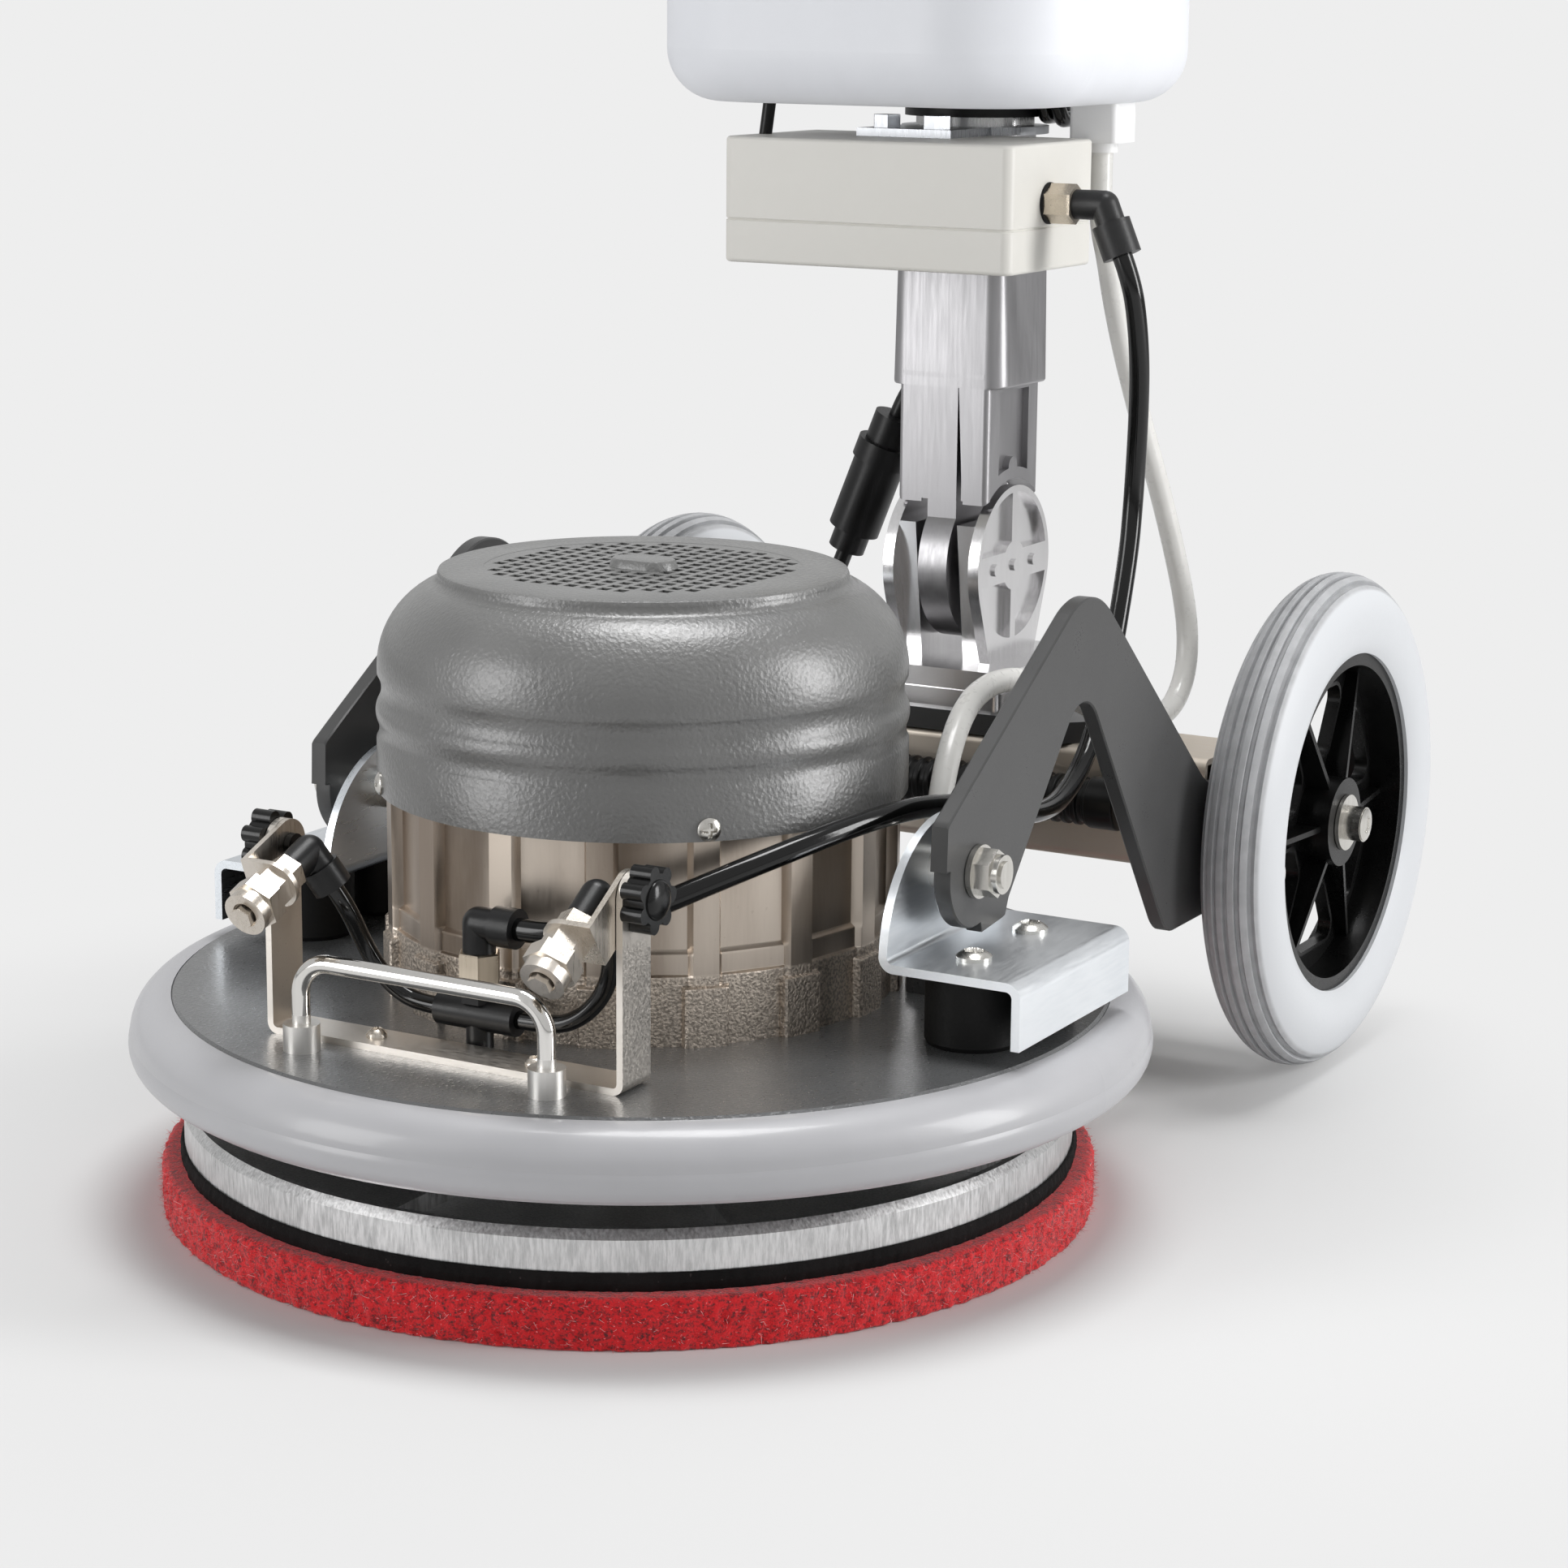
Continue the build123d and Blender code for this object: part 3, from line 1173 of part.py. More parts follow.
with BuildPart() as base_plate:
    plate_y = (HINGE_Y - TOP_PLATE_DEPTH / 2, HINGE_Y + TOP_PLATE_DEPTH / 2)
    block((-TOP_PLATE_HALF, TOP_PLATE_HALF), plate_y, (beam_top, top_plate_top))
    chamfer(base_plate.edges().filter_by(Axis.Z), TOP_PLATE_CHAMFER)
save(base_plate, "base_plate")

with BuildPart() as axle:
    crosswise(AXLE_RADIUS, -rim_outer_x, rim_outer_x, AXLE_Y, axle_z)
    for side, sign in SIDES:
        washer_face = sign * (rim_outer_x + RUNNING_GAP)
        head_face = washer_face + sign * AXLE_WASHER_THICKNESS
        crosswise(AXLE_NECK_RADIUS, sign * rim_outer_x, washer_face, AXLE_Y, axle_z)
        crosswise(AXLE_WASHER_RADIUS, washer_face, head_face, AXLE_Y, axle_z)
        crosswise(AXLE_HEAD_RADIUS, head_face, head_face + sign * AXLE_HEAD_LENGTH, AXLE_Y, axle_z)
save(axle, "axle")

with BuildPart() as conduit:
    conduit_y = BEAM_FRONT - CONDUIT_CUFF_RADIUS
    ribbed_start = CONDUIT_START + CONDUIT_CUFF_LENGTH
    ribbed_end = CONDUIT_END - CONDUIT_CUFF_LENGTH
    rib_count = round((ribbed_end - ribbed_start) / CONDUIT_PITCH)
    rib_pitch = (ribbed_end - ribbed_start) / rib_count
    for rib in range(rib_count):
        for step, radius in CONDUIT_RIB:
            with BuildSketch(side_plane(ribbed_start + (rib + step) * rib_pitch)):
                with Locations((conduit_y, CONDUIT_Z)):
                    Circle(radius)
    with BuildSketch(side_plane(ribbed_end)):
        with Locations((conduit_y, CONDUIT_Z)):
            Circle(CONDUIT_ROOT)
    loft(ruled=True)
    crosswise(CONDUIT_CUFF_RADIUS, CONDUIT_START, ribbed_start, conduit_y, CONDUIT_Z)
    crosswise(CONDUIT_CUFF_RADIUS, ribbed_end, CONDUIT_END, conduit_y, CONDUIT_Z)
    bore_ends = (CONDUIT_START + CONDUIT_END_WALL, CONDUIT_END - CONDUIT_END_WALL)
    crosswise(CONDUIT_BORE, *bore_ends, conduit_y, CONDUIT_Z, Mode.SUBTRACT)
save(conduit, "conduit")

# Clevis: two stacked base plates and two tapering ears, each with a relieved disc on its outer face
ear_reach = math.hypot(EAR_FOOT_HALF, HINGE_RISE)
ear_turn = math.atan2(HINGE_RISE, EAR_FOOT_HALF) - math.acos(EAR_RADIUS / ear_reach)
ear_side = (EAR_RADIUS * math.cos(ear_turn), EAR_RADIUS * math.sin(ear_turn))
ear_root = clevis_top - CUT_MARGIN
disc_inner = EAR_OUTER - EAR_DISC
with BuildPart() as clevis:
    seam_z = (top_plate_top + clevis_top) / 2
    base_x = (-CLEVIS_BASE_HALF, CLEVIS_BASE_HALF)
    base_y = (HINGE_Y - CLEVIS_BASE_DEPTH / 2, HINGE_Y + CLEVIS_BASE_DEPTH / 2)
    block(base_x, base_y, (top_plate_top, clevis_top))
    fillet(clevis.edges().filter_by(Axis.Z), CLEVIS_BASE_CORNER)
    with BuildSketch(Plane.XY.offset(seam_z - CLEVIS_SEAM / 2)):
        with Locations((0, HINGE_Y)):
            Rectangle(2 * (CLEVIS_BASE_HALF + CUT_MARGIN), CLEVIS_BASE_DEPTH + 2 * CUT_MARGIN)
            Rectangle(
                2 * (CLEVIS_BASE_HALF - CLEVIS_SEAM_DEPTH),
                CLEVIS_BASE_DEPTH - 2 * CLEVIS_SEAM_DEPTH,
                mode=Mode.SUBTRACT,
            )
    extrude(amount=CLEVIS_SEAM, mode=Mode.SUBTRACT)
    for side, sign in SIDES:
        with BuildSketch(side_plane(sign * EAR_INNER)) as ear_plate:
            with BuildLine():
                Polyline(
                    (HINGE_Y - EAR_TOP[0], hinge_z + EAR_TOP[1]),
                    (HINGE_Y + EAR_TOP[0], hinge_z + EAR_TOP[1]),
                    (HINGE_Y + EAR_FOOT_HALF, ear_root),
                    (HINGE_Y - EAR_FOOT_HALF, ear_root),
                    close=True,
                )
            make_face()
        extrude(ear_plate.sketch, amount=sign * (disc_inner - EAR_INNER))
        with BuildSketch(side_plane(sign * disc_inner)) as ear_disc:
            with BuildLine():
                Polyline(
                    (HINGE_Y - ear_side[0], hinge_z - ear_side[1]),
                    (HINGE_Y + ear_side[0], hinge_z - ear_side[1]),
                    (HINGE_Y + EAR_FOOT_HALF, ear_root),
                    (HINGE_Y - EAR_FOOT_HALF, ear_root),
                    close=True,
                )
            make_face()
            with Locations((HINGE_Y, hinge_z)):
                Circle(EAR_RADIUS)
        extrude(ear_disc.sketch, amount=sign * EAR_DISC)
        with BuildSketch(side_plane(sign * (EAR_OUTER - EAR_RELIEF_DEPTH))) as relief:
            with Locations((HINGE_Y, hinge_z)):
                Circle(EAR_RELIEF_RADIUS)
                Circle(EAR_HUB_RADIUS, mode=Mode.SUBTRACT)
                Rectangle(3 * EAR_RADIUS, EAR_STRAP_HEIGHT, mode=Mode.SUBTRACT)
                Rectangle(EAR_RIB_WIDTH, 3 * EAR_RADIUS, mode=Mode.SUBTRACT)
        extrude(relief.sketch, amount=sign * (EAR_RELIEF_DEPTH + CUT_MARGIN), mode=Mode.SUBTRACT)
        pin_ends = (sign * (EAR_OUTER - CUT_MARGIN), sign * (EAR_OUTER + EAR_PIN_PROUD))
        for step in (-1, 0, 1):
            crosswise(EAR_PIN_RADIUS, *pin_ends, HINGE_Y + step * EAR_PIN_SPACING, hinge_z)
    crosswise(HINGE_RADIUS, -HINGE_REACH, HINGE_REACH, HINGE_Y, hinge_z, Mode.SUBTRACT)
save(clevis, "clevis")

with BuildPart() as hinge_pin:
    crosswise(HINGE_RADIUS, -HINGE_REACH, HINGE_REACH, HINGE_Y, hinge_z)
save(hinge_pin, "hinge_pin")

# Wheels: round tyres with crown grooves, on rims with blade ribs and framed windows
crown_radius = (TYRE_CROWN_HALF**2 + TYRE_CROWN_DROP**2) / (2 * TYRE_CROWN_DROP)
groove_steps = [(groove - (TYRE_GROOVES - 1) / 2) * TYRE_GROOVE_PITCH for groove in range(TYRE_GROOVES)]
wheel_axis = Axis((0, AXLE_Y, axle_z), (1, 0, 0))
with BuildSketch() as rim_window:
    Polygon(
        (RIM_WINDOW_START[0], -RIM_WINDOW_START[1]),
        (RIM_WINDOW_END[0], -RIM_WINDOW_END[1]),
        RIM_WINDOW_END,
        RIM_WINDOW_START,
        align=None,
    )
    fillet(rim_window.vertices(), RIM_WINDOW_CORNER)
with BuildSketch() as rim_frame:
    add(rim_window.sketch)
    offset(amount=RIM_WINDOW_FRAME)
for side, sign in SIDES:
    wheel_middle = (sign * tyre_middle_x, AXLE_Y, axle_z)
    with BuildPart() as tyre:
        with BuildSketch(Plane(origin=wheel_middle, x_dir=(1, 0, 0), z_dir=(0, -1, 0))) as tyre_section:
            with BuildLine():
                shoulder_radius = WHEEL_RADIUS - TYRE_CROWN_DROP
                left_bead = (-TYRE_BEAD_HALF, RIM_RADIUS)
                right_bead = (TYRE_BEAD_HALF, RIM_RADIUS)
                left_shoulder = (-TYRE_CROWN_HALF, shoulder_radius)
                right_shoulder = (TYRE_CROWN_HALF, shoulder_radius)
                ThreePointArc(left_bead, (-TYRE_WIDTH / 2, TYRE_WIDEST), left_shoulder)
                ThreePointArc(left_shoulder, (0, WHEEL_RADIUS), right_shoulder)
                ThreePointArc(right_shoulder, (TYRE_WIDTH / 2, TYRE_WIDEST), right_bead)
                Line(right_bead, left_bead)
            make_face()
            for step in groove_steps:
                crown = WHEEL_RADIUS - crown_radius + math.sqrt(crown_radius**2 - step**2)
                with Locations((step, crown)):
                    Rectangle(TYRE_GROOVE_WIDTH, 2 * TYRE_GROOVE_DEPTH, mode=Mode.SUBTRACT)
        revolve(tyre_section.sketch, wheel_axis)
    save(tyre, f"tyre_{side}")

    with BuildPart() as rim:
        web_x = sign * (rim_inner_x + RIM_WEB_INSET)
        with BuildSketch(side_plane(sign * rim_inner_x)) as rim_ring:
            with Locations((AXLE_Y, axle_z)):
                Circle(RIM_RADIUS)
                Circle(RIM_RADIUS - RIM_WALL, mode=Mode.SUBTRACT)
                Circle(RIM_HUB_RADIUS)
        extrude(rim_ring.sketch, amount=sign * RIM_WIDTH)
        with BuildSketch(side_plane(web_x)) as web:
            with Locations((AXLE_Y, axle_z)):
                Circle(RIM_RADIUS - RIM_WALL / 2)
        extrude(web.sketch, amount=sign * RIM_WEB)
        with BuildSketch(side_plane(web_x)) as frames:
            with Locations((AXLE_Y, axle_z)):
                with PolarLocations(0, RIM_RIBS, start_angle=180 / RIM_RIBS):
                    add(rim_frame.sketch)
        extrude(frames.sketch, amount=sign * (RIM_WEB + RIM_WINDOW_LIFT))
        with BuildSketch(side_plane(web_x)) as windows:
            with Locations((AXLE_Y, axle_z)):
                with PolarLocations(0, RIM_RIBS, start_angle=180 / RIM_RIBS):
                    add(rim_window.sketch)
        extrude(windows.sketch, amount=sign * RIM_RIB_HEIGHT, mode=Mode.SUBTRACT)
        for rib in range(RIM_RIBS):
            turn = 2 * math.pi * rib / RIM_RIBS
            blade_plane = Plane(
                origin=(web_x, AXLE_Y, axle_z),
                x_dir=(0, math.cos(turn), math.sin(turn)),
                z_dir=(0, math.sin(turn), -math.cos(turn)),
            )
            with BuildSketch(blade_plane) as blade:
                with BuildLine():
                    Polyline(
                        (RIM_HUB_RADIUS - CUT_MARGIN, 0),
                        (RIM_RADIUS - RIM_WALL + CUT_MARGIN, 0),
                        (RIM_RADIUS - RIM_WALL + CUT_MARGIN, sign * RIM_RIB_TOE),
                        (RIM_HUB_RADIUS - CUT_MARGIN, sign * RIM_RIB_HEIGHT),
                        close=True,
                    )
                make_face()
            extrude(blade.sketch, amount=RIM_RIB_WIDTH / 2, both=True)
        bore_ends = (sign * (rim_inner_x - CUT_MARGIN), sign * (rim_outer_x + CUT_MARGIN))
        crosswise(AXLE_RADIUS + SHAFT_GAP, *bore_ends, AXLE_Y, axle_z, Mode.SUBTRACT)
    save(rim, f"rim_{side}")

# Mast foot: two cheeks over the clevis ears and a tapering sleeve, with the hinge tongue between
with BuildPart() as mast_foot:
    block((-FOOT_HALF_WIDTH, FOOT_HALF_WIDTH), (foot_front, foot_back), (hinge_z, foot_shoulder))
    fillet(mast_foot.edges().filter_by(Axis.Z), FOOT_EDGE)
    foot_cut_x = FOOT_HALF_WIDTH + CUT_MARGIN
    crosswise(FOOT_ARC_RADIUS, -foot_cut_x, foot_cut_x, HINGE_Y, hinge_z, Mode.SUBTRACT)
    panel_top = foot_shoulder - FOOT_PANEL_MARGIN
    rib_round = hinge_z + FOOT_RIB_RISE - FOOT_RIB_WIDTH / 2
    rib_foot = hinge_z + FOOT_ARC_RADIUS
    for side, sign in SIDES:
        panel_plane = side_plane(sign * (FOOT_HALF_WIDTH - FOOT_PANEL_DEPTH))
        with BuildSketch(panel_plane) as panel:
            with Locations((HINGE_Y, (hinge_z + panel_top) / 2)):
                Rectangle(FOOT_PANEL_WIDTH, panel_top - hinge_z)
            with Locations((HINGE_Y, hinge_z)):
                Circle(FOOT_ARC_RADIUS + FOOT_PANEL_MARGIN, mode=Mode.SUBTRACT)
            with Locations((HINGE_Y, rib_round)):
                Circle(FOOT_RIB_WIDTH / 2, mode=Mode.SUBTRACT)
            with Locations((HINGE_Y, (rib_foot + rib_round) / 2)):
                Rectangle(FOOT_RIB_WIDTH, rib_round - rib_foot, mode=Mode.SUBTRACT)
        extrude(panel.sketch, amount=sign * (FOOT_PANEL_DEPTH + CUT_MARGIN), mode=Mode.SUBTRACT)
    with BuildSketch(Plane.XY.offset(foot_shoulder)) as sleeve_low:
        with Locations((0, foot_front + SLEEVE_BOTTOM[1] / 2)):
            RectangleRounded(*SLEEVE_BOTTOM, SLEEVE_CORNER)
    with BuildSketch(Plane.XY.offset(sleeve_waist)) as sleeve_high:
        with Locations((0, HINGE_Y)):
            RectangleRounded(*SLEEVE_TOP, SLEEVE_TOP_CORNER)
    loft([sleeve_low.sketch.face(), sleeve_high.sketch.face()])
    extrude(sleeve_high.sketch, amount=box_top - sleeve_waist)
    post(TUBE_RADIUS - TUBE_WALL - SEAT_GAP, box_top, tube_bottom + SPIGOT_LENGTH, 0, HINGE_Y)
    block((-GLAND_RADIUS, GLAND_RADIUS), (HINGE_Y, GLAND_Y), (gland_bottom, gland_bottom + GLAND_LENGTH))
    post(GLAND_RADIUS, gland_bottom, gland_bottom + GLAND_LENGTH, 0, GLAND_Y)
    slot_y = (foot_front - CUT_MARGIN, foot_back + CUT_MARGIN)
    block((-FOOT_SLOT_HALF, FOOT_SLOT_HALF), slot_y, (hinge_z, foot_shoulder), Mode.SUBTRACT)
save(mast_foot, "mast_foot")

with BuildPart() as mast_tongue:
    with BuildSketch(side_plane(-TONGUE_HALF)) as tongue:
        with Locations((HINGE_Y, hinge_z)):
            Circle(TONGUE_RADIUS)
        with Locations((HINGE_Y, (hinge_z + foot_shoulder) / 2)):
            Rectangle(FOOT_DEPTH, foot_shoulder - hinge_z)
        with Locations((HINGE_Y, hinge_z)):
            Circle(HINGE_RADIUS + SHAFT_GAP, mode=Mode.SUBTRACT)
    extrude(tongue.sketch, amount=2 * TONGUE_HALF)
save(mast_tongue, "mast_tongue")

# Pump box in front of the mast: tray, cover, pump, mounting plate and outlet elbow
box_x = (-BOX_HALF_WIDTH, BOX_HALF_WIDTH)
box_y = (box_front, box_back)
with BuildPart() as pump_base:
    block(box_x, box_y, (box_bottom, box_seam))
    fillet(pump_base.edges().filter_by(Axis.Z), BOX_CORNER)
    fillet(pump_base.faces().sort_by(Axis.Z)[0].edges(), BOX_EDGE)
    offset(amount=-BOX_WALL, openings=pump_base.faces().sort_by(Axis.Z)[-1])
    chamfer(pump_base.faces().sort_by(Axis.Z)[-1].outer_wire().edges(), BOX_SEAM_BEVEL)
save(pump_base, "pump_base")

with BuildPart() as pump_cover:
    block(box_x, box_y, (box_seam, box_top))
    fillet(pump_cover.edges().filter_by(Axis.Z), BOX_CORNER)
    fillet(pump_cover.faces().sort_by(Axis.Z)[-1].edges(), BOX_EDGE)
    offset(amount=-BOX_WALL, openings=pump_cover.faces().sort_by(Axis.Z)[0])
    chamfer(pump_cover.faces().sort_by(Axis.Z)[0].outer_wire().edges(), BOX_SEAM_BEVEL)
save(pump_cover, "pump_cover")

with BuildPart() as spray_pump:
    pump_z = box_bottom + BOX_WALL + PUMP_RADIUS
    pump_y = (box_front + box_back) / 2
    crosswise(PUMP_RADIUS, -PUMP_LENGTH / 2, PUMP_LENGTH / 2 - PUMP_HEAD, pump_y, pump_z)
    pump_head_x = (PUMP_LENGTH / 2 - PUMP_HEAD, PUMP_LENGTH / 2)
    head_swell = PUMP_RADIUS + PUMP_HEAD_SWELL
    pump_floor = box_bottom + BOX_WALL
    block(pump_head_x, (pump_y - head_swell, pump_y + head_swell), (pump_floor, pump_z + head_swell))
    block(PUMP_FOOT, (pump_y - PUMP_RADIUS, pump_y + PUMP_RADIUS), (pump_floor, pump_z))
save(spray_pump, "spray_pump")

with BuildPart() as mount_plate:
    block((MOUNT_LEFT, MOUNT_RIGHT), (MOUNT_FRONT, HINGE_Y), (box_top, tube_bottom))
    post(MOUNT_RING, box_top, tube_bottom, 0, HINGE_Y)
    spigot_hole = (box_top - CUT_MARGIN, tube_bottom + CUT_MARGIN)
    post(TUBE_RADIUS - TUBE_WALL - SEAT_GAP, *spigot_hole, 0, HINGE_Y, Mode.SUBTRACT)
    for x in MOUNT_NUTS:
        hex_along((x, MOUNT_NUT_Y, tube_bottom), (0, 0, 1), MOUNT_NUT_FLATS, MOUNT_NUT_HEIGHT)
save(mount_plate, "mount_plate")

with BuildPart() as pump_elbow:
    hex_along((BOX_HALF_WIDTH, PUMP_PORT_Y, PUMP_PORT_Z), (1, 0, 0), PUMP_HEX_FLATS, PUMP_HEX_LENGTH)
    elbow_start = BOX_HALF_WIDTH + PUMP_HEX_LENGTH
    pump_knee_x = elbow_start + PUMP_ELBOW_REACH
    crosswise(ELBOW_RADIUS, elbow_start - CUT_MARGIN, pump_knee_x, PUMP_PORT_Y, PUMP_PORT_Z)
    with Locations((pump_knee_x, PUMP_PORT_Y, PUMP_PORT_Z)):
        Sphere(ELBOW_RADIUS)
    pump_knee = Vector(pump_knee_x, PUMP_PORT_Y, PUMP_PORT_Z)
    pump_way = Vector(0, 0, -1).rotate(Axis.Y, -PUMP_ELBOW_LEAN)
    pump_end = pump_knee + pump_way * PUMP_ELBOW_PORT
    bar_along(pump_knee, pump_way, ELBOW_RADIUS, PUMP_ELBOW_PORT)
    bar_along(pump_end - pump_way * PUMP_COLLAR_LENGTH, pump_way, PUMP_COLLAR_RADIUS, PUMP_COLLAR_LENGTH)
save(pump_elbow, "pump_elbow")

# Steering tube, tank, outlet block and filler cap
with BuildPart() as steering_tube:
    post(TUBE_RADIUS, tube_bottom, tube_top, 0, HINGE_Y)
    post(SEAT_COLLAR_RADIUS, tank_bottom - SEAT_COLLAR_HEIGHT, tank_bottom, 0, HINGE_Y)
    post(TUBE_RADIUS - TUBE_WALL, tube_bottom, tube_top, 0, HINGE_Y, Mode.SUBTRACT)
save(steering_tube, "steering_tube")

tank_y = (TANK_FRONT + TANK_BACK) / 2
with BuildPart() as tank_form:
    with BuildSketch(Plane.XY.offset(tank_bottom)):
        with Locations((0, tank_y)):
            RectangleRounded(2 * TANK_HALF_WIDTH, TANK_BACK - TANK_FRONT, TANK_CORNER)
    extrude(amount=TANK_HEIGHT)
    fillet(tank_form.faces().sort_by(Axis.Z)[0].edges(), TANK_EDGE)
    fillet(tank_form.faces().sort_by(Axis.Z)[-1].edges(), TANK_EDGE)

with BuildPart() as tank:
    add(tank_form.part)
    offset(amount=-TANK_WALL, mode=Mode.SUBTRACT)
    post(TUBE_RADIUS + SEAT_GAP + TANK_WALL, tank_bottom, tank_top, 0, HINGE_Y)
    post(TUBE_RADIUS + SEAT_GAP, tank_bottom, tank_top, 0, HINGE_Y, Mode.SUBTRACT)
    post(NECK_RADIUS, tank_top - TANK_WALL, tank_top + NECK_HEIGHT, 0, NECK_Y)
    post(NECK_RADIUS - TANK_WALL, tank_top - 2 * TANK_WALL, tank_top + NECK_HEIGHT, 0, NECK_Y, Mode.SUBTRACT)
save(tank, "tank")

with BuildPart() as tank_cap:
    cap_bottom = tank_top + RUNNING_GAP
    with BuildSketch(Plane.XY.offset(cap_bottom)):
        with Locations((0, NECK_Y)):
            Circle(CAP_RADIUS)
            with PolarLocations(CAP_RADIUS, CAP_GRIPS):
                Circle(CAP_GROOVE_RADIUS, mode=Mode.SUBTRACT)
    extrude(amount=CAP_HEIGHT)
    neck_room = tank_top + NECK_HEIGHT + RUNNING_GAP
    post(NECK_RADIUS + RUNNING_GAP, cap_bottom, neck_room, 0, NECK_Y, Mode.SUBTRACT)
save(tank_cap, "tank_cap")

with BuildPart() as tank_outlet:
    outlet_bottom = tank_bottom - OUTLET_HEIGHT
    block(
        (OUTLET_X - OUTLET_SIZE[0] / 2, OUTLET_X + OUTLET_SIZE[0] / 2),
        (OUTLET_Y - OUTLET_SIZE[1] / 2, OUTLET_Y + OUTLET_SIZE[1] / 2),
        (outlet_bottom, tank_bottom + TANK_EDGE / 2),
    )
    fillet(tank_outlet.edges().filter_by(Axis.Z), OUTLET_CORNER)
    add(tank_form.part, mode=Mode.SUBTRACT)
    post(OUTLET_SPOUT_RADIUS, outlet_bottom - OUTLET_SPOUT, outlet_bottom + CUT_MARGIN, OUTLET_X, OUTLET_Y)
save(tank_outlet, "tank_outlet")

# Control head with two grips, and the switch lever under them
with BuildPart() as control_head:
    block(
        (-HEAD_HALF_WIDTH, HEAD_HALF_WIDTH),
        (HINGE_Y - HEAD_DEPTH / 2, HINGE_Y + HEAD_DEPTH / 2),
        (head_bottom, head_top),
    )
    fillet(control_head.edges().filter_by(Axis.Z), HEAD_CORNER)
    fillet(control_head.faces().sort_by(Axis.Z)[-1].edges(), HEAD_EDGE)
    post(TUBE_RADIUS + SEAT_GAP, head_bottom - CUT_MARGIN, tube_top, 0, HINGE_Y, Mode.SUBTRACT)
    shaft_x = HEAD_HALF_WIDTH + CUT_MARGIN
    crosswise(LEVER_SHAFT_RADIUS + SHAFT_GAP, -shaft_x, shaft_x, LEVER_Y, lever_z, Mode.SUBTRACT)
    for side, sign in SIDES:
        grip_end = sign * (HEAD_HALF_WIDTH + GRIP_LENGTH)
        crosswise(GRIP_RADIUS, sign * (HEAD_HALF_WIDTH - GRIP_SINK), grip_end, GRIP_Y, grip_z)
    fillet(control_head.edges().group_by(Axis.X)[-1], GRIP_END_ROUND)
    fillet(control_head.edges().group_by(Axis.X)[0], GRIP_END_ROUND)
save(control_head, "control_head")

with BuildPart() as switch_lever:
    paddle_start = HEAD_HALF_WIDTH + RUNNING_GAP
    paddle_end = HEAD_HALF_WIDTH + LEVER_SHARE * GRIP_LENGTH
    crosswise(LEVER_SHAFT_RADIUS, -paddle_end, paddle_end, LEVER_Y, lever_z)
    for side, sign in SIDES:
        block(
            (sign * paddle_start, sign * paddle_end),
            (LEVER_Y, LEVER_Y + LEVER_PADDLE),
            (lever_z - LEVER_THICKNESS / 2, lever_z + LEVER_THICKNESS / 2),
        )
save(switch_lever, "switch_lever")

# Lead connector: a round plug and socket with a collar at the top
connector_top = Vector(*CONNECTOR_TOP)
connector_bottom = Vector(*CONNECTOR_BOTTOM)
connector_axis = (connector_bottom - connector_top).normalized()
connector_length = (connector_bottom - connector_top).length
with BuildPart() as lead_connector:
    for start, end, radius in CONNECTOR_STEPS:
        bar_along(
            connector_top + connector_axis * (start * connector_length),
            connector_axis,
            radius,
            (end - start) * connector_length,
        )
save(lead_connector, "lead_connector")

# Hoses and leads: the first and last runs leave and enter their fittings straight
routes = {}
for side, sign in SIDES:
    hose_start, hose_way = hose_ports[side]
    tee_port = (sign * TEE_SPAN / 2, TEE_Y, tee_z)
    routes[f"nozzle_hose_{side}"] = (
        [tuple(hose_start), tuple(hose_start + hose_way * NOZZLE_HOSE_RUN), *NOZZLE_HOSE[side], tee_port],
        SPRAY_HOSE,
    )
pump_port = [tuple(pump_end), tuple(pump_end + pump_way * PUMP_HOSE_RUN)]
tee_feed = (FEED_ELBOW_REACH, TEE_Y, feed_elbow_z)
outlet_port = (OUTLET_X, OUTLET_Y, outlet_bottom - OUTLET_SPOUT)
inlet_port = (INLET_X, INLET_Y, DECK_TOP + INLET_HEIGHT)
gland_port = (0, GLAND_Y, gland_bottom)
motor_port = (TERMINAL_GLAND_X, terminal_face + TERMINAL_GLAND_LENGTH, gland_z)
plug_out = tuple(connector_top - connector_axis * LEAD_RUN)
plug_in = tuple(connector_bottom + connector_axis * LEAD_RUN)
routes["spray_hose_upper"] = ([*pump_port, *SPRAY_UPPER, SPRAY_SPLIT], FEED_HOSE)
routes["spray_hose_lower"] = ([SPRAY_SPLIT, *SPRAY_LOWER, tee_feed], FEED_HOSE)
routes["dosing_hose_upper"] = ([outlet_port, *DOSING_UPPER, DOSING_SPLIT], TANK_HOSE)
routes["dosing_hose_lower"] = ([DOSING_SPLIT, *DOSING_LOWER, inlet_port], TANK_HOSE)
routes["motor_lead_upper"] = ([gland_port, *LEAD_UPPER, plug_out, CONNECTOR_TOP], LEAD)
routes["motor_lead_lower"] = ([CONNECTOR_BOTTOM, plug_in, *LEAD_LOWER, motor_port], LEAD)
for name, (points, diameter) in routes.items():
    with BuildPart() as cord:
        length = tube_along(points, diameter)
    report_tube(name, cord.part, length, diameter)
    save(cord, name)
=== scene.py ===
"""Studio scene of an orbital floor machine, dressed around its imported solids.

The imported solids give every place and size. This script adds fine surfaces, finishes, cords, light and the
camera. Sizes are written in millimetres in the machine's own frame, and meshes are made in metres.
"""

from __future__ import annotations

import json
import logging
import math
from dataclasses import dataclass
from enum import Enum
from typing import Any, Sequence

import bmesh
import bpy
import numpy as np
from mathutils import Matrix, Vector

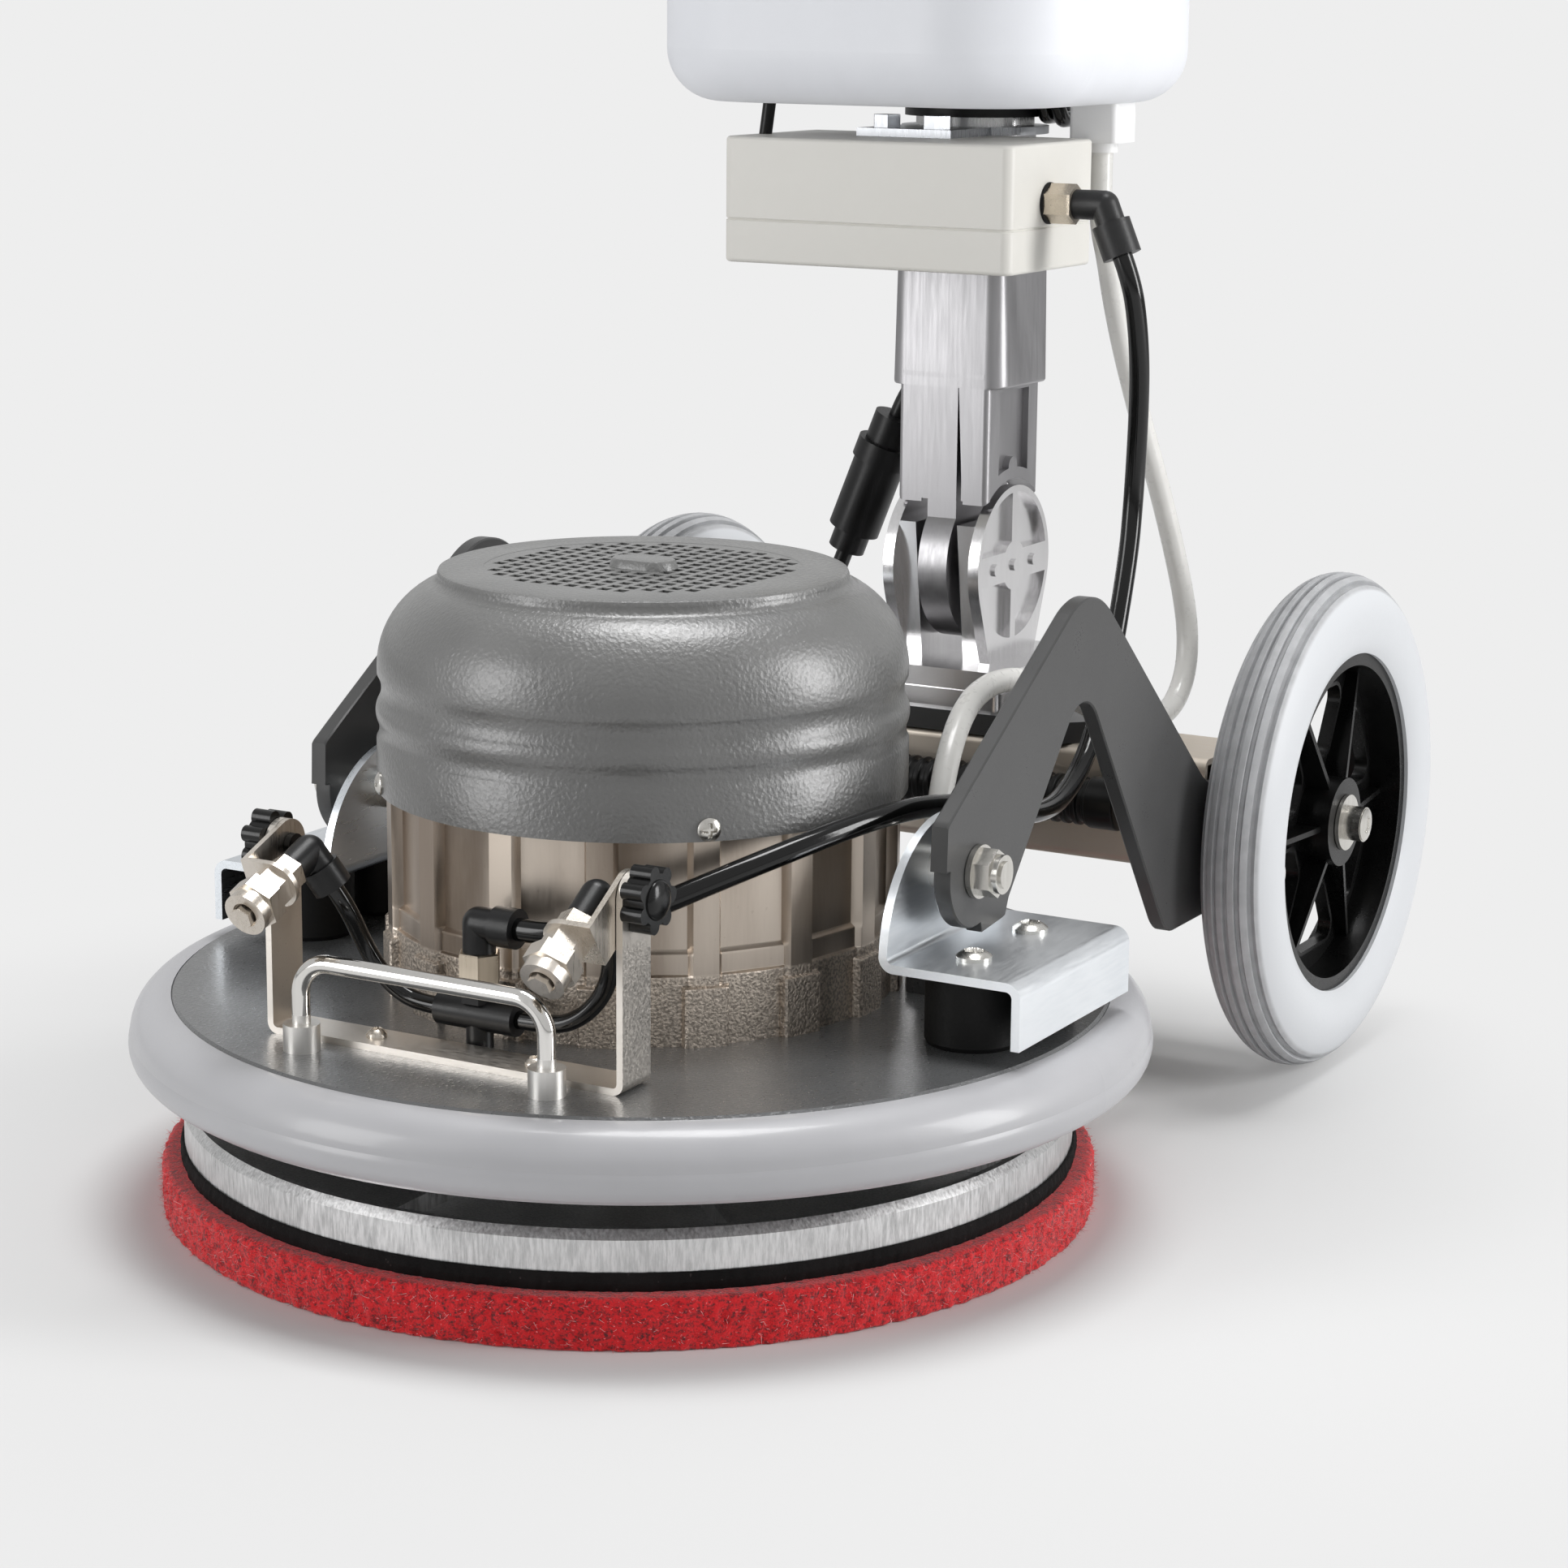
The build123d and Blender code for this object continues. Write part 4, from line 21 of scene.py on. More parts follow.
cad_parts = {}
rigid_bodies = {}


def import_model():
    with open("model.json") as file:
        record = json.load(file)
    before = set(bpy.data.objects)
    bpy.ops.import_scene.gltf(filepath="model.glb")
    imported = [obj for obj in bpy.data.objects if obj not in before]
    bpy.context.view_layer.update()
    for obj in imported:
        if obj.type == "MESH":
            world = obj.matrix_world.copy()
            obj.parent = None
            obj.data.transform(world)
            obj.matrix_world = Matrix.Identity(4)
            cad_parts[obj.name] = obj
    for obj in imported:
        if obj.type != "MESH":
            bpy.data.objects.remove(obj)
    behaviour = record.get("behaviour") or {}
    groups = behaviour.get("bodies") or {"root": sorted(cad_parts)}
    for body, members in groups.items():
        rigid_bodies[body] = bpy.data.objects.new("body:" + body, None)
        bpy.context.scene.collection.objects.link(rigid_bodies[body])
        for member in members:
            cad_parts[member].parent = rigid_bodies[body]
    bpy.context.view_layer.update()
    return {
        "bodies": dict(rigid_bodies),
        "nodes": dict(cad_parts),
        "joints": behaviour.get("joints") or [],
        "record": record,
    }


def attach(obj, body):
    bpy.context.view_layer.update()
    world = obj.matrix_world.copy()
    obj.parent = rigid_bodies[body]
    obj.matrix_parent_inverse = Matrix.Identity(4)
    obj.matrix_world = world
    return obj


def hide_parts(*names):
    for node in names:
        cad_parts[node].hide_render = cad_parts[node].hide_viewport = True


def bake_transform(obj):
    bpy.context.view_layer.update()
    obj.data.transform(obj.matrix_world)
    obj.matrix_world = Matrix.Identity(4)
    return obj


LOG = logging.getLogger("floor_machine")
MM = 0.001
TURN = 2.0 * math.pi
SIDES = (("left", -1.0), ("right", 1.0))
AXLE = (357.4, 128.5)
Array = np.ndarray
Pair = tuple[float, float]
Point = tuple[float, float, float]
Colour = tuple[float, float, float]


def tint(code: str) -> Colour:
    """Turn a display colour into linear light.

    Args:
        code: six hexadecimal digits, as on a colour card.

    Returns:
        Red, green and blue in linear light.
    """
    shown = np.array([int(code[i : i + 2], 16) for i in (0, 2, 4)]) / 255.0
    linear = np.where(shown <= 0.04045, shown / 12.92, ((shown + 0.055) / 1.055) ** 2.4)
    return tuple(float(channel) for channel in linear)


def shade(colour: Colour, factor: float) -> Colour:
    """Colour made darker or lighter by a factor, with no channel above 1."""
    return tuple(min(1.0, channel * factor) for channel in colour)


def unit(vectors: Sequence[float] | Array) -> Array:
    """Vectors of length one along the given ones, which lie on the last axis."""
    given = np.asarray(vectors, float)
    return given / np.linalg.norm(given, axis=-1, keepdims=True)


def ease(low: float, high: float, value: Array) -> Array:
    """Smooth step: 3t^2 - 2t^3 of how far value has gone from low, which gives 0, to high, which gives 1."""
    t = np.clip((np.asarray(value, float) - low) / (high - low), 0.0, 1.0)
    return t * t * (3.0 - 2.0 * t)


def round_turn(steps: int) -> Array:
    """Column of evenly spaced angles in one whole turn."""
    return np.linspace(0.0, TURN, steps, endpoint=False)[:, None]


def travelled(line: Array) -> Array:
    """Length gone along a line at each of its points."""
    return np.concatenate([[0.0], np.cumsum(np.linalg.norm(np.diff(line, axis=0), axis=1))])


def columns(*parts: float | Array) -> Array:
    """Points whose coordinates are the given parts, spread out to one shape."""
    return np.stack(np.broadcast_arrays(*parts), axis=-1)


# Surfaces

TUBE_SIDES = 20


@dataclass(frozen=True)
class AxisFrame:
    """A frame whose third direction is the axis of a turned or pressed form."""

    origin: Point = (0.0, 0.0, 0.0)
    axis: Point = (0.0, 0.0, 1.0)

    def directions(self) -> Array:
        """Work out the frame's directions.

        Returns:
            Three unit vectors as rows: two across the axis, then the axis.
        """
        along = unit(self.axis)
        helper = (0.0, 1.0, 0.0) if abs(along[1]) < 0.9 else (0.0, 0.0, 1.0)
        across = unit(np.cross(helper, along))
        return np.stack([across, np.cross(along, across), along])

    def place(self, local: Array) -> Array:
        """Carry points in millimetres of this frame to metres in the machine's frame."""
        return (np.asarray(self.origin, float) + local @ self.directions()) * MM


@dataclass
class Shell:
    """Corner points and four-sided faces of a surface, in metres once it is placed."""

    points: Array
    faces: Array

    @staticmethod
    def grid(points: Array, close_rows: bool = False, close_columns: bool = False) -> "Shell":
        """Join a grid of points into faces.

        Args:
            points: rows by columns by three.
            close_rows: whether the last row meets the first.
            close_columns: whether the last column meets the first.

        Returns:
            The surface with a face between each four neighbours.
        """
        rows, columns = points.shape[:2]
        index = np.arange(rows * columns).reshape(rows, columns)
        if close_rows:
            index = np.concatenate([index, index[:1]], axis=0)
        if close_columns:
            index = np.concatenate([index, index[:, :1]], axis=1)
        faces = np.stack([index[:-1, :-1], index[1:, :-1], index[1:, 1:], index[:-1, 1:]], axis=-1)
        return Shell(points.reshape(-1, 3), faces.reshape(-1, 4))

    @staticmethod
    def join(shells: Sequence["Shell"]) -> "Shell":
        """Put several surfaces into one.

        Args:
            shells: the surfaces.

        Returns:
            One surface that holds them all.
        """
        starts = np.cumsum([0] + [len(shell.points) for shell in shells[:-1]])
        points = np.concatenate([shell.points for shell in shells])
        faces = np.concatenate([shell.faces + start for shell, start in zip(shells, starts)])
        return Shell(points, faces)

    @staticmethod
    def copies(points: Array, faces: Array) -> "Shell":
        """Give each of many like sets of points the same faces.

        Args:
            points: sets by points by three.
            faces: faces of one set.

        Returns:
            One surface that holds them all.
        """
        count, size = points.shape[:2]
        starts = size * np.arange(count)[:, None, None]
        return Shell(points.reshape(-1, 3), (faces + starts).reshape(-1, 4))

    @staticmethod
    def capped(loops: Array) -> "Shell":
        """Join loops of points in metres into a body, each end drawn together at its mean point."""
        first, last = (np.broadcast_to(end.mean(axis=0), end.shape)[None] for end in (loops[0], loops[-1]))
        return Shell.grid(np.concatenate([first, loops, last]), close_columns=True)

    @staticmethod
    def spun(radius: Array, height: Array, frame: AxisFrame) -> "Shell":
        """Carry a profile round an axis: p(a, s) = r(a, s) (cos a, sin a) + h(a, s) along the axis.

        Args:
            radius: a row of radii for each step round the axis.
            height: heights along the axis, in one row for all steps or a row for each.
            frame: the axis.

        Returns:
            The surface, closed round the axis.
        """
        angle = round_turn(len(radius))
        local = columns(radius * np.cos(angle), radius * np.sin(angle), height)
        return Shell.grid(frame.place(local), close_rows=True)

    @staticmethod
    def turned(profile: Array | Sequence[Pair], frame: AxisFrame, segments: int) -> "Shell":
        """Turn one profile of (radius, height) points about an axis, in so many segments."""
        radius, height = np.asarray(profile, float).T
        return Shell.spun(np.tile(radius, (segments, 1)), height, frame)

    @staticmethod
    def tube(path: Array, radius: float) -> "Shell":
        """Carry a circle along a path: p(t, a) = c(t) + r (n(t) cos a + b(t) sin a), closed at both ends.

        Args:
            path: points in metres.
            radius: the circle's radius in metres.

        Returns:
            The tube's surface.
        """
        tangent = unit(np.gradient(path, axis=0))
        flat = np.linalg.svd(path - path.mean(axis=0))[2][-1]
        normal = unit(flat - (tangent @ flat)[:, None] * tangent)
        binormal = np.cross(tangent, normal)
        angle = round_turn(TUBE_SIDES)
        ring = normal[:, None] * np.cos(angle) + binormal[:, None] * np.sin(angle)
        return Shell.capped(path[:, None] + radius * ring)


def rounded(corners: Sequence[Point], steps: int = 8) -> Array:
    """Round the corners of a flat line with arcs.

    Args:
        corners: (x, y, radius) of each corner; the two ends take no radius.
        steps: points on each arc.

    Returns:
        Points along the rounded line.
    """
    line = [np.array([corners[0][:2]], float)]
    for before, corner, after in zip(corners, corners[1:], corners[2:]):
        here = np.array(corner[:2], float)
        if corner[2] <= 0:
            line.append(here[None])
            continue
        back, ahead = unit(np.subtract(before[:2], here)), unit(np.subtract(after[:2], here))
        half = math.acos(float(np.clip(back @ ahead, -1.0, 1.0))) / 2.0
        centre = here + unit(back + ahead) * (corner[2] / math.sin(half))
        start = here + back * (corner[2] / math.tan(half)) - centre
        end = here + ahead * (corner[2] / math.tan(half)) - centre
        sweep = math.atan2(start[0] * end[1] - start[1] * end[0], float(start @ end))
        angle = np.linspace(0.0, sweep, steps)[:, None]
        turned_start = np.array([-start[1], start[0]])
        line.append(centre + np.cos(angle) * start + np.sin(angle) * turned_start)
    line.append(np.array([corners[-1][:2]], float))
    return np.concatenate(line)


def arc_through(start: Sequence[float], middle: Sequence[float], end: Sequence[float], steps: int) -> Array:
    """Points of the circle through three points, from the first to the last.

    Args:
        start: first point.
        middle: a point on the arc.
        end: last point.
        steps: how many points.

    Returns:
        Points along the arc.
    """
    a, b, c = (np.asarray(point, float) for point in (start, middle, end))
    matrix = 2.0 * np.stack([b - a, c - a])
    centre = np.linalg.solve(matrix, np.array([b @ b - a @ a, c @ c - a @ a]))
    spokes = [point - centre for point in (a, b, c)]
    angles = np.unwrap([math.atan2(spoke[1], spoke[0]) for spoke in spokes])
    angle = np.linspace(angles[0], angles[2], steps)
    return centre + np.linalg.norm(spokes[0]) * columns(np.cos(angle), np.sin(angle))


# Shaders

# Scale that leaves coordinates as they are
EVEN: Point = (1.0, 1.0, 1.0)


class Signal:
    """A value in a shader graph; arithmetic on it adds Math nodes."""

    def __init__(self, graph: "ShaderGraph", socket: bpy.types.NodeSocket) -> None:
        """Wrap a socket of a graph."""
        self.graph = graph
        self.socket = socket

    def _math(self, operation: str, first: Any, second: Any) -> "Signal":
        """Math node of one operation on two values."""
        return self.graph.node("ShaderNodeMath", {"operation": operation}, {0: first, 1: second})

    def __add__(self, other: Any) -> "Signal":
        """Sum."""
        return self._math("ADD", self, other)

    def __sub__(self, other: Any) -> "Signal":
        """Difference."""
        return self._math("SUBTRACT", self, other)

    def __rsub__(self, other: Any) -> "Signal":
        """Difference from a number."""
        return self._math("SUBTRACT", other, self)

    def __mul__(self, other: Any) -> "Signal":
        """Product."""
        return self._math("MULTIPLY", self, other)

    def step(self, low: float, high: float, to_low: float = 0.0, to_high: float = 1.0) -> "Signal":
        """Smooth step between two values.

        Args:
            low: value that gives to_low.
            high: value that gives to_high.
            to_low: result at low.
            to_high: result at high.

        Returns:
            The stepped value.
        """
        settings = {"interpolation_type": "SMOOTHSTEP"}
        inputs = {"Value": self, "From Min": low, "From Max": high, "To Min": to_low, "To Max": to_high}
        return self.graph.node("ShaderNodeMapRange", settings, inputs)

    def below(self, height: float, blur: float) -> "Signal":
        """1 below a height and 0 above it, with a soft edge; both are in millimetres."""
        return self.step((height + blur) * MM, (height - blur) * MM)


class ShaderGraph:
    """The nodes of one material, or of the world."""

    def __init__(self, tree: bpy.types.NodeTree, output: str = "ShaderNodeOutputMaterial") -> None:
        """Start from an empty tree with its output node.

        Args:
            tree: the node tree of a material or of the world.
            output: type of its output node.
        """
        self.tree = tree
        tree.nodes.clear()
        self.output = tree.nodes.new(output)

    def node(
        self,
        kind: str,
        settings: dict[str, Any] | None = None,
        inputs: dict[str | int, Any] | None = None,
        result: str | int = 0,
    ) -> Signal:
        """Add a node.

        Args:
            kind: the node's type.
            settings: its own properties, set first.
            inputs: values or signals for its sockets, by name or place.
            result: the output to return.

        Returns:
            The node's output.
        """
        made = self.tree.nodes.new(kind)
        for key, value in (settings or {}).items():
            setattr(made, key, value)
        for key, value in (inputs or {}).items():
            socket = made.inputs[key]
            if isinstance(value, Signal):
                self.tree.links.new(value.socket, socket)
            elif socket.type == "RGBA":
                socket.default_value = (*value, 1.0)
            else:
                socket.default_value = value
        return Signal(self, made.outputs[result])

    def place(self, stretch: Point = EVEN) -> Signal:
        """Object coordinates, stretched.

        Args:
            stretch: scale along each axis.

        Returns:
            The coordinates.
        """
        spot = self.node("ShaderNodeTexCoord", result="Object")
        if stretch == EVEN:
            return spot
        return self.node("ShaderNodeMapping", inputs={"Vector": spot, "Scale": stretch})

    def noise(self, grain: float, detail: float, stretch: Point = EVEN, rough: float = 0.5) -> Signal:
        """Cloudy noise from 0 to 1.

        Args:
            grain: size of its spots in millimetres.
            detail: octaves.
            stretch: scale along each axis, under 1 to lengthen the spots.
            rough: weight of the finer octaves.

        Returns:
            The noise.
        """
        place, scale = self.place(stretch), 1.0 / MM / grain
        inputs = {"Vector": place, "Scale": scale, "Detail": detail, "Roughness": rough}
        return self.node("ShaderNodeTexNoise", inputs=inputs)

    def cells(self, grain: float) -> Signal:
        """Smooth distance to the nearest of many scattered points, spaced by the grain in millimetres."""
        inputs = {"Vector": self.place(), "Scale": 1.0 / MM / grain}
        return self.node("ShaderNodeTexVoronoi", {"feature": "SMOOTH_F1"}, inputs, "Distance")

    def along(self, axis: str) -> Signal:
        """One of the object coordinates, in metres."""
        return self.node("ShaderNodeSeparateXYZ", inputs={0: self.place()}, result=axis)

    def mix(self, share: Any, first: Any, second: Any) -> Signal:
        """Mix two colours or colour signals; the share is the weight of the second."""
        return self.node("ShaderNodeMix", {"data_type": "RGBA"}, {0: share, 6: first, 7: second}, 2)

    def tones(self, share: Signal, colour: Colour, low: float, high: float = 1.0) -> Signal:
        """Mix a low and a high tone of one colour; the share is the weight of the high one."""
        return self.mix(share, shade(colour, low), shade(colour, high))

    def bump(self, height: Signal, depth: float, normal: Signal | None = None) -> Signal:
        """Relief from a height.

        Args:
            height: height from 0 to 1.
            depth: millimetres that a height of 1 stands for.
            normal: relief under this one.

        Returns:
            The bumped normal.
        """
        inputs: dict[str | int, Any] = {"Height": height, "Distance": depth * MM, "Strength": 1.0}
        if normal is not None:
            inputs["Normal"] = normal
        return self.node("ShaderNodeBump", inputs=inputs)

    def show(self, shader: Signal) -> None:
        """Link a shader to the output."""
        self.tree.links.new(shader.socket, self.output.inputs["Surface"])

    def surface(self, **sockets: Any) -> None:
        """Finish the material with a principled shader.

        Args:
            sockets: values or signals, named like the shader's sockets with underscores for spaces.
        """
        inputs = {name.replace("_", " "): value for name, value in sockets.items()}
        self.show(self.node("ShaderNodeBsdfPrincipled", inputs=inputs))


# Finishes

# Most values of a noise lie between these
MIDDLE: Pair = (0.3, 0.7)


@dataclass(frozen=True)
class Finish:
    """A surface finish, which writes its own material."""

    name: str
    colour: Colour

    def material(self) -> bpy.types.Material:
        """Make the material at its first use.

        Returns:
            The material, which all wearers share.
        """
        name = f"{self.name}_finish"
        made = bpy.data.materials.get(name)
        if made is None:
            made = bpy.data.materials.new(name)
            made.use_nodes = True
            self.paint(ShaderGraph(made.node_tree))
        return made

    def paint(self, graph: ShaderGraph) -> None:
        """Write the shader into an empty graph."""
        raise NotImplementedError


@dataclass(frozen=True)
class TexturedPaint(Finish):
    """Baked paint with a leathery grain of small soft cells."""

    grain: float = 2.6
    depth: float = 0.16
    roughness: float = 0.36
    wear: float = 0.12
    gloss: float = 0.4
    gloss_roughness: float = 0.22
    shine: float = 0.8
    cloud: float = 60.0

    def paint(self, graph: ShaderGraph) -> None:
        """Cells and noise make the grain; a slow cloud varies the tone.

        Args:
            graph: the material's empty graph.
        """
        pebble = graph.cells(self.grain) * 0.6 + graph.noise(self.grain * 0.8, 3.0) * 0.8
        cloud = graph.noise(self.cloud, 2.0).step(*MIDDLE)
        graph.surface(
            Base_Color=graph.tones(cloud, self.colour, 1.0 - self.wear, 1.0 + self.wear),
            Roughness=pebble.step(0.4, 1.0, self.roughness + 0.08, self.roughness - 0.05),
            Specular_IOR_Level=self.shine,
            Coat_Weight=self.gloss,
            Coat_Roughness=self.gloss_roughness,
            Normal=graph.bump(pebble, self.depth),
        )


@dataclass(frozen=True)
class CastMetal(Finish):
    """Raw cast metal with drawn streaks, partly stain and partly painted reflection, and a sandy skin below a
    given height.
    """

    stain_and_reflection_tone: Colour = (0.1, 0.085, 0.07)
    roughness: float = 0.3
    sandy_below: float = 0.0
    streak: Point = (1.0, 1.0, 0.12)
    sheen: float = 34.0
    sand: float = 1.3
    pit: float = 3.4

    def paint(self, graph: ShaderGraph) -> None:
        """Long noise paints the streaks, partly stain and partly painted reflection; specks make the pits,
        and the height decides how sandy it is.

        Args:
            graph: the material's empty graph.
        """
        broad = graph.noise(self.sheen, 2.0, self.streak)
        fine = graph.noise(1.5, 3.0, self.streak)
        sand = graph.noise(self.sand, 2.0)
        pits = graph.noise(self.pit, 3.0).step(0.7, 0.76)
        low = graph.along("Z").below(self.sandy_below, 1.0)
        # Streaks partly of stain and partly of painted reflection: darker vertical bands stand in for
        # reflections on the panels.
        stain_and_reflection_streaks = (broad * 0.92 + fine * 0.08).step(0.34, 0.68)
        drawn = graph.mix(pits * 0.3, graph.mix(stain_and_reflection_streaks, self.stain_and_reflection_tone, self.colour), self.stain_and_reflection_tone)
        gritty = graph.tones(sand.step(0.36, 0.64), self.colour, 0.6, 1.25)
        graph.surface(
            Base_Color=graph.mix(low * 0.85, drawn, gritty),
            Metallic=1.0,
            Roughness=fine.step(*MIDDLE, self.roughness - 0.02, self.roughness + 0.02) + low * 0.1,
            Normal=graph.bump(fine * 0.0015 * (1.0 - low) + sand * low * 1.5, 0.3),
        )


@dataclass(frozen=True)
class DrawnMetal(Finish):
    """Metal with fine marks drawn out along one direction."""

    stretch: Point = (1.0, 1.0, 0.08)
    roughness: float = 0.28
    contrast: float = 0.3
    mark: float = 1.4
    depth: float = 0.012
    cloud: float = 45.0

    def paint(self, graph: ShaderGraph) -> None:
        """Stretched noise makes the marks, and a slow cloud the haze.

        Args:
            graph: the material's empty graph.
        """
        marks = graph.noise(self.mark, 3.0, self.stretch, 0.65)
        haze = graph.noise(self.cloud, 2.0)
        graph.surface(
            Base_Color=graph.tones(
                (marks * 0.7 + haze * 0.3).step(0.32, 0.68), self.colour, 1.0 - self.contrast
            ),
            Metallic=1.0,
            Roughness=marks.step(0.25, 0.75, self.roughness - 0.07, self.roughness + 0.12),
            Normal=graph.bump(marks, self.depth),
        )


@dataclass(frozen=True)
class PolishedMetal(Finish):
    """Polished or plated metal with a slight waviness, rubbed patches and fine scratches."""

    roughness: float = 0.12
    wave: float = 30.0
    wave_depth: float = 0.1
    haze: Colour = (0.6, 0.6, 0.62)
    scratch: Point = (1.0, 1.0, 0.06)
    satin_below: float = 0.0
    scratch_depth: float = 0.001
    rub: Point = (1.0, 1.0, 0.4)

    def paint(self, graph: ShaderGraph) -> None:
        """Slow waves bend the reflections, long noise scratches them and a cloud dulls them in patches.

        Args:
            graph: the material's empty graph.
        """
        slow = graph.noise(self.wave, 1.0)
        fine = graph.noise(1.6, 3.0, self.scratch, 0.6)
        patch = graph.noise(self.wave * 2.0, 2.0, self.rub)
        rough = (fine * 0.5 + patch * 0.5).step(0.35, 0.7, self.roughness * 0.85, self.roughness * 1.2)
        if self.satin_below:
            rough = rough + graph.along("Z").below(self.satin_below, 0.1) * 0.3
        graph.surface(
            Base_Color=graph.mix((patch * 0.7 + fine * 0.3).step(0.36, 0.66), self.haze, self.colour),
            Metallic=1.0,
            Roughness=rough,
            Normal=graph.bump(slow, self.wave_depth, graph.bump(fine, self.scratch_depth)),
        )


@dataclass(frozen=True)
class Moulded(Finish):
    """Moulded plastic or rubber with a fine skin and a faint mottle."""

    roughness: float = 0.45
    grain: float = 0.8
    depth: float = 0.02
    mottle: float = 0.06
    coat: float = 0.0
    dust: Colour | None = None
    shine: float = 0.5
    cloud: float = 28.0

    def paint(self, graph: ShaderGraph) -> None:
        """Fine noise makes the skin, a slow cloud the mottle, and specks of dust may lie on it.

        Args:
            graph: the material's empty graph.
        """
        skin = graph.noise(self.grain, 2.0)
        cloud = graph.noise(self.cloud, 3.0)
        colour = graph.tones(cloud.step(0.32, 0.68), self.colour, 1.0 - self.mottle, 1.0 + self.mottle)
        if self.dust is not None:
            specks = graph.noise(2.4, 4.0).step(0.68, 0.76) * 0.5
            colour = graph.mix(specks, colour, self.dust)
        worn = (skin * 0.5 + cloud * 0.5).step(*MIDDLE, self.roughness - 0.05, self.roughness + 0.07)
        graph.surface(
            Base_Color=colour,
            Roughness=worn,
            Specular_IOR_Level=self.shine,
            Coat_Weight=self.coat,
            Coat_Roughness=0.12,
            Normal=graph.bump(skin, self.depth),
        )


@dataclass(frozen=True)
class TyreRubber(Finish):
    """Pale tyre rubber with a greyer tread."""

    tread: Colour = (0.3, 0.3, 0.3)
    tread_span: Pair = (119.8, 121.8)
    axle: Pair = AXLE

    def paint(self, graph: ShaderGraph) -> None:
        """The squared distance from the axle parts tread from sidewall; fine noise dulls both.

        Args:
            graph: the material's empty graph.
        """
        across, rise = (graph.along(axis) - at * MM for axis, at in zip("YZ", self.axle))
        worn = (across * across + rise * rise).step(*((edge * MM) ** 2 for edge in self.tread_span))
        skin = graph.noise(1.1, 2.0)
        rub = graph.noise(9.0, 4.0).step(*MIDDLE)
        graph.surface(
            Base_Color=graph.mix(worn, self.colour, graph.tones(rub, self.tread, 1.0, 1.16)),
            Roughness=skin.step(*MIDDLE, 0.42, 0.52) + worn * 0.06,
            Normal=graph.bump(skin, 0.015),
        )


@dataclass(frozen=True)
class BandedFitting(Finish):
    """Black push-in fitting whose hexagon, between two places along an axis, is plated metal."""

    metal: Colour = (0.6, 0.5, 0.4)
    axis: str = "Z"
    band: Pair = (0.0, 1.0)
    blur: float = 0.02

    def paint(self, graph: ShaderGraph) -> None:
        """The band's two ends switch between black moulding and metal, each with its own fine grain.

        Args:
            graph: the material's empty graph.
        """
        place = graph.along(self.axis)
        start, end = self.band
        inside = (1.0 - place.below(start, self.blur)) * place.below(end, self.blur)
        skin = graph.noise(0.8, 2.0)
        rub = graph.noise(5.0, 3.0).step(0.35, 0.65)
        black, metal = graph.tones(rub, self.colour, 0.8), graph.tones(rub, self.metal, 0.92)
        graph.surface(
            Base_Color=graph.mix(inside, black, metal),
            Metallic=inside,
            Roughness=skin.step(*MIDDLE, 0.36, 0.46) - inside * 0.18,
            Normal=graph.bump(skin, 0.03),
        )


@dataclass(frozen=True)
class MilkyTube(Finish):
    """Clear hose clouded to milk."""

    roughness: float = 0.32

    def paint(self, graph: ShaderGraph) -> None:
        """A slow cloud varies the milk, under a wet gloss."""
        graph.surface(
            Base_Color=graph.tones(graph.noise(20.0, 2.0).step(*MIDDLE), self.colour, 0.93),
            Roughness=graph.noise(4.0, 2.0).step(*MIDDLE, self.roughness - 0.06, self.roughness + 0.08),
            Coat_Weight=0.4,
            Coat_Roughness=0.1,
        )


@dataclass(frozen=True)
class PadFibre(Finish):
    """Non-woven scouring fibre with painted shade in its pits and pale broken ends."""

    # Painted shade: the dark colour of the hollows between the fibres.
    pit: Colour = (0.09, 0.003, 0.006)
    fleck: Colour = (0.8, 0.4, 0.42)

    def paint(self, graph: ShaderGraph) -> None:
        """Three sizes of noise make the mat, the painted shade in its pits and its flecks.

        Args:
            graph: the material's empty graph.
        """
        mat = graph.noise(3.2, 5.0, (1.0, 1.0, 1.6), 0.7)
        strands = graph.noise(1.1, 3.0)
        flecks = graph.noise(1.5, 2.0, (1.0, 1.0, 2.2)).step(0.66, 0.72) * strands.step(0.5, 0.6)
        weave = mat * 0.6 + strands * 0.4
        # Painted shade darkens the hollows of the mat.
        fibre = graph.mix(weave.step(0.36, 0.56), self.pit, self.colour)
        graph.surface(
            Base_Color=graph.mix(flecks * 0.85, fibre, self.fleck),
            Roughness=0.82,
            Sheen_Weight=0.25,
            Sheen_Roughness=0.5,
            Normal=graph.bump(weave, 1.2),
        )


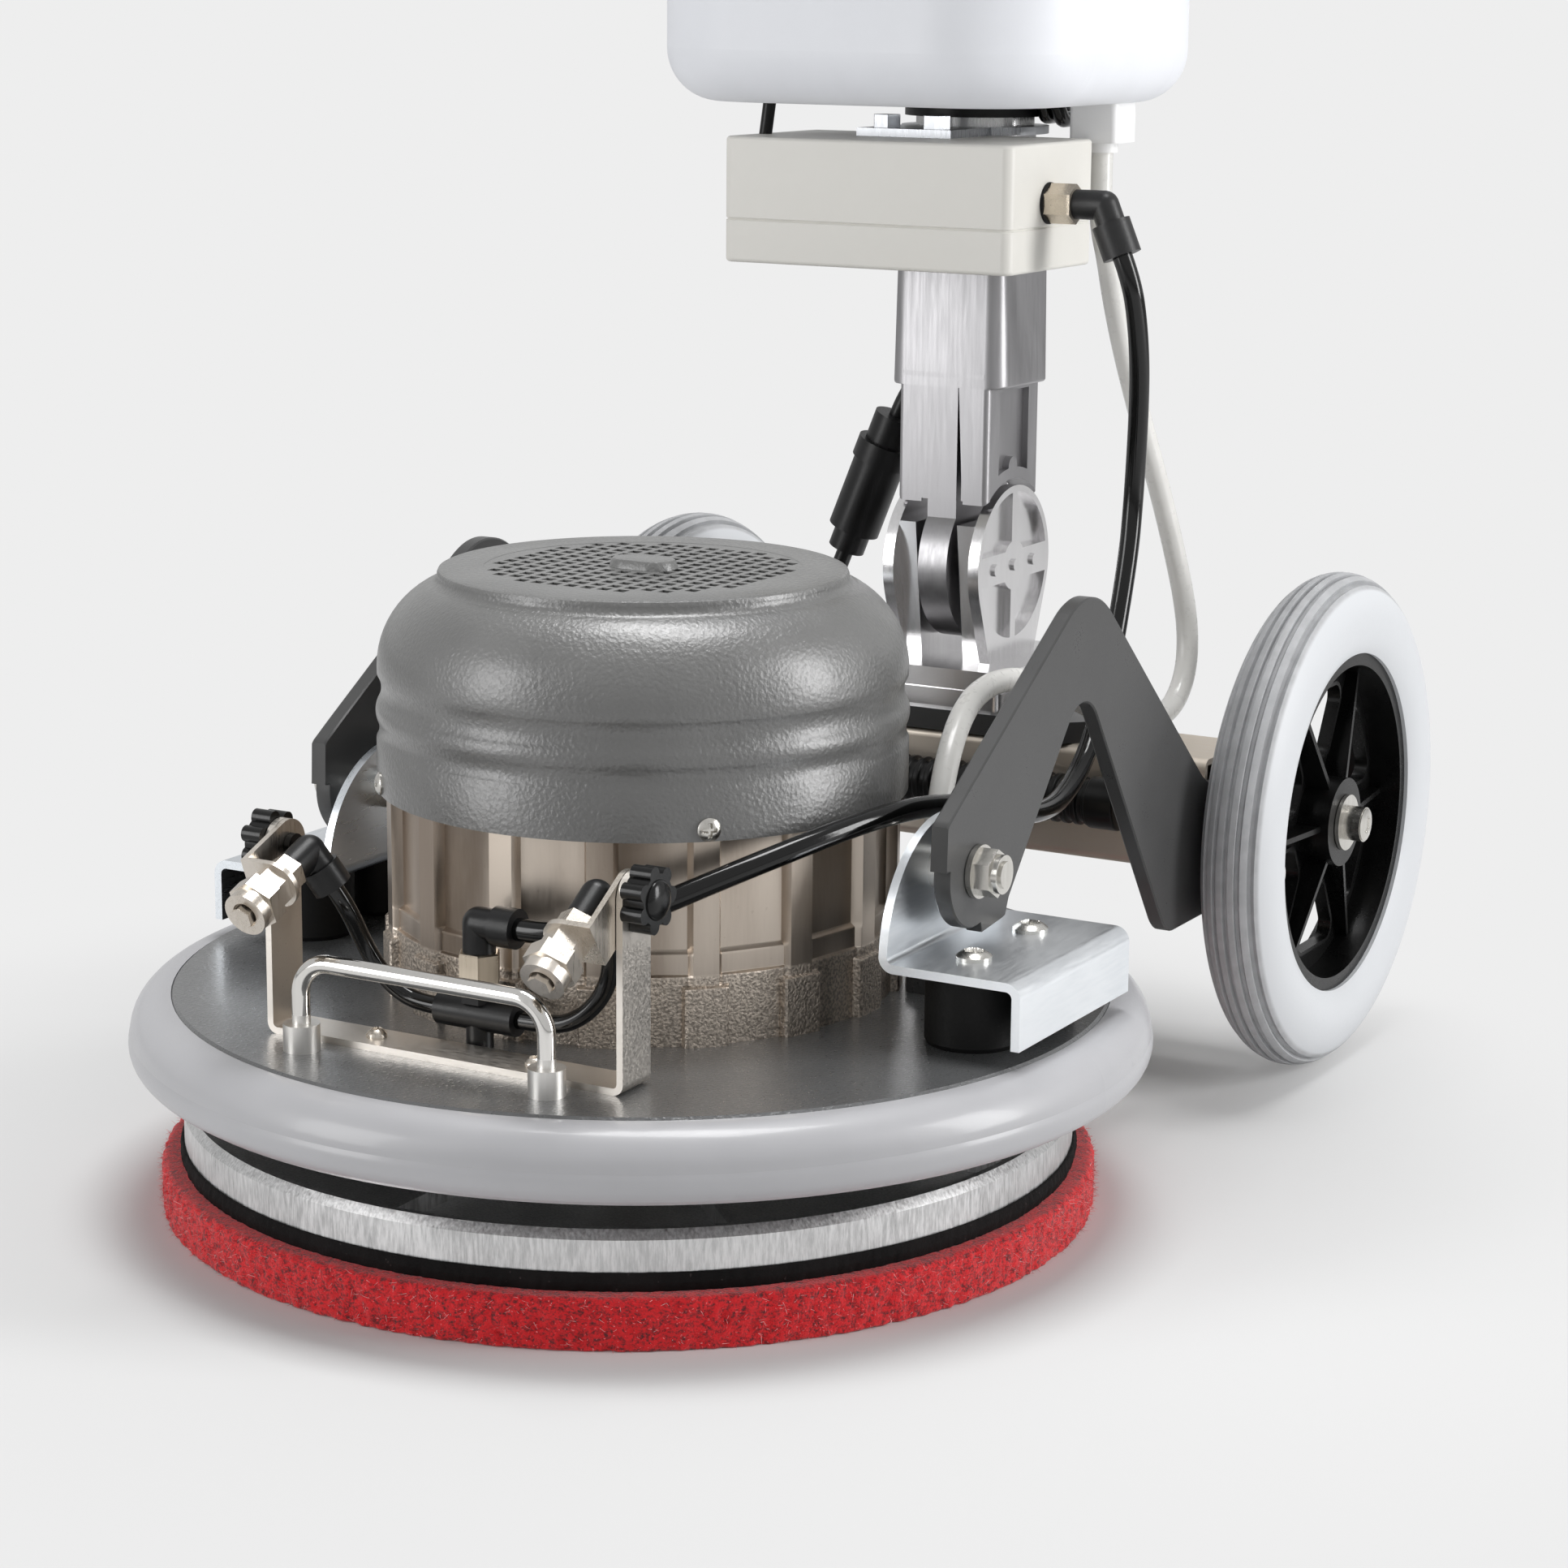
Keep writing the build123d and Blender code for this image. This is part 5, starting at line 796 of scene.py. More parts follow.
class Finishes(Enum):
    """The finishes of this machine, each named for what wears it."""

    PAD = PadFibre("pad_fibre", tint("DA0716"))
    PAD_STRAND = Moulded("pad_strand", tint("D01522"), 0.7, mottle=0.35)
    PAD_FLECK = Moulded("pad_fleck", tint("F0B8B8"), 0.6, mottle=0.2)
    HOOK = Moulded("hook_layer_black", tint("141212"), 0.85, 1.2, 0.25, 0.4, dust=tint("4A4242"), shine=0.15)
    PLATE = DrawnMetal("plate_steel_drawn", tint("E2E2E2"), (1.0, 1.0, 0.14), 0.34, 0.4, 1.3, 0.02)
    STEEL = DrawnMetal("turned_steel", tint("D2D0CD"), (1.0, 1.0, 0.3), 0.24, 0.12)
    FASTENER = PolishedMetal("plated_steel", tint("DAD8D3"), 0.24, 40.0, 0.01, tint("C6C3BD"))
    BUMPER = Moulded("bumper_rubber", tint("ABABAE"), 0.38, 1.0, 0.012, 0.012, 0.25)
    DECK = TexturedPaint("deck_paint", tint("515253"), 1.6, 0.3, 0.3, gloss=0.5)
    COVER = TexturedPaint("cover_paint", tint("656564"), 2.0, 0.48, 0.34, gloss=0.5, gloss_roughness=0.26)
    # The second tint colours the streaks, which are partly stain and partly painted reflection.
    MOTOR = CastMetal("motor_casting", tint("C6BBAF"), tint("96897D"), 0.33, 133.0)
    CHROME = PolishedMetal(
        "handle_chrome", tint("E8E6E3"), 0.09, 60.0, 0.02, tint("DCDAD6"), satin_below=118.0
    )
    STAINLESS = DrawnMetal("bracket_stainless", tint("E4DED6"), (0.15, 1.0, 1.0), 0.34, 0.03, 1.0, 0.001)
    NICKEL = PolishedMetal("nozzle_nickel", tint("DCD5CC"), 0.3, 20.0, 0.015, tint("CBC3B8"))
    BRASS = PolishedMetal("hexagon_brass", tint("D0C4B2"), 0.3, 15.0, 0.01, tint("BDB09E"))
    PUMP_PORT = BandedFitting("pump_port", tint("1B1B1C"), tint("CFC4B4"), "X", (60.0, 95.0))
    FITTING = Moulded("fitting_black", tint("121213"), 0.34, 0.7, 0.02, 0.2, shine=0.35)
    KNOB = Moulded("knob_black", tint("0E0E0E"), 0.2, 0.9, 0.012, 0.2, shine=0.35)
    ZINC = PolishedMetal("bracket_zinc", tint("F1F4F7"), 0.32, 80.0, 0.02, tint("E4E9EE"), (1.0, 0.1, 1.0))
    MOUNT = PolishedMetal("mount_plated", tint("B2B4B7"), 0.3, 40.0, 0.01, tint("A4A6AA"))
    BUFFER = Moulded("buffer_rubber", tint("101010"), 0.55, 1.4, 0.05, 0.3, dust=tint("2A2A2A"), shine=0.25)
    ARM = Moulded("arm_coat", tint("434343"), 0.32, 0.7, 0.008, 0.03, shine=0.4)
    TYRE = TyreRubber("tyre_rubber", tint("CBCDD0"), tint("A6A7A9"))
    RIM = Moulded("rim_black", tint("0B0B0B"), 0.3, 1.0, 0.02, 0.25, dust=tint("2A2A2A"), shine=0.3)
    BEAM = DrawnMetal("beam_steel", tint("E0D6C9"), (0.06, 1.0, 1.0), 0.46, 0.04, 1.6, 0.001)
    CASTING = PolishedMetal("polished_casting", tint("EFEEEF"), 0.22, 40.0, 0.06, tint("DEDDDE"))
    FOOT = PolishedMetal("satin_casting", tint("A9A8AA"), 0.36, 50.0, 0.03, tint("9D9C9E"))
    BOX = Moulded("box_cream", tint("E0DED8"), 0.42, 1.2, 0.012, 0.012)
    TANK = Moulded("tank_white", tint("E8EAEF"), 0.45, 1.6, 0.02, 0.01)
    TUBE = DrawnMetal("mast_tube", tint("DCDCDC"), (1.0, 1.0, 0.04), 0.26, 0.08, 1.2, 0.006)
    HOSE = Moulded("hose_black", tint("060606"), 0.12, 1.4, 0.006, 0.2, shine=0.45)
    LEAD = Moulded("lead_black", tint("0F0F0F"), 0.34, 0.9, 0.02, 0.2, shine=0.35)
    MILKY = MilkyTube("hose_milky", tint("E6E5E1"))
    OUTLET = Moulded("outlet_white", tint("EEEEEE"), 0.4, 1.0, 0.02, 0.01)
    HEAD = Moulded("head_grey", tint("3E4043"), 0.48, 0.8, 0.05, 0.1)
    CAP = Moulded("cap_black", tint("1C1C1D"), 0.42, 0.9, 0.04, 0.15)


# Workshop


@dataclass
class Workshop:
    """Makes pieces from surfaces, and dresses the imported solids."""

    nodes: dict[str, bpy.types.Object]

    def piece(
        self,
        name: str,
        shell: Shell,
        body: str,
        finish: Finishes,
        replaces: Sequence[str] = (),
        sharp: float = 35.0,
    ) -> bpy.types.Object:
        """Make a surface into a piece that rides on a body.

        Args:
            name: the piece's name.
            shell: its surface.
            body: the body that carries it.
            finish: its finish.
            replaces: solids that it stands for.
            sharp: angle in degrees above which an edge stays sharp.

        Returns:
            The new object.
        """
        made = self.mesh_object(name, shell, finish, sharp)
        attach(made, body)
        self.declare(made, replaces)
        return made

    def mesh_object(self, name: str, shell: Shell, finish: Finishes, sharp: float) -> bpy.types.Object:
        """Make a closed, outward mesh object from a surface.

        Args:
            name: the object's name.
            shell: its surface.
            finish: its finish.
            sharp: angle in degrees above which an edge stays sharp.

        Returns:
            The object, with no parent.
        """
        mesh = bpy.data.meshes.new(name)
        mesh.from_pydata(shell.points.tolist(), [], shell.faces.tolist())
        work = bmesh.new()
        work.from_mesh(mesh)
        bmesh.ops.remove_doubles(work, verts=work.verts, dist=1e-6)
        bmesh.ops.dissolve_degenerate(work, edges=work.edges, dist=1e-7)
        bmesh.ops.recalc_face_normals(work, faces=work.faces)
        work.to_mesh(mesh)
        work.free()
        mesh.polygons.foreach_set("use_smooth", np.ones(len(mesh.polygons), bool))
        mesh.set_sharp_from_angle(angle=math.radians(sharp))
        mesh.materials.append(finish.value.material())
        made = bpy.data.objects.new(name, mesh)
        bpy.context.scene.collection.objects.link(made)
        return made

    def declare(self, made: bpy.types.Object, replaces: Sequence[str]) -> None:
        """Hide the solids that a piece stands for, and log the piece.

        Args:
            made: the piece.
            replaces: solids that it stands for.
        """
        if replaces:
            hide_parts(*replaces)
        LOG.info("made %s with %d faces", made.name, len(made.data.polygons))

    def dress(self, wears: dict[Finishes, str]) -> None:
        """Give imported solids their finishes.

        Args:
            wears: names of the solids that wear each finish, parted by spaces.
        """
        for finish, names in wears.items():
            for name in names.split():
                mesh = self.nodes[name].data
                mesh.materials.clear()
                mesh.materials.append(finish.value.material())
                LOG.info("dressed %s in %s", name, finish.value.name)


class Drive(Enum):
    """How a screw head is turned."""

    CROSS = "cross"
    HEXAGON = "hexagon"


@dataclass(frozen=True)
class ScrewHead:
    """A domed screw head with a drive recess; its parts are shares of its radius and height."""

    radius: float
    height: float
    drive: Drive
    skirt: float = 0.35
    roundness: float = 2.5
    recess: float = 0.6
    cross_arm: Pair = (0.17, 0.11)
    cross_reach: Pair = (0.62, 0.55)
    hexagon_side: Pair = (0.5, 0.44)

    def shell(self, frame: AxisFrame) -> Shell:
        """Height over a disc: a skirt and a dome that falls as (r/R)^2.5, less the recess of its drive.

        Args:
            frame: middle of the head's foot, and its axis.

        Returns:
            The head's surface, open below.
        """
        angle, share = round_turn(72), np.linspace(1.0, 0.0, 26)
        if self.drive is Drive.CROSS:
            arms = share * np.minimum(np.abs(np.cos(angle)), np.abs(np.sin(angle)))
            inside = ease(*self.cross_arm, arms) * ease(*self.cross_reach, share)
        else:
            turn = np.mod(angle, TURN / 6.0) - TURN / 12.0
            inside = ease(*self.hexagon_side, share * np.cos(turn))
        dome = self.skirt + (1.0 - self.skirt) * (1.0 - share**self.roundness)
        height = self.height * (dome - self.recess * inside)
        radius = np.tile(self.radius * np.append(1.0, share), (len(angle), 1))
        return Shell.spun(radius, np.pad(height, ((0, 0), (1, 0))), frame)

    def shells(self, frames: Sequence[AxisFrame]) -> Shell:
        """One surface with a head at each frame."""
        return Shell.join([self.shell(frame) for frame in frames])


# Cords


@dataclass(frozen=True)
class Cord:
    """A hose or lead between two bodies, along the route of its solid."""

    name: str
    diameter: float
    finish: Finishes
    slot: str
    bodies: tuple[str, str]
    route: tuple[Point, ...]

    def line(self) -> Array:
        """Read the cord's line off a NURBS curve of the third order over its route.

        Returns:
            Points in metres.
        """
        curve = bpy.data.curves.new(self.name + "_line", "CURVE")
        curve.dimensions = "3D"
        curve.resolution_u = 10
        spline = curve.splines.new("NURBS")
        spline.points.add(len(self.route) - 1)
        control = np.ones((len(self.route), 4))
        control[:, :3] = np.array(self.route) * MM
        spline.points.foreach_set("co", control.ravel())
        spline.order_u = 3
        spline.use_endpoint_u = True
        holder = bpy.data.objects.new(self.name + "_line", curve)
        mesh = bpy.data.meshes.new_from_object(holder)
        points = np.empty(len(mesh.vertices) * 3)
        mesh.vertices.foreach_get("co", points)
        bpy.data.objects.remove(holder)
        bpy.data.meshes.remove(mesh)
        bpy.data.curves.remove(curve)
        return points.reshape(-1, 3)

    def build(self, shop: Workshop) -> None:
        """Args:
            shop: where pieces are made.
        """
        path = self.line()
        size = self.diameter * MM
        tube = shop.mesh_object(self.name + "_tube", Shell.tube(path, size / 2.0), self.finish, 50.0)
        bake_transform(tube)
        shop.declare(tube, [self.name])


@dataclass
class CordSet:
    """The eight hoses and leads; those from the mast are split where they cross to the frame."""

    nozzle_size: float = 8.0
    feed_size: float = 10.0
    dosing_size: float = 11.5
    lead_size: float = 9.0
    feed_split: Point = (121.5, 254, 250)
    dosing_split: Point = (112, 312, 178.5)

    def routes(self) -> dict[str, tuple[Point, ...]]:
        """Lay every cord from its upper end to its lower one.

        Returns:
            Each cord's points in millimetres.
        """
        return {
            "nozzle_hose_left": (
                (-65.472, -149.279, 167.783), (-60.591, -145.173, 157.618), (-58, -138, 140.9),
                (-52.1, -135.2, 129.3), (-43.2, -134.3, 121.3), (-32, -134, 117), (-20, -134, 117),
            ),
            "nozzle_hose_right": (
                (71.214, -145.225, 167.519), (69.960, -138.725, 157.510), (65.7, -132.8, 142),
                (59.8, -133.4, 130.4), (50.1, -134, 121.7), (38, -134, 117), (20, -134, 117),
            ),
            "spray_hose_upper": (
                (120.159, 247, 422.067), (124.848, 247, 411.021), (126.4, 251.5, 395.5),
                (126.3, 257.5, 371), (124, 263.4, 346.5), (121.7, 267.2, 322), (120.7, 267.2, 297.5),
                (121.04, 262.8, 273.15), self.feed_split,
            ),
            "spray_hose_lower": (
                self.feed_split, (121.96, 245.2, 226.85), (123.4, 228, 197.5), (126.2, 203, 177.6),
                (130.1, 173.4, 167.8), (134.2, 142.6, 167.7), (137.4, 111.9, 173.2), (139.4, 81.4, 181.4),
                (139.9, 51.1, 189.5), (138.5, 20.8, 195.4), (133.9, -9.5, 197.2), (125.6, -39.1, 194.7),
                (113, -67.5, 188.8), (94.9, -94.1, 179.9), (72, -116.5, 168), (52, -129.5, 160),
                (36, -134, 157), (20, -134, 157),
            ),
            "dosing_hose_upper": (
                (77.5, 313, 468), (77.5, 313, 438.3), (78.6, 314, 427), (80.9, 315.4, 416),
                (82.5, 321, 394), (84.7, 327.7, 372.1), (87.5, 335.3, 350.2), (90.8, 343.2, 328),
                (94.5, 351.2, 305.3), (98.4, 358.6, 281.9), (102.2, 364.5, 259), (106, 368.6, 237),
                (109.3, 369, 216), (111.3, 363, 197), (112, 349, 183.5), (112, 331, 178.5),
                self.dosing_split,
            ),
            "dosing_hose_lower": (
                self.dosing_split, (112, 292, 178.5), (110.5, 270, 187.5), (108.9, 249, 197.5),
                (106.9, 228, 207), (105.3, 206, 215.5), (104.4, 183, 221.8), (104.4, 159.5, 225.7),
                (105.8, 136, 226.2), (108.6, 113.5, 222.8), (112.5, 93, 214.5), (116.5, 75.5, 201),
                (120, 61.5, 183), (122.3, 52, 162), (123, 48, 143), (123, 48, 124),
            ),
            "motor_lead_upper": (
                (0, 368, 410), (0, 368, 393.4), (-9.2, 365, 378), (-23.7, 360.4, 363.4),
                (-39.1, 355.7, 349.4), (-51.529, 352.377, 335.961), (-57, 352, 322),
            ),
            "motor_lead_lower": (
                (-86, 350, 248), (-91.471, 349.623, 234.039), (-96.2, 342.5, 217), (-97.5, 327, 205),
                (-95.5, 307, 199), (-89.5, 285, 195), (-79, 263, 189.5), (-65, 245, 182.5), (-50, 230, 174),
                (-36, 216, 167), (-27, 200, 161.5), (-24, 184, 160), (-24, 171, 160),
            ),
        }

    def build(self, shop: Workshop) -> None:
        """Make every cord.

        Args:
            shop: where pieces are made.
        """
        kinds = {
            "nozzle_hose": (self.nozzle_size, Finishes.HOSE, "hose_black"),
            "spray_hose": (self.feed_size, Finishes.HOSE, "hose_black"),
            "dosing_hose": (self.dosing_size, Finishes.MILKY, "hose_clear"),
            "motor_lead": (self.lead_size, Finishes.LEAD, "hose_black"),
        }
        spans = {"upper": ("mast", "frame"), "lower": ("frame", "deck")}
        spans |= {side: (f"nozzle_{side}", "deck") for side, _ in SIDES}
        for name, route in self.routes().items():
            kind, end = name.rsplit("_", 1)
            Cord(name, *kinds[kind], spans[end], route).build(shop)


# Sub-assemblies


def ripple(angle: Array, across: Array, waves: int, seed: int, finest: int) -> Array:
    """Uneven edge: a sum of cosines cos(n a + m s + phase) with whole n, so that it closes round the ring.

    Args:
        angle: place round the ring in radians.
        across: place along the profile in millimetres.
        waves: how many cosines.
        seed: start of the random numbers.
        finest: largest number of waves in one turn.

    Returns:
        Heights of about -1 to 1, shaped as the arguments broadcast.
    """
    chance = np.random.default_rng(seed)
    turns = chance.integers(9, finest, waves)
    slant = chance.normal(0.0, 0.5, waves)
    phase = chance.uniform(0.0, TURN, waves)
    spread = angle[..., None] * turns + across[..., None] * slant + phase
    return np.cos(spread).sum(axis=-1) / math.sqrt(waves)


@dataclass
class PadStack:
    """Floor pad, hook layer and drive plate under the deck."""

    centre: Pair = (-7.0, 0.0)
    pad_radius: float = 216.0
    pad_top: float = 23.0
    pad_edge: float = 3.0
    hook_radius: float = 208.0
    hook_top: float = 31.0
    unevenness: float = 0.55
    hook_unevenness: float = 0.35
    rim_steps: int = 900
    rim_waves: int = 26
    strands: int = 5200
    flecks: int = 1700
    strand_length: float = 3.4
    strand_radius: float = 0.11
    fleck_radius: float = 0.154
    strand_depth: float = 0.9
    strand_spread: float = 0.55
    strand_slope: float = 0.6
    strand_curl: float = 0.6
    strand_share: Pair = (0.35, 1.35)
    strand_taper: float = 0.75

    def disc(self, profile: Array, amount: float, rim: float, seed: int, finest: int) -> Shell:
        """Turned disc with an uneven rim: r(a, s) + amount * ripple(a, s) past the rim radius.

        Args:
            profile: (radius, height) points.
            amount: size of the unevenness.
            rim: radius where the unevenness is whole.
            seed: start of the random numbers.
            finest: largest number of waves in one turn.

        Returns:
            The disc's surface.
        """
        radius, height = profile.T
        rough = ripple(round_turn(self.rim_steps), travelled(profile)[None], self.rim_waves, seed, finest)
        swell = amount * np.clip(rough, -2.0, 1.0) * ease(rim - 3.0, rim, radius)
        return Shell.spun(radius + swell, height, AxisFrame((*self.centre, 0.0)))

    def fibres(self, count: int, radius: float, seed: int) -> Shell:
        """Curved strands off the rim: p(t) = root + L (t d + c t^2 s), each a thin three-sided tube.

        Args:
            count: how many strands.
            radius: strand radius at its root.
            seed: start of the random numbers.

        Returns:
            All the strands as one surface.
        """
        chance = np.random.default_rng(seed)
        angle = chance.uniform(0.0, TURN, count)
        height = chance.uniform(0.8, self.pad_top - 0.4, count)
        outward = columns(np.cos(angle), np.sin(angle), 0.0)
        around = columns(-np.sin(angle), np.cos(angle), 0.0)
        upward = np.array([0.0, 0.0, 1.0])
        root = outward * (self.pad_radius - self.strand_depth) + upward * height[:, None]
        tilt = chance.normal(0.0, self.strand_spread, (count, 2))
        sway = around * tilt[:, :1] + upward * self.strand_slope * tilt[:, 1:]
        lean = unit(outward * self.strand_spread + sway)
        side = unit(np.cross(lean, chance.normal(0.0, 1.0, (count, 3))))
        size = self.strand_length * chance.uniform(*self.strand_share, count)[:, None, None]
        curl = chance.uniform(-self.strand_curl, self.strand_curl, count)[:, None, None]
        t = np.linspace(0.0, 1.0, 4)[None, :, None]
        spine = root[:, None] + size * (t * lean[:, None] + curl * t**2 * side[:, None])
        turn = round_turn(3)
        ring = side[:, None] * np.cos(turn) + np.cross(lean, side)[:, None] * np.sin(turn)
        thick = radius * (1.0 - self.strand_taper * t[..., None])
        local = spine[:, :, None] + thick * ring[:, None]
        local[..., 2] = np.clip(local[..., 2], 0.15, self.pad_top + 1.5)
        patch = Shell.grid(np.zeros((4, 3, 3)), close_columns=True)
        points = AxisFrame((*self.centre, 0.0)).place(local)
        return Shell.copies(points.reshape(count, -1, 3), patch.faces)

    def pad_profile(self) -> Array:
        """Draw half of the pad's section, with extra points up its wall.

        Returns:
            (radius, height) points.
        """
        size, top, edge = self.pad_radius, self.pad_top, self.pad_edge
        corners = [(0, 0, 0), (size - 9, 0, 0), (size, 0, edge / 2.0), (size, top, edge)]
        profile = rounded([*corners, (self.hook_radius - 9, top, 0), (0, top, 0)], 9)
        rise = np.linspace(edge / 2.0, top - edge, 12)[1:-1]
        at = int(np.argmax(profile[:, 1] > edge * 0.6))
        return np.concatenate([profile[:at], columns(size, rise), profile[at:]])

    def hook_profile(self) -> Array:
        """Draw half of the hook layer's section, with a blunt edge.

        Returns:
            (radius, height) points.
        """
        low, high, size = self.pad_top, self.hook_top, self.hook_radius
        lower = [(0, low, 0), (size - 8, low, 0), (size - 0.8, low, 0.6), (size, (low + high) / 2, 1.0)]
        return rounded([*lower, (size - 0.8, high, 0.6), (size - 8, high, 0), (0, high, 0)], 4)

    def build(self, shop: Workshop) -> None:
        """Make the pad, its strands and the hook layer, and dress the plate and its drive.

        Args:
            shop: where pieces are made.
        """
        body = "pad_driver"
        rim = self.pad_radius - 4.0
        shell = self.disc(self.pad_profile(), self.unevenness, rim, seed=3, finest=240)
        pad = shop.piece("pad_mat", shell, body, Finishes.PAD, ["floor_pad"], 60.0)
        strands = self.fibres(self.strands, self.strand_radius, seed=11)
        shop.piece("pad_strands", strands, body, Finishes.PAD_STRAND, sharp=80.0)
        flecks = self.fibres(self.flecks, self.fleck_radius, seed=12)
        shop.piece("pad_flecks", flecks, body, Finishes.PAD_FLECK, sharp=80.0)
        rim = self.hook_radius - 3.0
        layer = self.disc(self.hook_profile(), self.hook_unevenness, rim, seed=5, finest=420)
        shop.piece("hook_mat", layer, body, Finishes.HOOK, ["hook_layer"], 60.0)
        steel = "pad_bearing eccentric_hub rotor motor_bearings"
        shop.dress({Finishes.PLATE: "drive_plate", Finishes.STEEL: steel})


@dataclass
class Motor:
    """Ribbed casting and the pierced fan cover over it."""

    panel_radius: float = 114.0
    panels: int = 16
    panel_steps: int = 48
    rib_radius: float = 117.5
    rib_width: float = 13.0
    foot_radius: float = 116.0
    foot_top: float = 133.0
    lug_radius: float = 119.5
    lug_width: float = 19.0
    deck_top: float = 102.0
    shelf_top: float = 143.5
    shelf_depth: float = 2.2
    cover_bottom: float = 193.7
    cover_top: float = 293.0
    cover_radius: float = 121.0
    cover_wall: float = 2.5
    lip_radius: float = 93.0
    grille_radius: float = 71.0
    field_half: float = 76.0
    hole: float = 5.6
    pitch: float = 8.6
    boss: Point = (33.0, 21.0, 4.0)
    screw_height: float = 199.0
    screw: ScrewHead = ScrewHead(5.2, 3.0, Drive.CROSS)

    def casting(self) -> Shell:
        """Radius over angle and height: flat panels, ribs off them, a shelf, and a lugged foot ring.

        Returns:
            The casting's surface, closed on its axis.
        """
        foot_top, shelf_top, top = self.foot_top, self.shelf_top, self.cover_bottom + 2.0
        angle = round_turn(self.panels * self.panel_steps)
        breaks = [self.deck_top, foot_top - 5.5, foot_top - 3.5, foot_top, foot_top + 1.0]
        breaks += [shelf_top - 2.0, shelf_top + 1.5, top]
        height = np.unique([np.linspace(low, high, 7) for low, high in zip(breaks, breaks[1:])])
        step = TURN / self.panels
        from_rib = np.mod(angle + step / 2.0, step) - step / 2.0
        from_panel = np.mod(angle, step) - step / 2.0
        panel = self.panel_radius * math.cos(step / 2.0) / np.cos(from_panel)
        off = np.abs(self.rib_radius * np.sin(from_rib))
        halves = (self.rib_width / 2.0, self.lug_width / 2.0)
        on_rib, on_lug = (ease(half + 0.9, half - 0.2, off) for half in halves)
        shelf = self.shelf_depth * ease(shelf_top + 1.0, shelf_top - 1.2, height)
        body = panel + shelf + (self.rib_radius / np.cos(from_rib) - panel - shelf) * on_rib
        lug = (self.lug_radius / np.cos(from_rib) - self.foot_radius) * on_lug
        foot = self.foot_radius + lug * ease(foot_top - 3.6, foot_top - 5.0, height)
        in_foot = ease(foot_top + 0.8, foot_top - 0.1, height)
        radius = body * (1.0 - in_foot) + np.maximum(foot, body) * in_foot
        return Shell.spun(np.pad(radius, ((0, 0), (1, 1))), np.pad(height, 1, mode="edge"), AxisFrame())

    def cover_profile(self) -> Array:
        """Draw the cover's section: lip, shoulder and two soft beads as arcs, then the same line inside.

        Returns:
            (radius, height) points, out and back.
        """
        top, size, lip = self.cover_top, self.cover_radius, self.lip_radius
        ends = [(lip, -2), (lip + 4, -7), (size - 0.6, -47)]
        ends += [(size - 1.2, -59), (size - 0.6, -68), (size, -77)]
        middles = [(lip + 0.8, -5), (size - 7, -22), (size - 2.4, -53), (size + 0.2, -63), (size - 1.4, -72)]
        arcs = [arc_through(*arc, 14) for arc in zip(ends, middles, ends[1:])]
        rim = [(self.grille_radius + 1.2, 0), (lip - 2, 0), (lip - 0.6, -0.6)]
        outer = np.concatenate([rim, *arcs, [(size, self.cover_bottom - top)]]) + (0.0, top)
        inner = outer[::-1] - (self.cover_wall, 0.0)
        inner[:, 1] = np.clip(inner[:, 1], self.cover_bottom, top - self.cover_wall)
        inner[-1, 0] = outer[0, 0]
        return np.concatenate([outer, inner])

    def grille(self) -> Shell:
        """Flat field of square cells; where a hole belongs a cell is open, with walls down its four sides.

        Returns:
            The field and the walls of its holes.
        """
        half, reach = self.hole / 2.0, self.field_half
        count = int(self.grille_radius // self.pitch)
        steps = np.arange(-count, count + 1) * self.pitch
        lines = np.sort(np.concatenate([steps - half, steps + half, [-reach, reach]]))
        x, y = np.meshgrid(lines, lines, indexing="ij")
        middle = (lines[:-1] + lines[1:]) / 2.0
        mx, my = np.meshgrid(middle, middle, indexing="ij")
        slot = np.arange(len(middle)) % 2 == 1
        away = np.hypot(mx, my)
        clear = (np.abs(mx) > self.boss[0] / 2.0) | (np.abs(my) > self.boss[1] / 2.0)
        hole = slot[:, None] & slot[None, :] & (away < self.grille_radius - half) & clear
        keep = ~hole & (away < self.grille_radius + 7.0)
        top = Shell.grid(columns(x, y, 0.0))
        corner = half * np.array([(-1, -1), (1, -1), (1, 1), (-1, 1)] * 2).T
        depth = np.repeat([0.0, -self.cover_wall], 4)
        edges = columns(mx[hole][:, None] + corner[0], my[hole][:, None] + corner[1], depth)
        walls = Shell.copies(edges, np.array([(0, 1, 5, 4), (1, 2, 6, 5), (2, 3, 7, 6), (3, 0, 4, 7)]))
        whole = Shell.join([Shell(top.points, top.faces[keep.ravel()]), walls])
        return Shell(AxisFrame((0, 0, self.cover_top - 0.06)).place(whole.points), whole.faces)

    def oval(self) -> Shell:
        """Raised boss: a stadium outline, drawn in as it rises and closed on top.

        Returns:
            The boss's surface.
        """
        length, width, rise = self.boss
        end, reach = width / 2.0, (length - width) / 2.0
        rows = [(0.0, 0.0), (0.9, rise - 1.0), (1.6, rise - 0.2), (2.4, rise), (end, rise)]
        inset, lift = np.array(rows).T[:, :, None]
        angle = round_turn(96).T
        x = reach * np.sign(np.cos(angle)) * (inset < end) + (end - inset) * np.cos(angle)
        rings = columns(x, (end - inset) * np.sin(angle), lift)
        return Shell.grid(AxisFrame((0, 0, self.cover_top)).place(rings), close_columns=True)

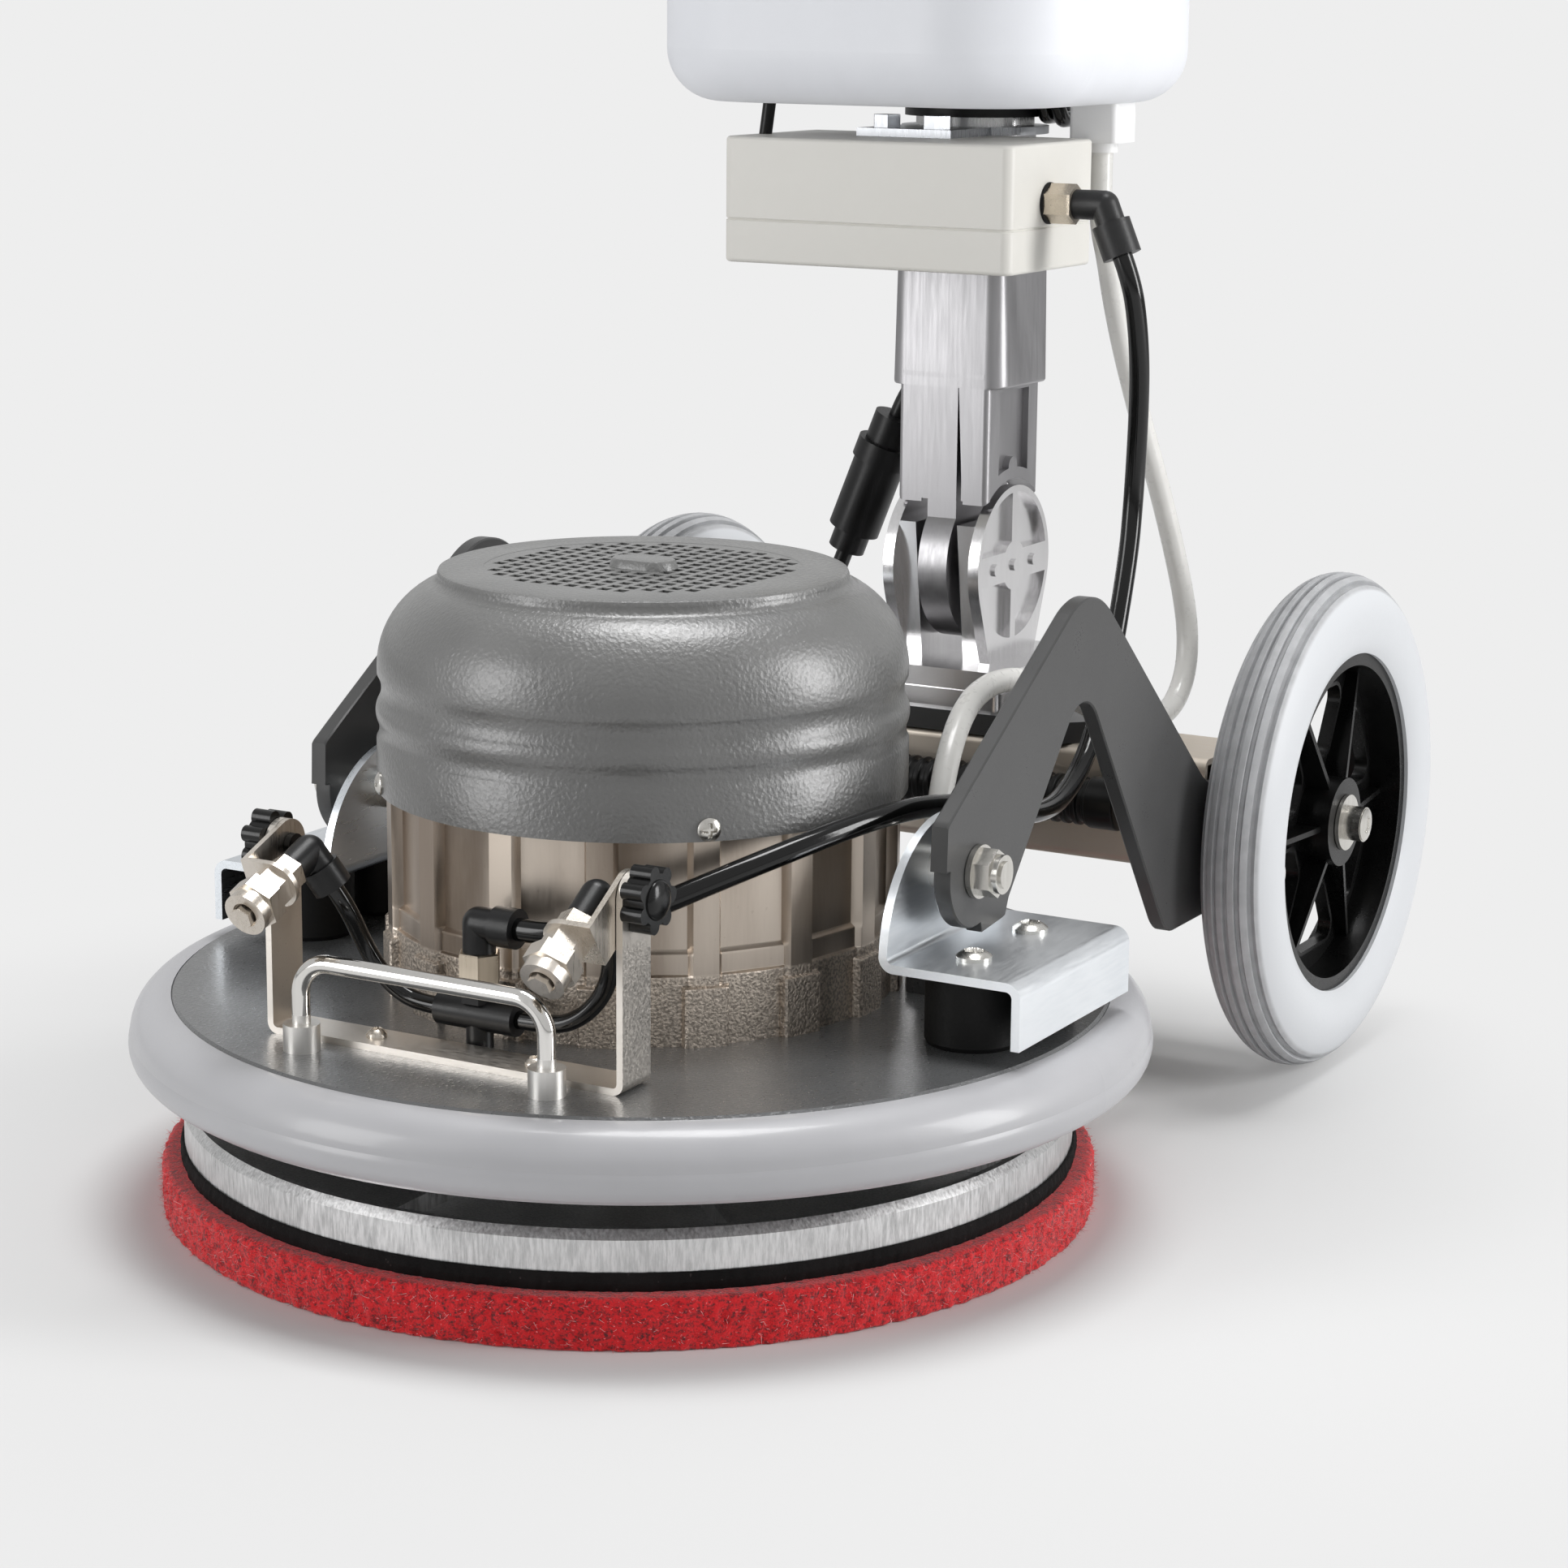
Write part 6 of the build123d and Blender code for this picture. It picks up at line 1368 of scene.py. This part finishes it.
    def build(self, shop: Workshop) -> None:
        """Make the casting, the cover and its screws, and dress what they hide.

        Args:
            shop: where pieces are made.
        """
        casting = self.casting()
        shop.piece("motor_casting", casting, "deck", Finishes.MOTOR, ["motor_body"], 30.0)
        spun = Shell.turned(self.cover_profile(), AxisFrame(), 256)
        whole = Shell.join([spun, self.grille(), self.oval()])
        shop.piece("cover_spun", whole, "deck", Finishes.COVER, ["fan_cover"], 32.0)
        rim = self.cover_radius - 0.2
        outward = [(math.cos(a), math.sin(a)) for a in np.radians([45.0, 135.0, 225.0, 315.0])]
        spots = [AxisFrame((rim * x, rim * y, self.screw_height), (x, y, 0.0)) for x, y in outward]
        shop.piece("cover_screws", self.screw.shells(spots), "deck", Finishes.FASTENER)
        shop.dress({Finishes.FITTING: "cooling_fan", Finishes.COVER: "terminal_box"})


@dataclass
class SprayBar:
    """Carry handle, bracket, nozzles, tee and knobs at the front."""

    screw_x: float = 41.0
    screw_y: float = -153.0
    screw: ScrewHead = ScrewHead(4.6, 4.2, Drive.HEXAGON)
    bracket_top: float = 105.0
    knob_face: float = 101.5
    knob_axis: Pair = (-153.0, 185.0)
    dome: Pair = (8.6, 3.4)
    hexagon: Point = (9.7, 130.5, 144.5)
    hexagon_edge: float = 0.6
    tee_y: float = -134.0

    def knob_dome(self, sign: float) -> Shell:
        """Turned about X: h = H sqrt(1 - (r/R)^2), closed just under the knob's face.

        Args:
            sign: -1 for the left knob, 1 for the right one.

        Returns:
            The dome's surface.
        """
        size, rise = self.dome
        share = np.sin(np.linspace(np.pi / 2.0, 0.0, 14))
        rows = columns(size * share, rise * np.sqrt(1.0 - share**2))
        profile = np.concatenate([[(0.0, -0.5), (size, -0.5)], rows])
        frame = AxisFrame((sign * self.knob_face, *self.knob_axis), (sign, 0.0, 0.0))
        return Shell.turned(profile, frame, 48)

    def feed_hexagon(self) -> Shell:
        """Bevelled hexagon: a profile turned about the tee's axis in six segments.

        Returns:
            The hexagon's surface.
        """
        (size, low, high), edge = self.hexagon, self.hexagon_edge
        rows = [(0.0, low), (size - edge, low), (size, low + edge)]
        rows += [(size, high - edge), (size - edge, high), (0.0, high)]
        return Shell.turned(rows, AxisFrame((0.0, self.tee_y, 0.0)), 6)

    def build(self, shop: Workshop) -> None:
        """Make the knob domes, the bracket's screws and the feed hexagon, and dress the fittings.

        Args:
            shop: where pieces are made.
        """
        for side, sign in SIDES:
            dome = self.knob_dome(sign)
            shop.piece(f"knob_dome_{side}", dome, f"knob_{side}", Finishes.KNOB)
        spots = [AxisFrame((sign * self.screw_x, self.screw_y, self.bracket_top)) for _, sign in SIDES]
        shop.piece("bracket_screws", self.screw.shells(spots), "deck", Finishes.NICKEL)
        shop.piece("feed_hexagon", self.feed_hexagon(), "deck", Finishes.BRASS)
        wears = {
            Finishes.CHROME: "carry_handle",
            Finishes.STAINLESS: "nozzle_bracket",
            Finishes.NICKEL: "spray_nozzle_left spray_nozzle_right",
            Finishes.FITTING: "spray_tee nozzle_elbow_left nozzle_elbow_right",
            Finishes.KNOB: "knob_left knob_right",
        }
        shop.dress(wears)


@dataclass
class Deck:
    """Round deck with its bumper ring, which are shown as packed."""

    def build(self, shop: Workshop) -> None:
        """Dress the deck and its bumper."""
        shop.dress({Finishes.DECK: "deck_housing", Finishes.BUMPER: "bumper_ring"})


@dataclass
class Frame:
    """Pivot brackets, arms, crossbeam, clevis and the conduit."""

    conduit_y: float = 261.7
    conduit_z: float = 146.0
    conduit_span: Pair = (-70.0, 122.0)
    crest: float = 12.5
    root: float = 10.8
    rib_pitch: float = 6.4
    cuff: Pair = (13.3, 16.0)
    screw_x: float = 178.0
    screw_y: Pair = (-16.0, 40.0)
    screw: ScrewHead = ScrewHead(8.0, 4.5, Drive.HEXAGON)
    saddle_top: float = 139.0
    axle_end: float = 216.3
    axle_socket: ScrewHead = ScrewHead(8.4, 1.6, Drive.HEXAGON)
    axle: Pair = AXLE
    pivot: Pair = (3.0, 173.0)
    arm_faces: Pair = (169.0, 161.0)
    arm_edge: float = 0.8
    arm_ends: Pair = (25.5, 32.5)
    arm_notch: Pair = (-25.8, 177.7)
    nose_reach: float = 32.0
    arm_top: tuple[Point, ...] = ((-25.0, 198.4, 1.2), (116.8, 287.0, 38.0), (262.1, 161.0, 40.0))
    arm_tooth: tuple[Point, ...] = ((9.3, 143.2, 1.2), (32.3, 145.6, 1.2), (35.7, 153.4, 1.2))
    arm_inside: tuple[Point, ...] = ((111.3, 241.2, 19.0), (214.4, 96.0, 18.0))
    arm_steps: tuple[int, int, int] = (16, 90, 110)

    def arm_lines(self) -> list[Array]:
        """Draw both edges of an arm, each from the nose's notch to the back of the axle.

        Returns:
            Points of the upper and of the lower edge, matched at the peak.
        """
        (nose, tail), (pivot, axle) = self.arm_ends, np.array([self.pivot, self.axle])
        notch, tooth = np.array(self.arm_notch), np.array(self.arm_tooth[0][:2])
        start, leave = (pivot + nose * unit(point - pivot) for point in (notch, tooth))
        under = arc_through(start, pivot + nose * unit(start + leave - 2.0 * pivot), leave, 20)
        ledge = float(np.linalg.norm(start - notch))
        above = (1.0, [(*notch, 0.0), *self.arm_top], [], self.nose_reach)
        below = [(*leave, 0.0), *self.arm_tooth, *self.arm_inside]
        edges = []
        for sign, corners, nose_line, reach in (above, (-1.0, below, [[notch], under[:-1]], ledge)):
            line = rounded([*corners, (axle[0], axle[1] + sign * tail, 0.0)], 18)
            turn = arc_through(line[-1], axle + tail * unit((1.0, sign)), axle + (tail, 0.0), 16)
            edges.append(self.spread(np.concatenate([*nose_line, line, turn[1:]]), reach))
        return edges

    def spread(self, line: Array, reach: float) -> Array:
        """Space points evenly by length in three stretches: round the nose, up to the peak, and to the end.

        Args:
            line: points of the line.
            reach: length of the stretch round the nose.

        Returns:
            As many points in each stretch, whichever line is given.
        """
        gone = travelled(line)
        marks = (0.0, reach, gone[np.argmax(line[:, 1])], gone[-1])
        stretches = zip(marks, marks[1:], self.arm_steps)
        steps = [np.linspace(low, high, count, endpoint=False) for low, high, count in stretches]
        along = np.concatenate([*steps, gone[-1:]])
        return columns(*(np.interp(along, gone, values) for values in line.T))

    def arm(self, sign: float) -> Shell:
        """Plate between the edges: p(u, v) = (1 - v) lower(u) + v upper(u) on each face, with narrow bevels.

        Args:
            sign: 1 for the right arm and -1 for the left.

        Returns:
            The closed surface.
        """
        upper, lower = self.arm_lines()
        across = upper - lower
        width = np.linalg.norm(across, axis=1, keepdims=True)
        inset = across / np.maximum(width, 1e-6) * np.minimum(self.arm_edge, width * 0.3)
        (outer, inner), edge = self.arm_faces, self.arm_edge
        low, high = lower + inset, upper - inset
        edges = [(lower, outer - edge), (low, outer), (high, outer), (upper, outer - edge)]
        edges += [(upper, inner + edge), (high, inner), (low, inner), (lower, inner + edge)]
        rows = [columns(sign * x, *line.T) for line, x in edges]
        return Shell.capped(np.stack(rows, axis=1) * MM)

    def conduit(self) -> Shell:
        """Turned about X: a cuff at each end, and r = root + (crest - root) * a rounded square wave between.

        Returns:
            The conduit's surface.
        """
        (start, end), (size, reach), root = self.conduit_span, self.cuff, self.root
        ribbed = np.linspace(start + reach, end - reach, 640)
        wave = np.cos(TURN * (ribbed - ribbed[0]) / self.rib_pitch)
        ribs = columns(root + (self.crest - root) * ease(-0.55, 0.55, wave), ribbed)
        first, last = (
            rounded([(0, tip, 0), (size, tip, 1.2), (size, foot, 0.8), (root, foot, 0)])
            for tip, foot in ((start, start + reach), (end, end - reach))
        )
        frame = AxisFrame((0.0, self.conduit_y, self.conduit_z), (1.0, 0.0, 0.0))
        return Shell.turned(np.concatenate([first[:-1], ribs, last[-2::-1]]), frame, 64)

    def build(self, shop: Workshop) -> None:
        """Make the arms, the ribbed conduit, the buffer screws and the axle's sockets, and dress the rest.

        Args:
            shop: where pieces are made.
        """
        signs = [sign for _, sign in SIDES]
        spots = [AxisFrame((sign * self.screw_x, y, self.saddle_top)) for sign in signs for y in self.screw_y]
        heads, steel = self.screw.shells(spots), "bearing_steel"
        shop.piece("buffer_heads", heads, "deck", Finishes.FASTENER, ["buffer_screws"])
        ends = [AxisFrame((sign * self.axle_end, *self.axle), (sign, 0.0, 0.0)) for sign in signs]
        shop.piece("axle_sockets", self.axle_socket.shells(ends), "frame", Finishes.FASTENER)
        shop.piece("conduit_ribs", self.conduit(), "frame", Finishes.LEAD, ["conduit"], 50.0)
        for side, sign in SIDES:
            plate, solid = self.arm(sign), [f"arm_{side}"]
            shop.piece(f"arm_plate_{side}", plate, "frame", Finishes.ARM, solid, 30.0)
        wears = {
            Finishes.ZINC: "pivot_brackets",
            Finishes.BUFFER: "rubber_buffers",
            Finishes.FASTENER: "pivot_bolts hinge_pin axle",
            Finishes.ARM: "base_plate",
            Finishes.BEAM: "crossbeam",
            Finishes.CASTING: "clevis",
            Finishes.FITTING: "lead_connector",
        }
        shop.dress(wears)


@dataclass
class Wheels:
    """Two grooved tyres on ribbed rims."""

    radius: float = AXLE[1]
    axle: Pair = AXLE
    inner_face: float = 172.0
    width: float = 40.0
    seat: float = 88.0
    bead_half: float = 15.0
    widest: float = 105.0
    crown_half: float = 14.5
    crown_drop: float = 7.0
    grooves: int = 5
    groove_pitch: float = 6.0
    groove_width: float = 2.2
    groove_depth: float = 2.2

    def tyre(self, sign: float) -> Shell:
        """Turned about X: two sidewall arcs and a crown arc, sunk along its radius by d * ease at a groove.

        Args:
            sign: -1 for the left wheel, 1 for the right one.

        Returns:
            The tyre's surface.
        """
        half, shoulder = self.width / 2.0, self.radius - self.crown_drop
        bead, side, edge = (self.bead_half, self.seat), (half, self.widest), (self.crown_half, shoulder)
        far_bead, far_side, far_edge = ((-x, radius) for x, radius in (bead, side, edge))
        left = arc_through(far_bead, far_side, far_edge, 36)
        crown = arc_through(far_edge, (0.0, self.radius), edge, 260)
        right = arc_through(edge, side, bead, 36)
        bend = (self.crown_half**2 + self.crown_drop**2) / (2.0 * self.crown_drop)
        outward = (crown - np.array([0.0, self.radius - bend])) / bend
        spots = (np.arange(self.grooves) - (self.grooves - 1) / 2.0) * self.groove_pitch
        off = np.abs(crown[:, :1] - spots[None, :]).min(axis=1, keepdims=True)
        cut = ease(self.groove_width / 2.0 + 0.35, self.groove_width / 2.0 - 0.25, off)
        tread = (crown - outward * self.groove_depth * cut)[1:-1]
        section = np.concatenate([left, tread, right, left[:1]])
        frame = AxisFrame((sign * (self.inner_face + half), *self.axle), (1.0, 0.0, 0.0))
        return Shell.turned(section[:, ::-1], frame, 160)

    def build(self, shop: Workshop) -> None:
        """Make the tyres and dress the rims.

        Args:
            shop: where pieces are made.
        """
        for side, sign in SIDES:
            tyre, body, solid = self.tyre(sign), f"wheel_{side}", [f"tyre_{side}"]
            shop.piece(f"tread_{side}", tyre, body, Finishes.TYRE, solid, 40.0)
        shop.dress({Finishes.RIM: "rim_left rim_right"})


@dataclass
class Mast:
    """Cast foot, pump box, tank and control head."""

    mast_y: float = 325.0
    wire: tuple[Point, Point] = ((-75.0, 238.0, 473.0), (-72.0, 238.0, 494.0))
    wire_size: float = 6.6
    seat: Pair = (30.7, 36.3)
    seat_height: Pair = (484.0, 492.4)
    coil: tuple[Pair, ...] = ((41.0, 484.5), (50.0, 483.0))
    coil_arc: Pair = (-15.0, 60.0)
    coil_size: float = 8.0
    coil_rise: float = 14.0
    port: Point = (80.0, 247.0, 446.0)
    port_ring: Pair = (10.2, 1.2)
    shim_y: Pair = (295.5, 352.0)
    shim_z: Pair = (299.0, 349.6)
    shim_x: tuple[Pair, ...] = ((-9.0, -9.0), (10.9, 8.7))
    slot_x: float = 11.9
    foot_corner: Point = (26.0, 3.0, 295.0)
    skin_z: Pair = (288.0, 354.0)
    skin_layers: Pair = (-0.35, 1.5)
    skin_half: float = 25.9
    wedge: Point = (8.4, 8.7, 11.2)
    wedge_z: Pair = (350.0, 299.0)
    sleeve_ends: tuple[Point, Point] = ((346.6, 32.8, 294.6), (404.9, 31.3, 295.2))
    sleeve_back: float = 355.2
    sleeve_flat: float = 23.0
    sleeve_lip: float = 1.6

    def skin(self, height: Array, left: Array, right: Array) -> Shell:
        """Thin body over the foot's front: p(u, z) = (left + u (right - left), depth(u), z), closed inside.

        Args:
            height: heights of the rows in millimetres.
            left: left edge of each row.
            right: right edge of each row.

        Returns:
            The closed surface.
        """
        across = left[:, None] + (right - left)[:, None] * np.linspace(0.0, 1.0, 61)
        half, radius, base = self.foot_corner
        over = np.clip(np.abs(across) - (half - radius), 0.0, radius)
        front = base + radius - np.sqrt(radius**2 - over**2)
        outer, inner = (columns(across, front + layer, height[:, None]) for layer in self.skin_layers)
        loops = np.concatenate([outer, inner[:, ::-1]], axis=1)
        first, last = (np.concatenate([inner[[row]], inner[[row], ::-1]], axis=1) for row in (0, -1))
        return Shell.capped(np.concatenate([first, loops, last]) * MM)

    def face(self) -> Shell:
        """Both sides of the foot's front skin, parted by the wedge-shaped slot.

        Returns:
            The two skins.
        """
        tongue, top, foot = self.wedge
        high, low = self.wedge_z
        height = np.linspace(*self.skin_z, 25)
        ones = np.ones_like(height)
        edge = top + (foot - top) * np.clip((high - height) / (high - low), 0.0, 1.0)
        left = self.skin(height, -self.skin_half * ones, tongue * ones)
        return Shell.join([left, self.skin(height, edge, self.skin_half * ones)])

    def sleeve(self) -> Shell:
        """Rounded rectangles stacked along Z, narrower to the top, and drawn in at the lip except in front.

        Returns:
            The closed surface.
        """
        (low, wide, near), (high, slim, far) = self.sleeve_ends
        lip, flat, steps = self.sleeve_lip, self.sleeve_flat, 12
        turn = np.linspace(0.0, TURN / 4.0, 8)
        lift = np.append(lip * (1.0 - np.cos(turn)), np.linspace(lip, high - low, steps)[1:])[:, None]
        inset = np.append(lip * (1.0 - np.sin(turn)), np.zeros(steps - 1))[:, None]
        share = lift / (high - low)
        radius = wide + (slim - wide) * share - flat - inset
        front = near + (far - near) * share + radius
        back = self.sleeve_back - inset - radius
        angle = (np.arange(4)[:, None] * TURN / 4.0 + np.linspace(0.0, TURN / 4.0, steps)).ravel()
        x = np.repeat([flat, -flat, -flat, flat], steps) + radius * np.cos(angle)
        y = np.where(np.repeat([True, True, False, False], steps), back, front) + radius * np.sin(angle)
        return Shell.capped(columns(x, y, low + lift) * MM)

    def shims(self) -> Shell:
        """Straight blocks, from a lower to an upper rectangle, that close the foot's two slots to fine lines.

        Returns:
            The two blocks.
        """
        (front, back), (low, high) = self.shim_y, self.shim_z
        blocks = []
        for foot, head in self.shim_x:
            side = math.copysign(self.slot_x, foot)
            outlines = [
                [(inner, front, z), (side, front, z), (side, back, z), (inner, back, z)]
                for inner, z in ((foot, low), (head, high))
            ]
            blocks.append(Shell.capped(np.array(outlines) * MM))
        return Shell.join(blocks)

    def seat_ring(self) -> Shell:
        """Square section turned about the mast, under the tank.

        Returns:
            The ring's surface.
        """
        (inner, outer), (low, high) = self.seat, self.seat_height
        section = [(inner, low), (outer, low), (outer, high), (inner, high), (inner, low)]
        return Shell.turned(section, AxisFrame((0.0, self.mast_y, 0.0)), 72)

    def lead(self) -> Shell:
        """Arcs of cable about the mast, whose ends rise into the tank by h (1 - ease(start) + ease(end)).

        Returns:
            The tubes.
        """
        turn = np.radians(np.linspace(*self.coil_arc, 60))
        start, end = turn[[0, 12]], turn[[-12, -1]]
        lift = self.coil_rise * (1.0 - ease(*start, turn) + ease(*end, turn))
        loops = [
            columns(size * np.cos(turn), self.mast_y + size * np.sin(turn), height + lift)
            for size, height in self.coil
        ]
        return Shell.join([Shell.tube(loop * MM, self.coil_size / 2.0 * MM) for loop in loops])

    def washer(self) -> Shell:
        """Flat disc with a bevelled edge, turned about the pump's port.

        Returns:
            The disc's surface.
        """
        size, thick = self.port_ring
        rows = [(0.0, 0.1), (size, 0.1), (size, thick - 0.4), (size - 0.4, thick), (0.0, thick)]
        return Shell.turned(rows, AxisFrame(self.port, (1.0, 0.0, 0.0)), 64)

    def build(self, shop: Workshop) -> None:
        """Make the tank's seat and lead, the foot's skins and the pump's ring and wire, and dress the mast.

        Args:
            shop: where pieces are made.
        """
        shop.piece("tank_seat", self.seat_ring(), "mast", Finishes.FITTING)
        casts = {"foot_shims": self.shims(), "foot_face": self.face(), "sleeve_shell": self.sleeve()}
        for name, shell in casts.items():
            shop.piece(name, shell, "mast", Finishes.FOOT)
        shop.piece("tank_lead", self.lead(), "mast", Finishes.HOSE, sharp=50.0)
        shop.piece("port_ring", self.washer(), "mast", Finishes.BUFFER)
        wire = Shell.tube(np.linspace(*np.array(self.wire), 6) * MM, self.wire_size / 2.0 * MM)
        shop.piece("pump_wire", wire, "mast", Finishes.LEAD, sharp=50.0)
        wears = {
            Finishes.FOOT: "mast_foot mast_tongue",
            Finishes.BOX: "pump_base pump_cover",
            Finishes.FITTING: "spray_pump",
            Finishes.PUMP_PORT: "pump_elbow",
            Finishes.MOUNT: "mount_plate",
            Finishes.TUBE: "steering_tube",
            Finishes.TANK: "tank",
            Finishes.OUTLET: "tank_outlet",
            Finishes.HEAD: "control_head",
            Finishes.CAP: "tank_cap switch_lever",
        }
        shop.dress(wears)


# Studio


@dataclass(frozen=True)
class Softbox:
    """A large soft light."""

    name: str
    place: Point
    aim: Point
    size: Pair
    power: float

    def build(self) -> None:
        """Hang the light and turn it to its aim."""
        light = bpy.data.lights.new(self.name, "AREA")
        light.shape = "RECTANGLE"
        light.size, light.size_y = self.size
        light.energy = self.power
        holder = bpy.data.objects.new(self.name, light)
        holder.location = self.place
        holder.rotation_euler = (Vector(self.aim) - Vector(self.place)).to_track_quat("-Z", "Y").to_euler()
        bpy.context.scene.collection.objects.link(holder)


@dataclass
class Studio:
    """Camera, floor, surroundings and lights, in metres."""

    eye: Point = (0.85741, -1.38850, 0.55825)
    right: Point = (0.86986, 0.49322, 0.00878)
    up: Point = (-0.11524, 0.18587, 0.97579)
    forward: Point = (-0.47965, 0.84981, -0.21852)
    lens: float = 83.92
    sensor: float = 36.0
    far_end: float = 400.0
    backdrop: float = 0.855
    floor_reach: float = 180.0
    floor_fade: Pair = (0.28, 0.6)
    floor_tone: float = 0.665
    surround: float = 0.43
    shine: float = 0.6

    def camera(self) -> None:
        """Stand the camera where the photograph was taken from."""
        data = bpy.data.cameras.new("camera")
        data.lens = self.lens
        data.sensor_width = self.sensor
        data.clip_end = self.far_end
        holder = bpy.data.objects.new("camera", data)
        turn = np.stack([self.right, self.up, -np.asarray(self.forward)], axis=1)
        holder.matrix_world = Matrix.Translation(self.eye) @ Matrix(turn.tolist()).to_4x4()
        bpy.context.scene.collection.objects.link(holder)
        bpy.context.scene.camera = holder

    def floor(self) -> None:
        """Lay a wide pale floor: it takes shadow near the machine and fades into the backdrop's own light."""
        mesh = bpy.data.meshes.new("floor")
        corners = [(-1, -1), (1, -1), (1, 1), (-1, 1)]
        reach = self.floor_reach
        mesh.from_pydata([(reach * x, reach * y, 0.0) for x, y in corners], [], [(0, 1, 2, 3)])
        plane = bpy.data.objects.new("floor", mesh)
        material = bpy.data.materials.new("floor")
        material.use_nodes = True
        graph = ShaderGraph(material.node_tree)
        spot = graph.node("ShaderNodeVectorMath", {"operation": "LENGTH"}, {0: graph.place()}, "Value")
        matt = graph.node("ShaderNodeBsdfDiffuse", inputs={"Color": (self.floor_tone,) * 3})
        glow = graph.node("ShaderNodeEmission", inputs={"Color": (self.backdrop,) * 3})
        seen = graph.node("ShaderNodeLightPath", result="Is Camera Ray")
        far = spot.step(*self.floor_fade)
        graph.show(graph.node("ShaderNodeMixShader", inputs={0: far * seen, 1: matt, 2: glow}))
        mesh.materials.append(material)
        bpy.context.scene.collection.objects.link(plane)

    def world(self) -> None:
        """Surround the scene with soft light, brighter in reflections: the camera sees the backdrop."""
        world = bpy.data.worlds.new("studio")
        bpy.context.scene.world = world
        world.use_nodes = True
        graph = ShaderGraph(world.node_tree, "ShaderNodeOutputWorld")
        room, gleam, back = (
            graph.node("ShaderNodeBackground", inputs={"Color": (tone,) * 3, "Strength": strength})
            for tone, strength in ((1.0, self.surround), (1.0, self.shine), (self.backdrop, 1.0))
        )
        shown = room
        for ray, light in (("Is Glossy Ray", gleam), ("Is Camera Ray", back)):
            seen = graph.node("ShaderNodeLightPath", result=ray)
            shown = graph.node("ShaderNodeMixShader", inputs={0: seen, 1: shown, 2: light})
        graph.show(shown)

    def build(self) -> None:
        """Set the studio up."""
        bpy.context.scene.view_settings.view_transform = "Standard"
        self.camera()
        self.floor()
        self.world()
        boxes = [
            Softbox("right", (2.2, 0.75, 0.9), (0.0, 0.0, 0.2), (0.7, 1.6), 36.0),
            Softbox("left", (-1.3, -1.9, 0.78), (0.0, 0.0, 0.2), (0.9, 1.5), 21.0),
            Softbox("top", (0.0, 0.4, 3.0), (0.0, 0.1, 0.0), (1.5, 1.0), 56.0),
        ]
        for box in boxes:
            box.build()


def main() -> None:
    """Load the frame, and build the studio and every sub-assembly."""
    logging.basicConfig(level=logging.INFO, format="%(name)s: %(message)s")
    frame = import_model()
    Studio().build()
    shop = Workshop(frame["nodes"])
    for group in (CordSet(), PadStack(), Deck(), Motor(), SprayBar(), Frame(), Wheels(), Mast()):
        group.build(shop)
        LOG.info("finished %s", type(group).__name__)


if __name__ == "__main__":
    main()
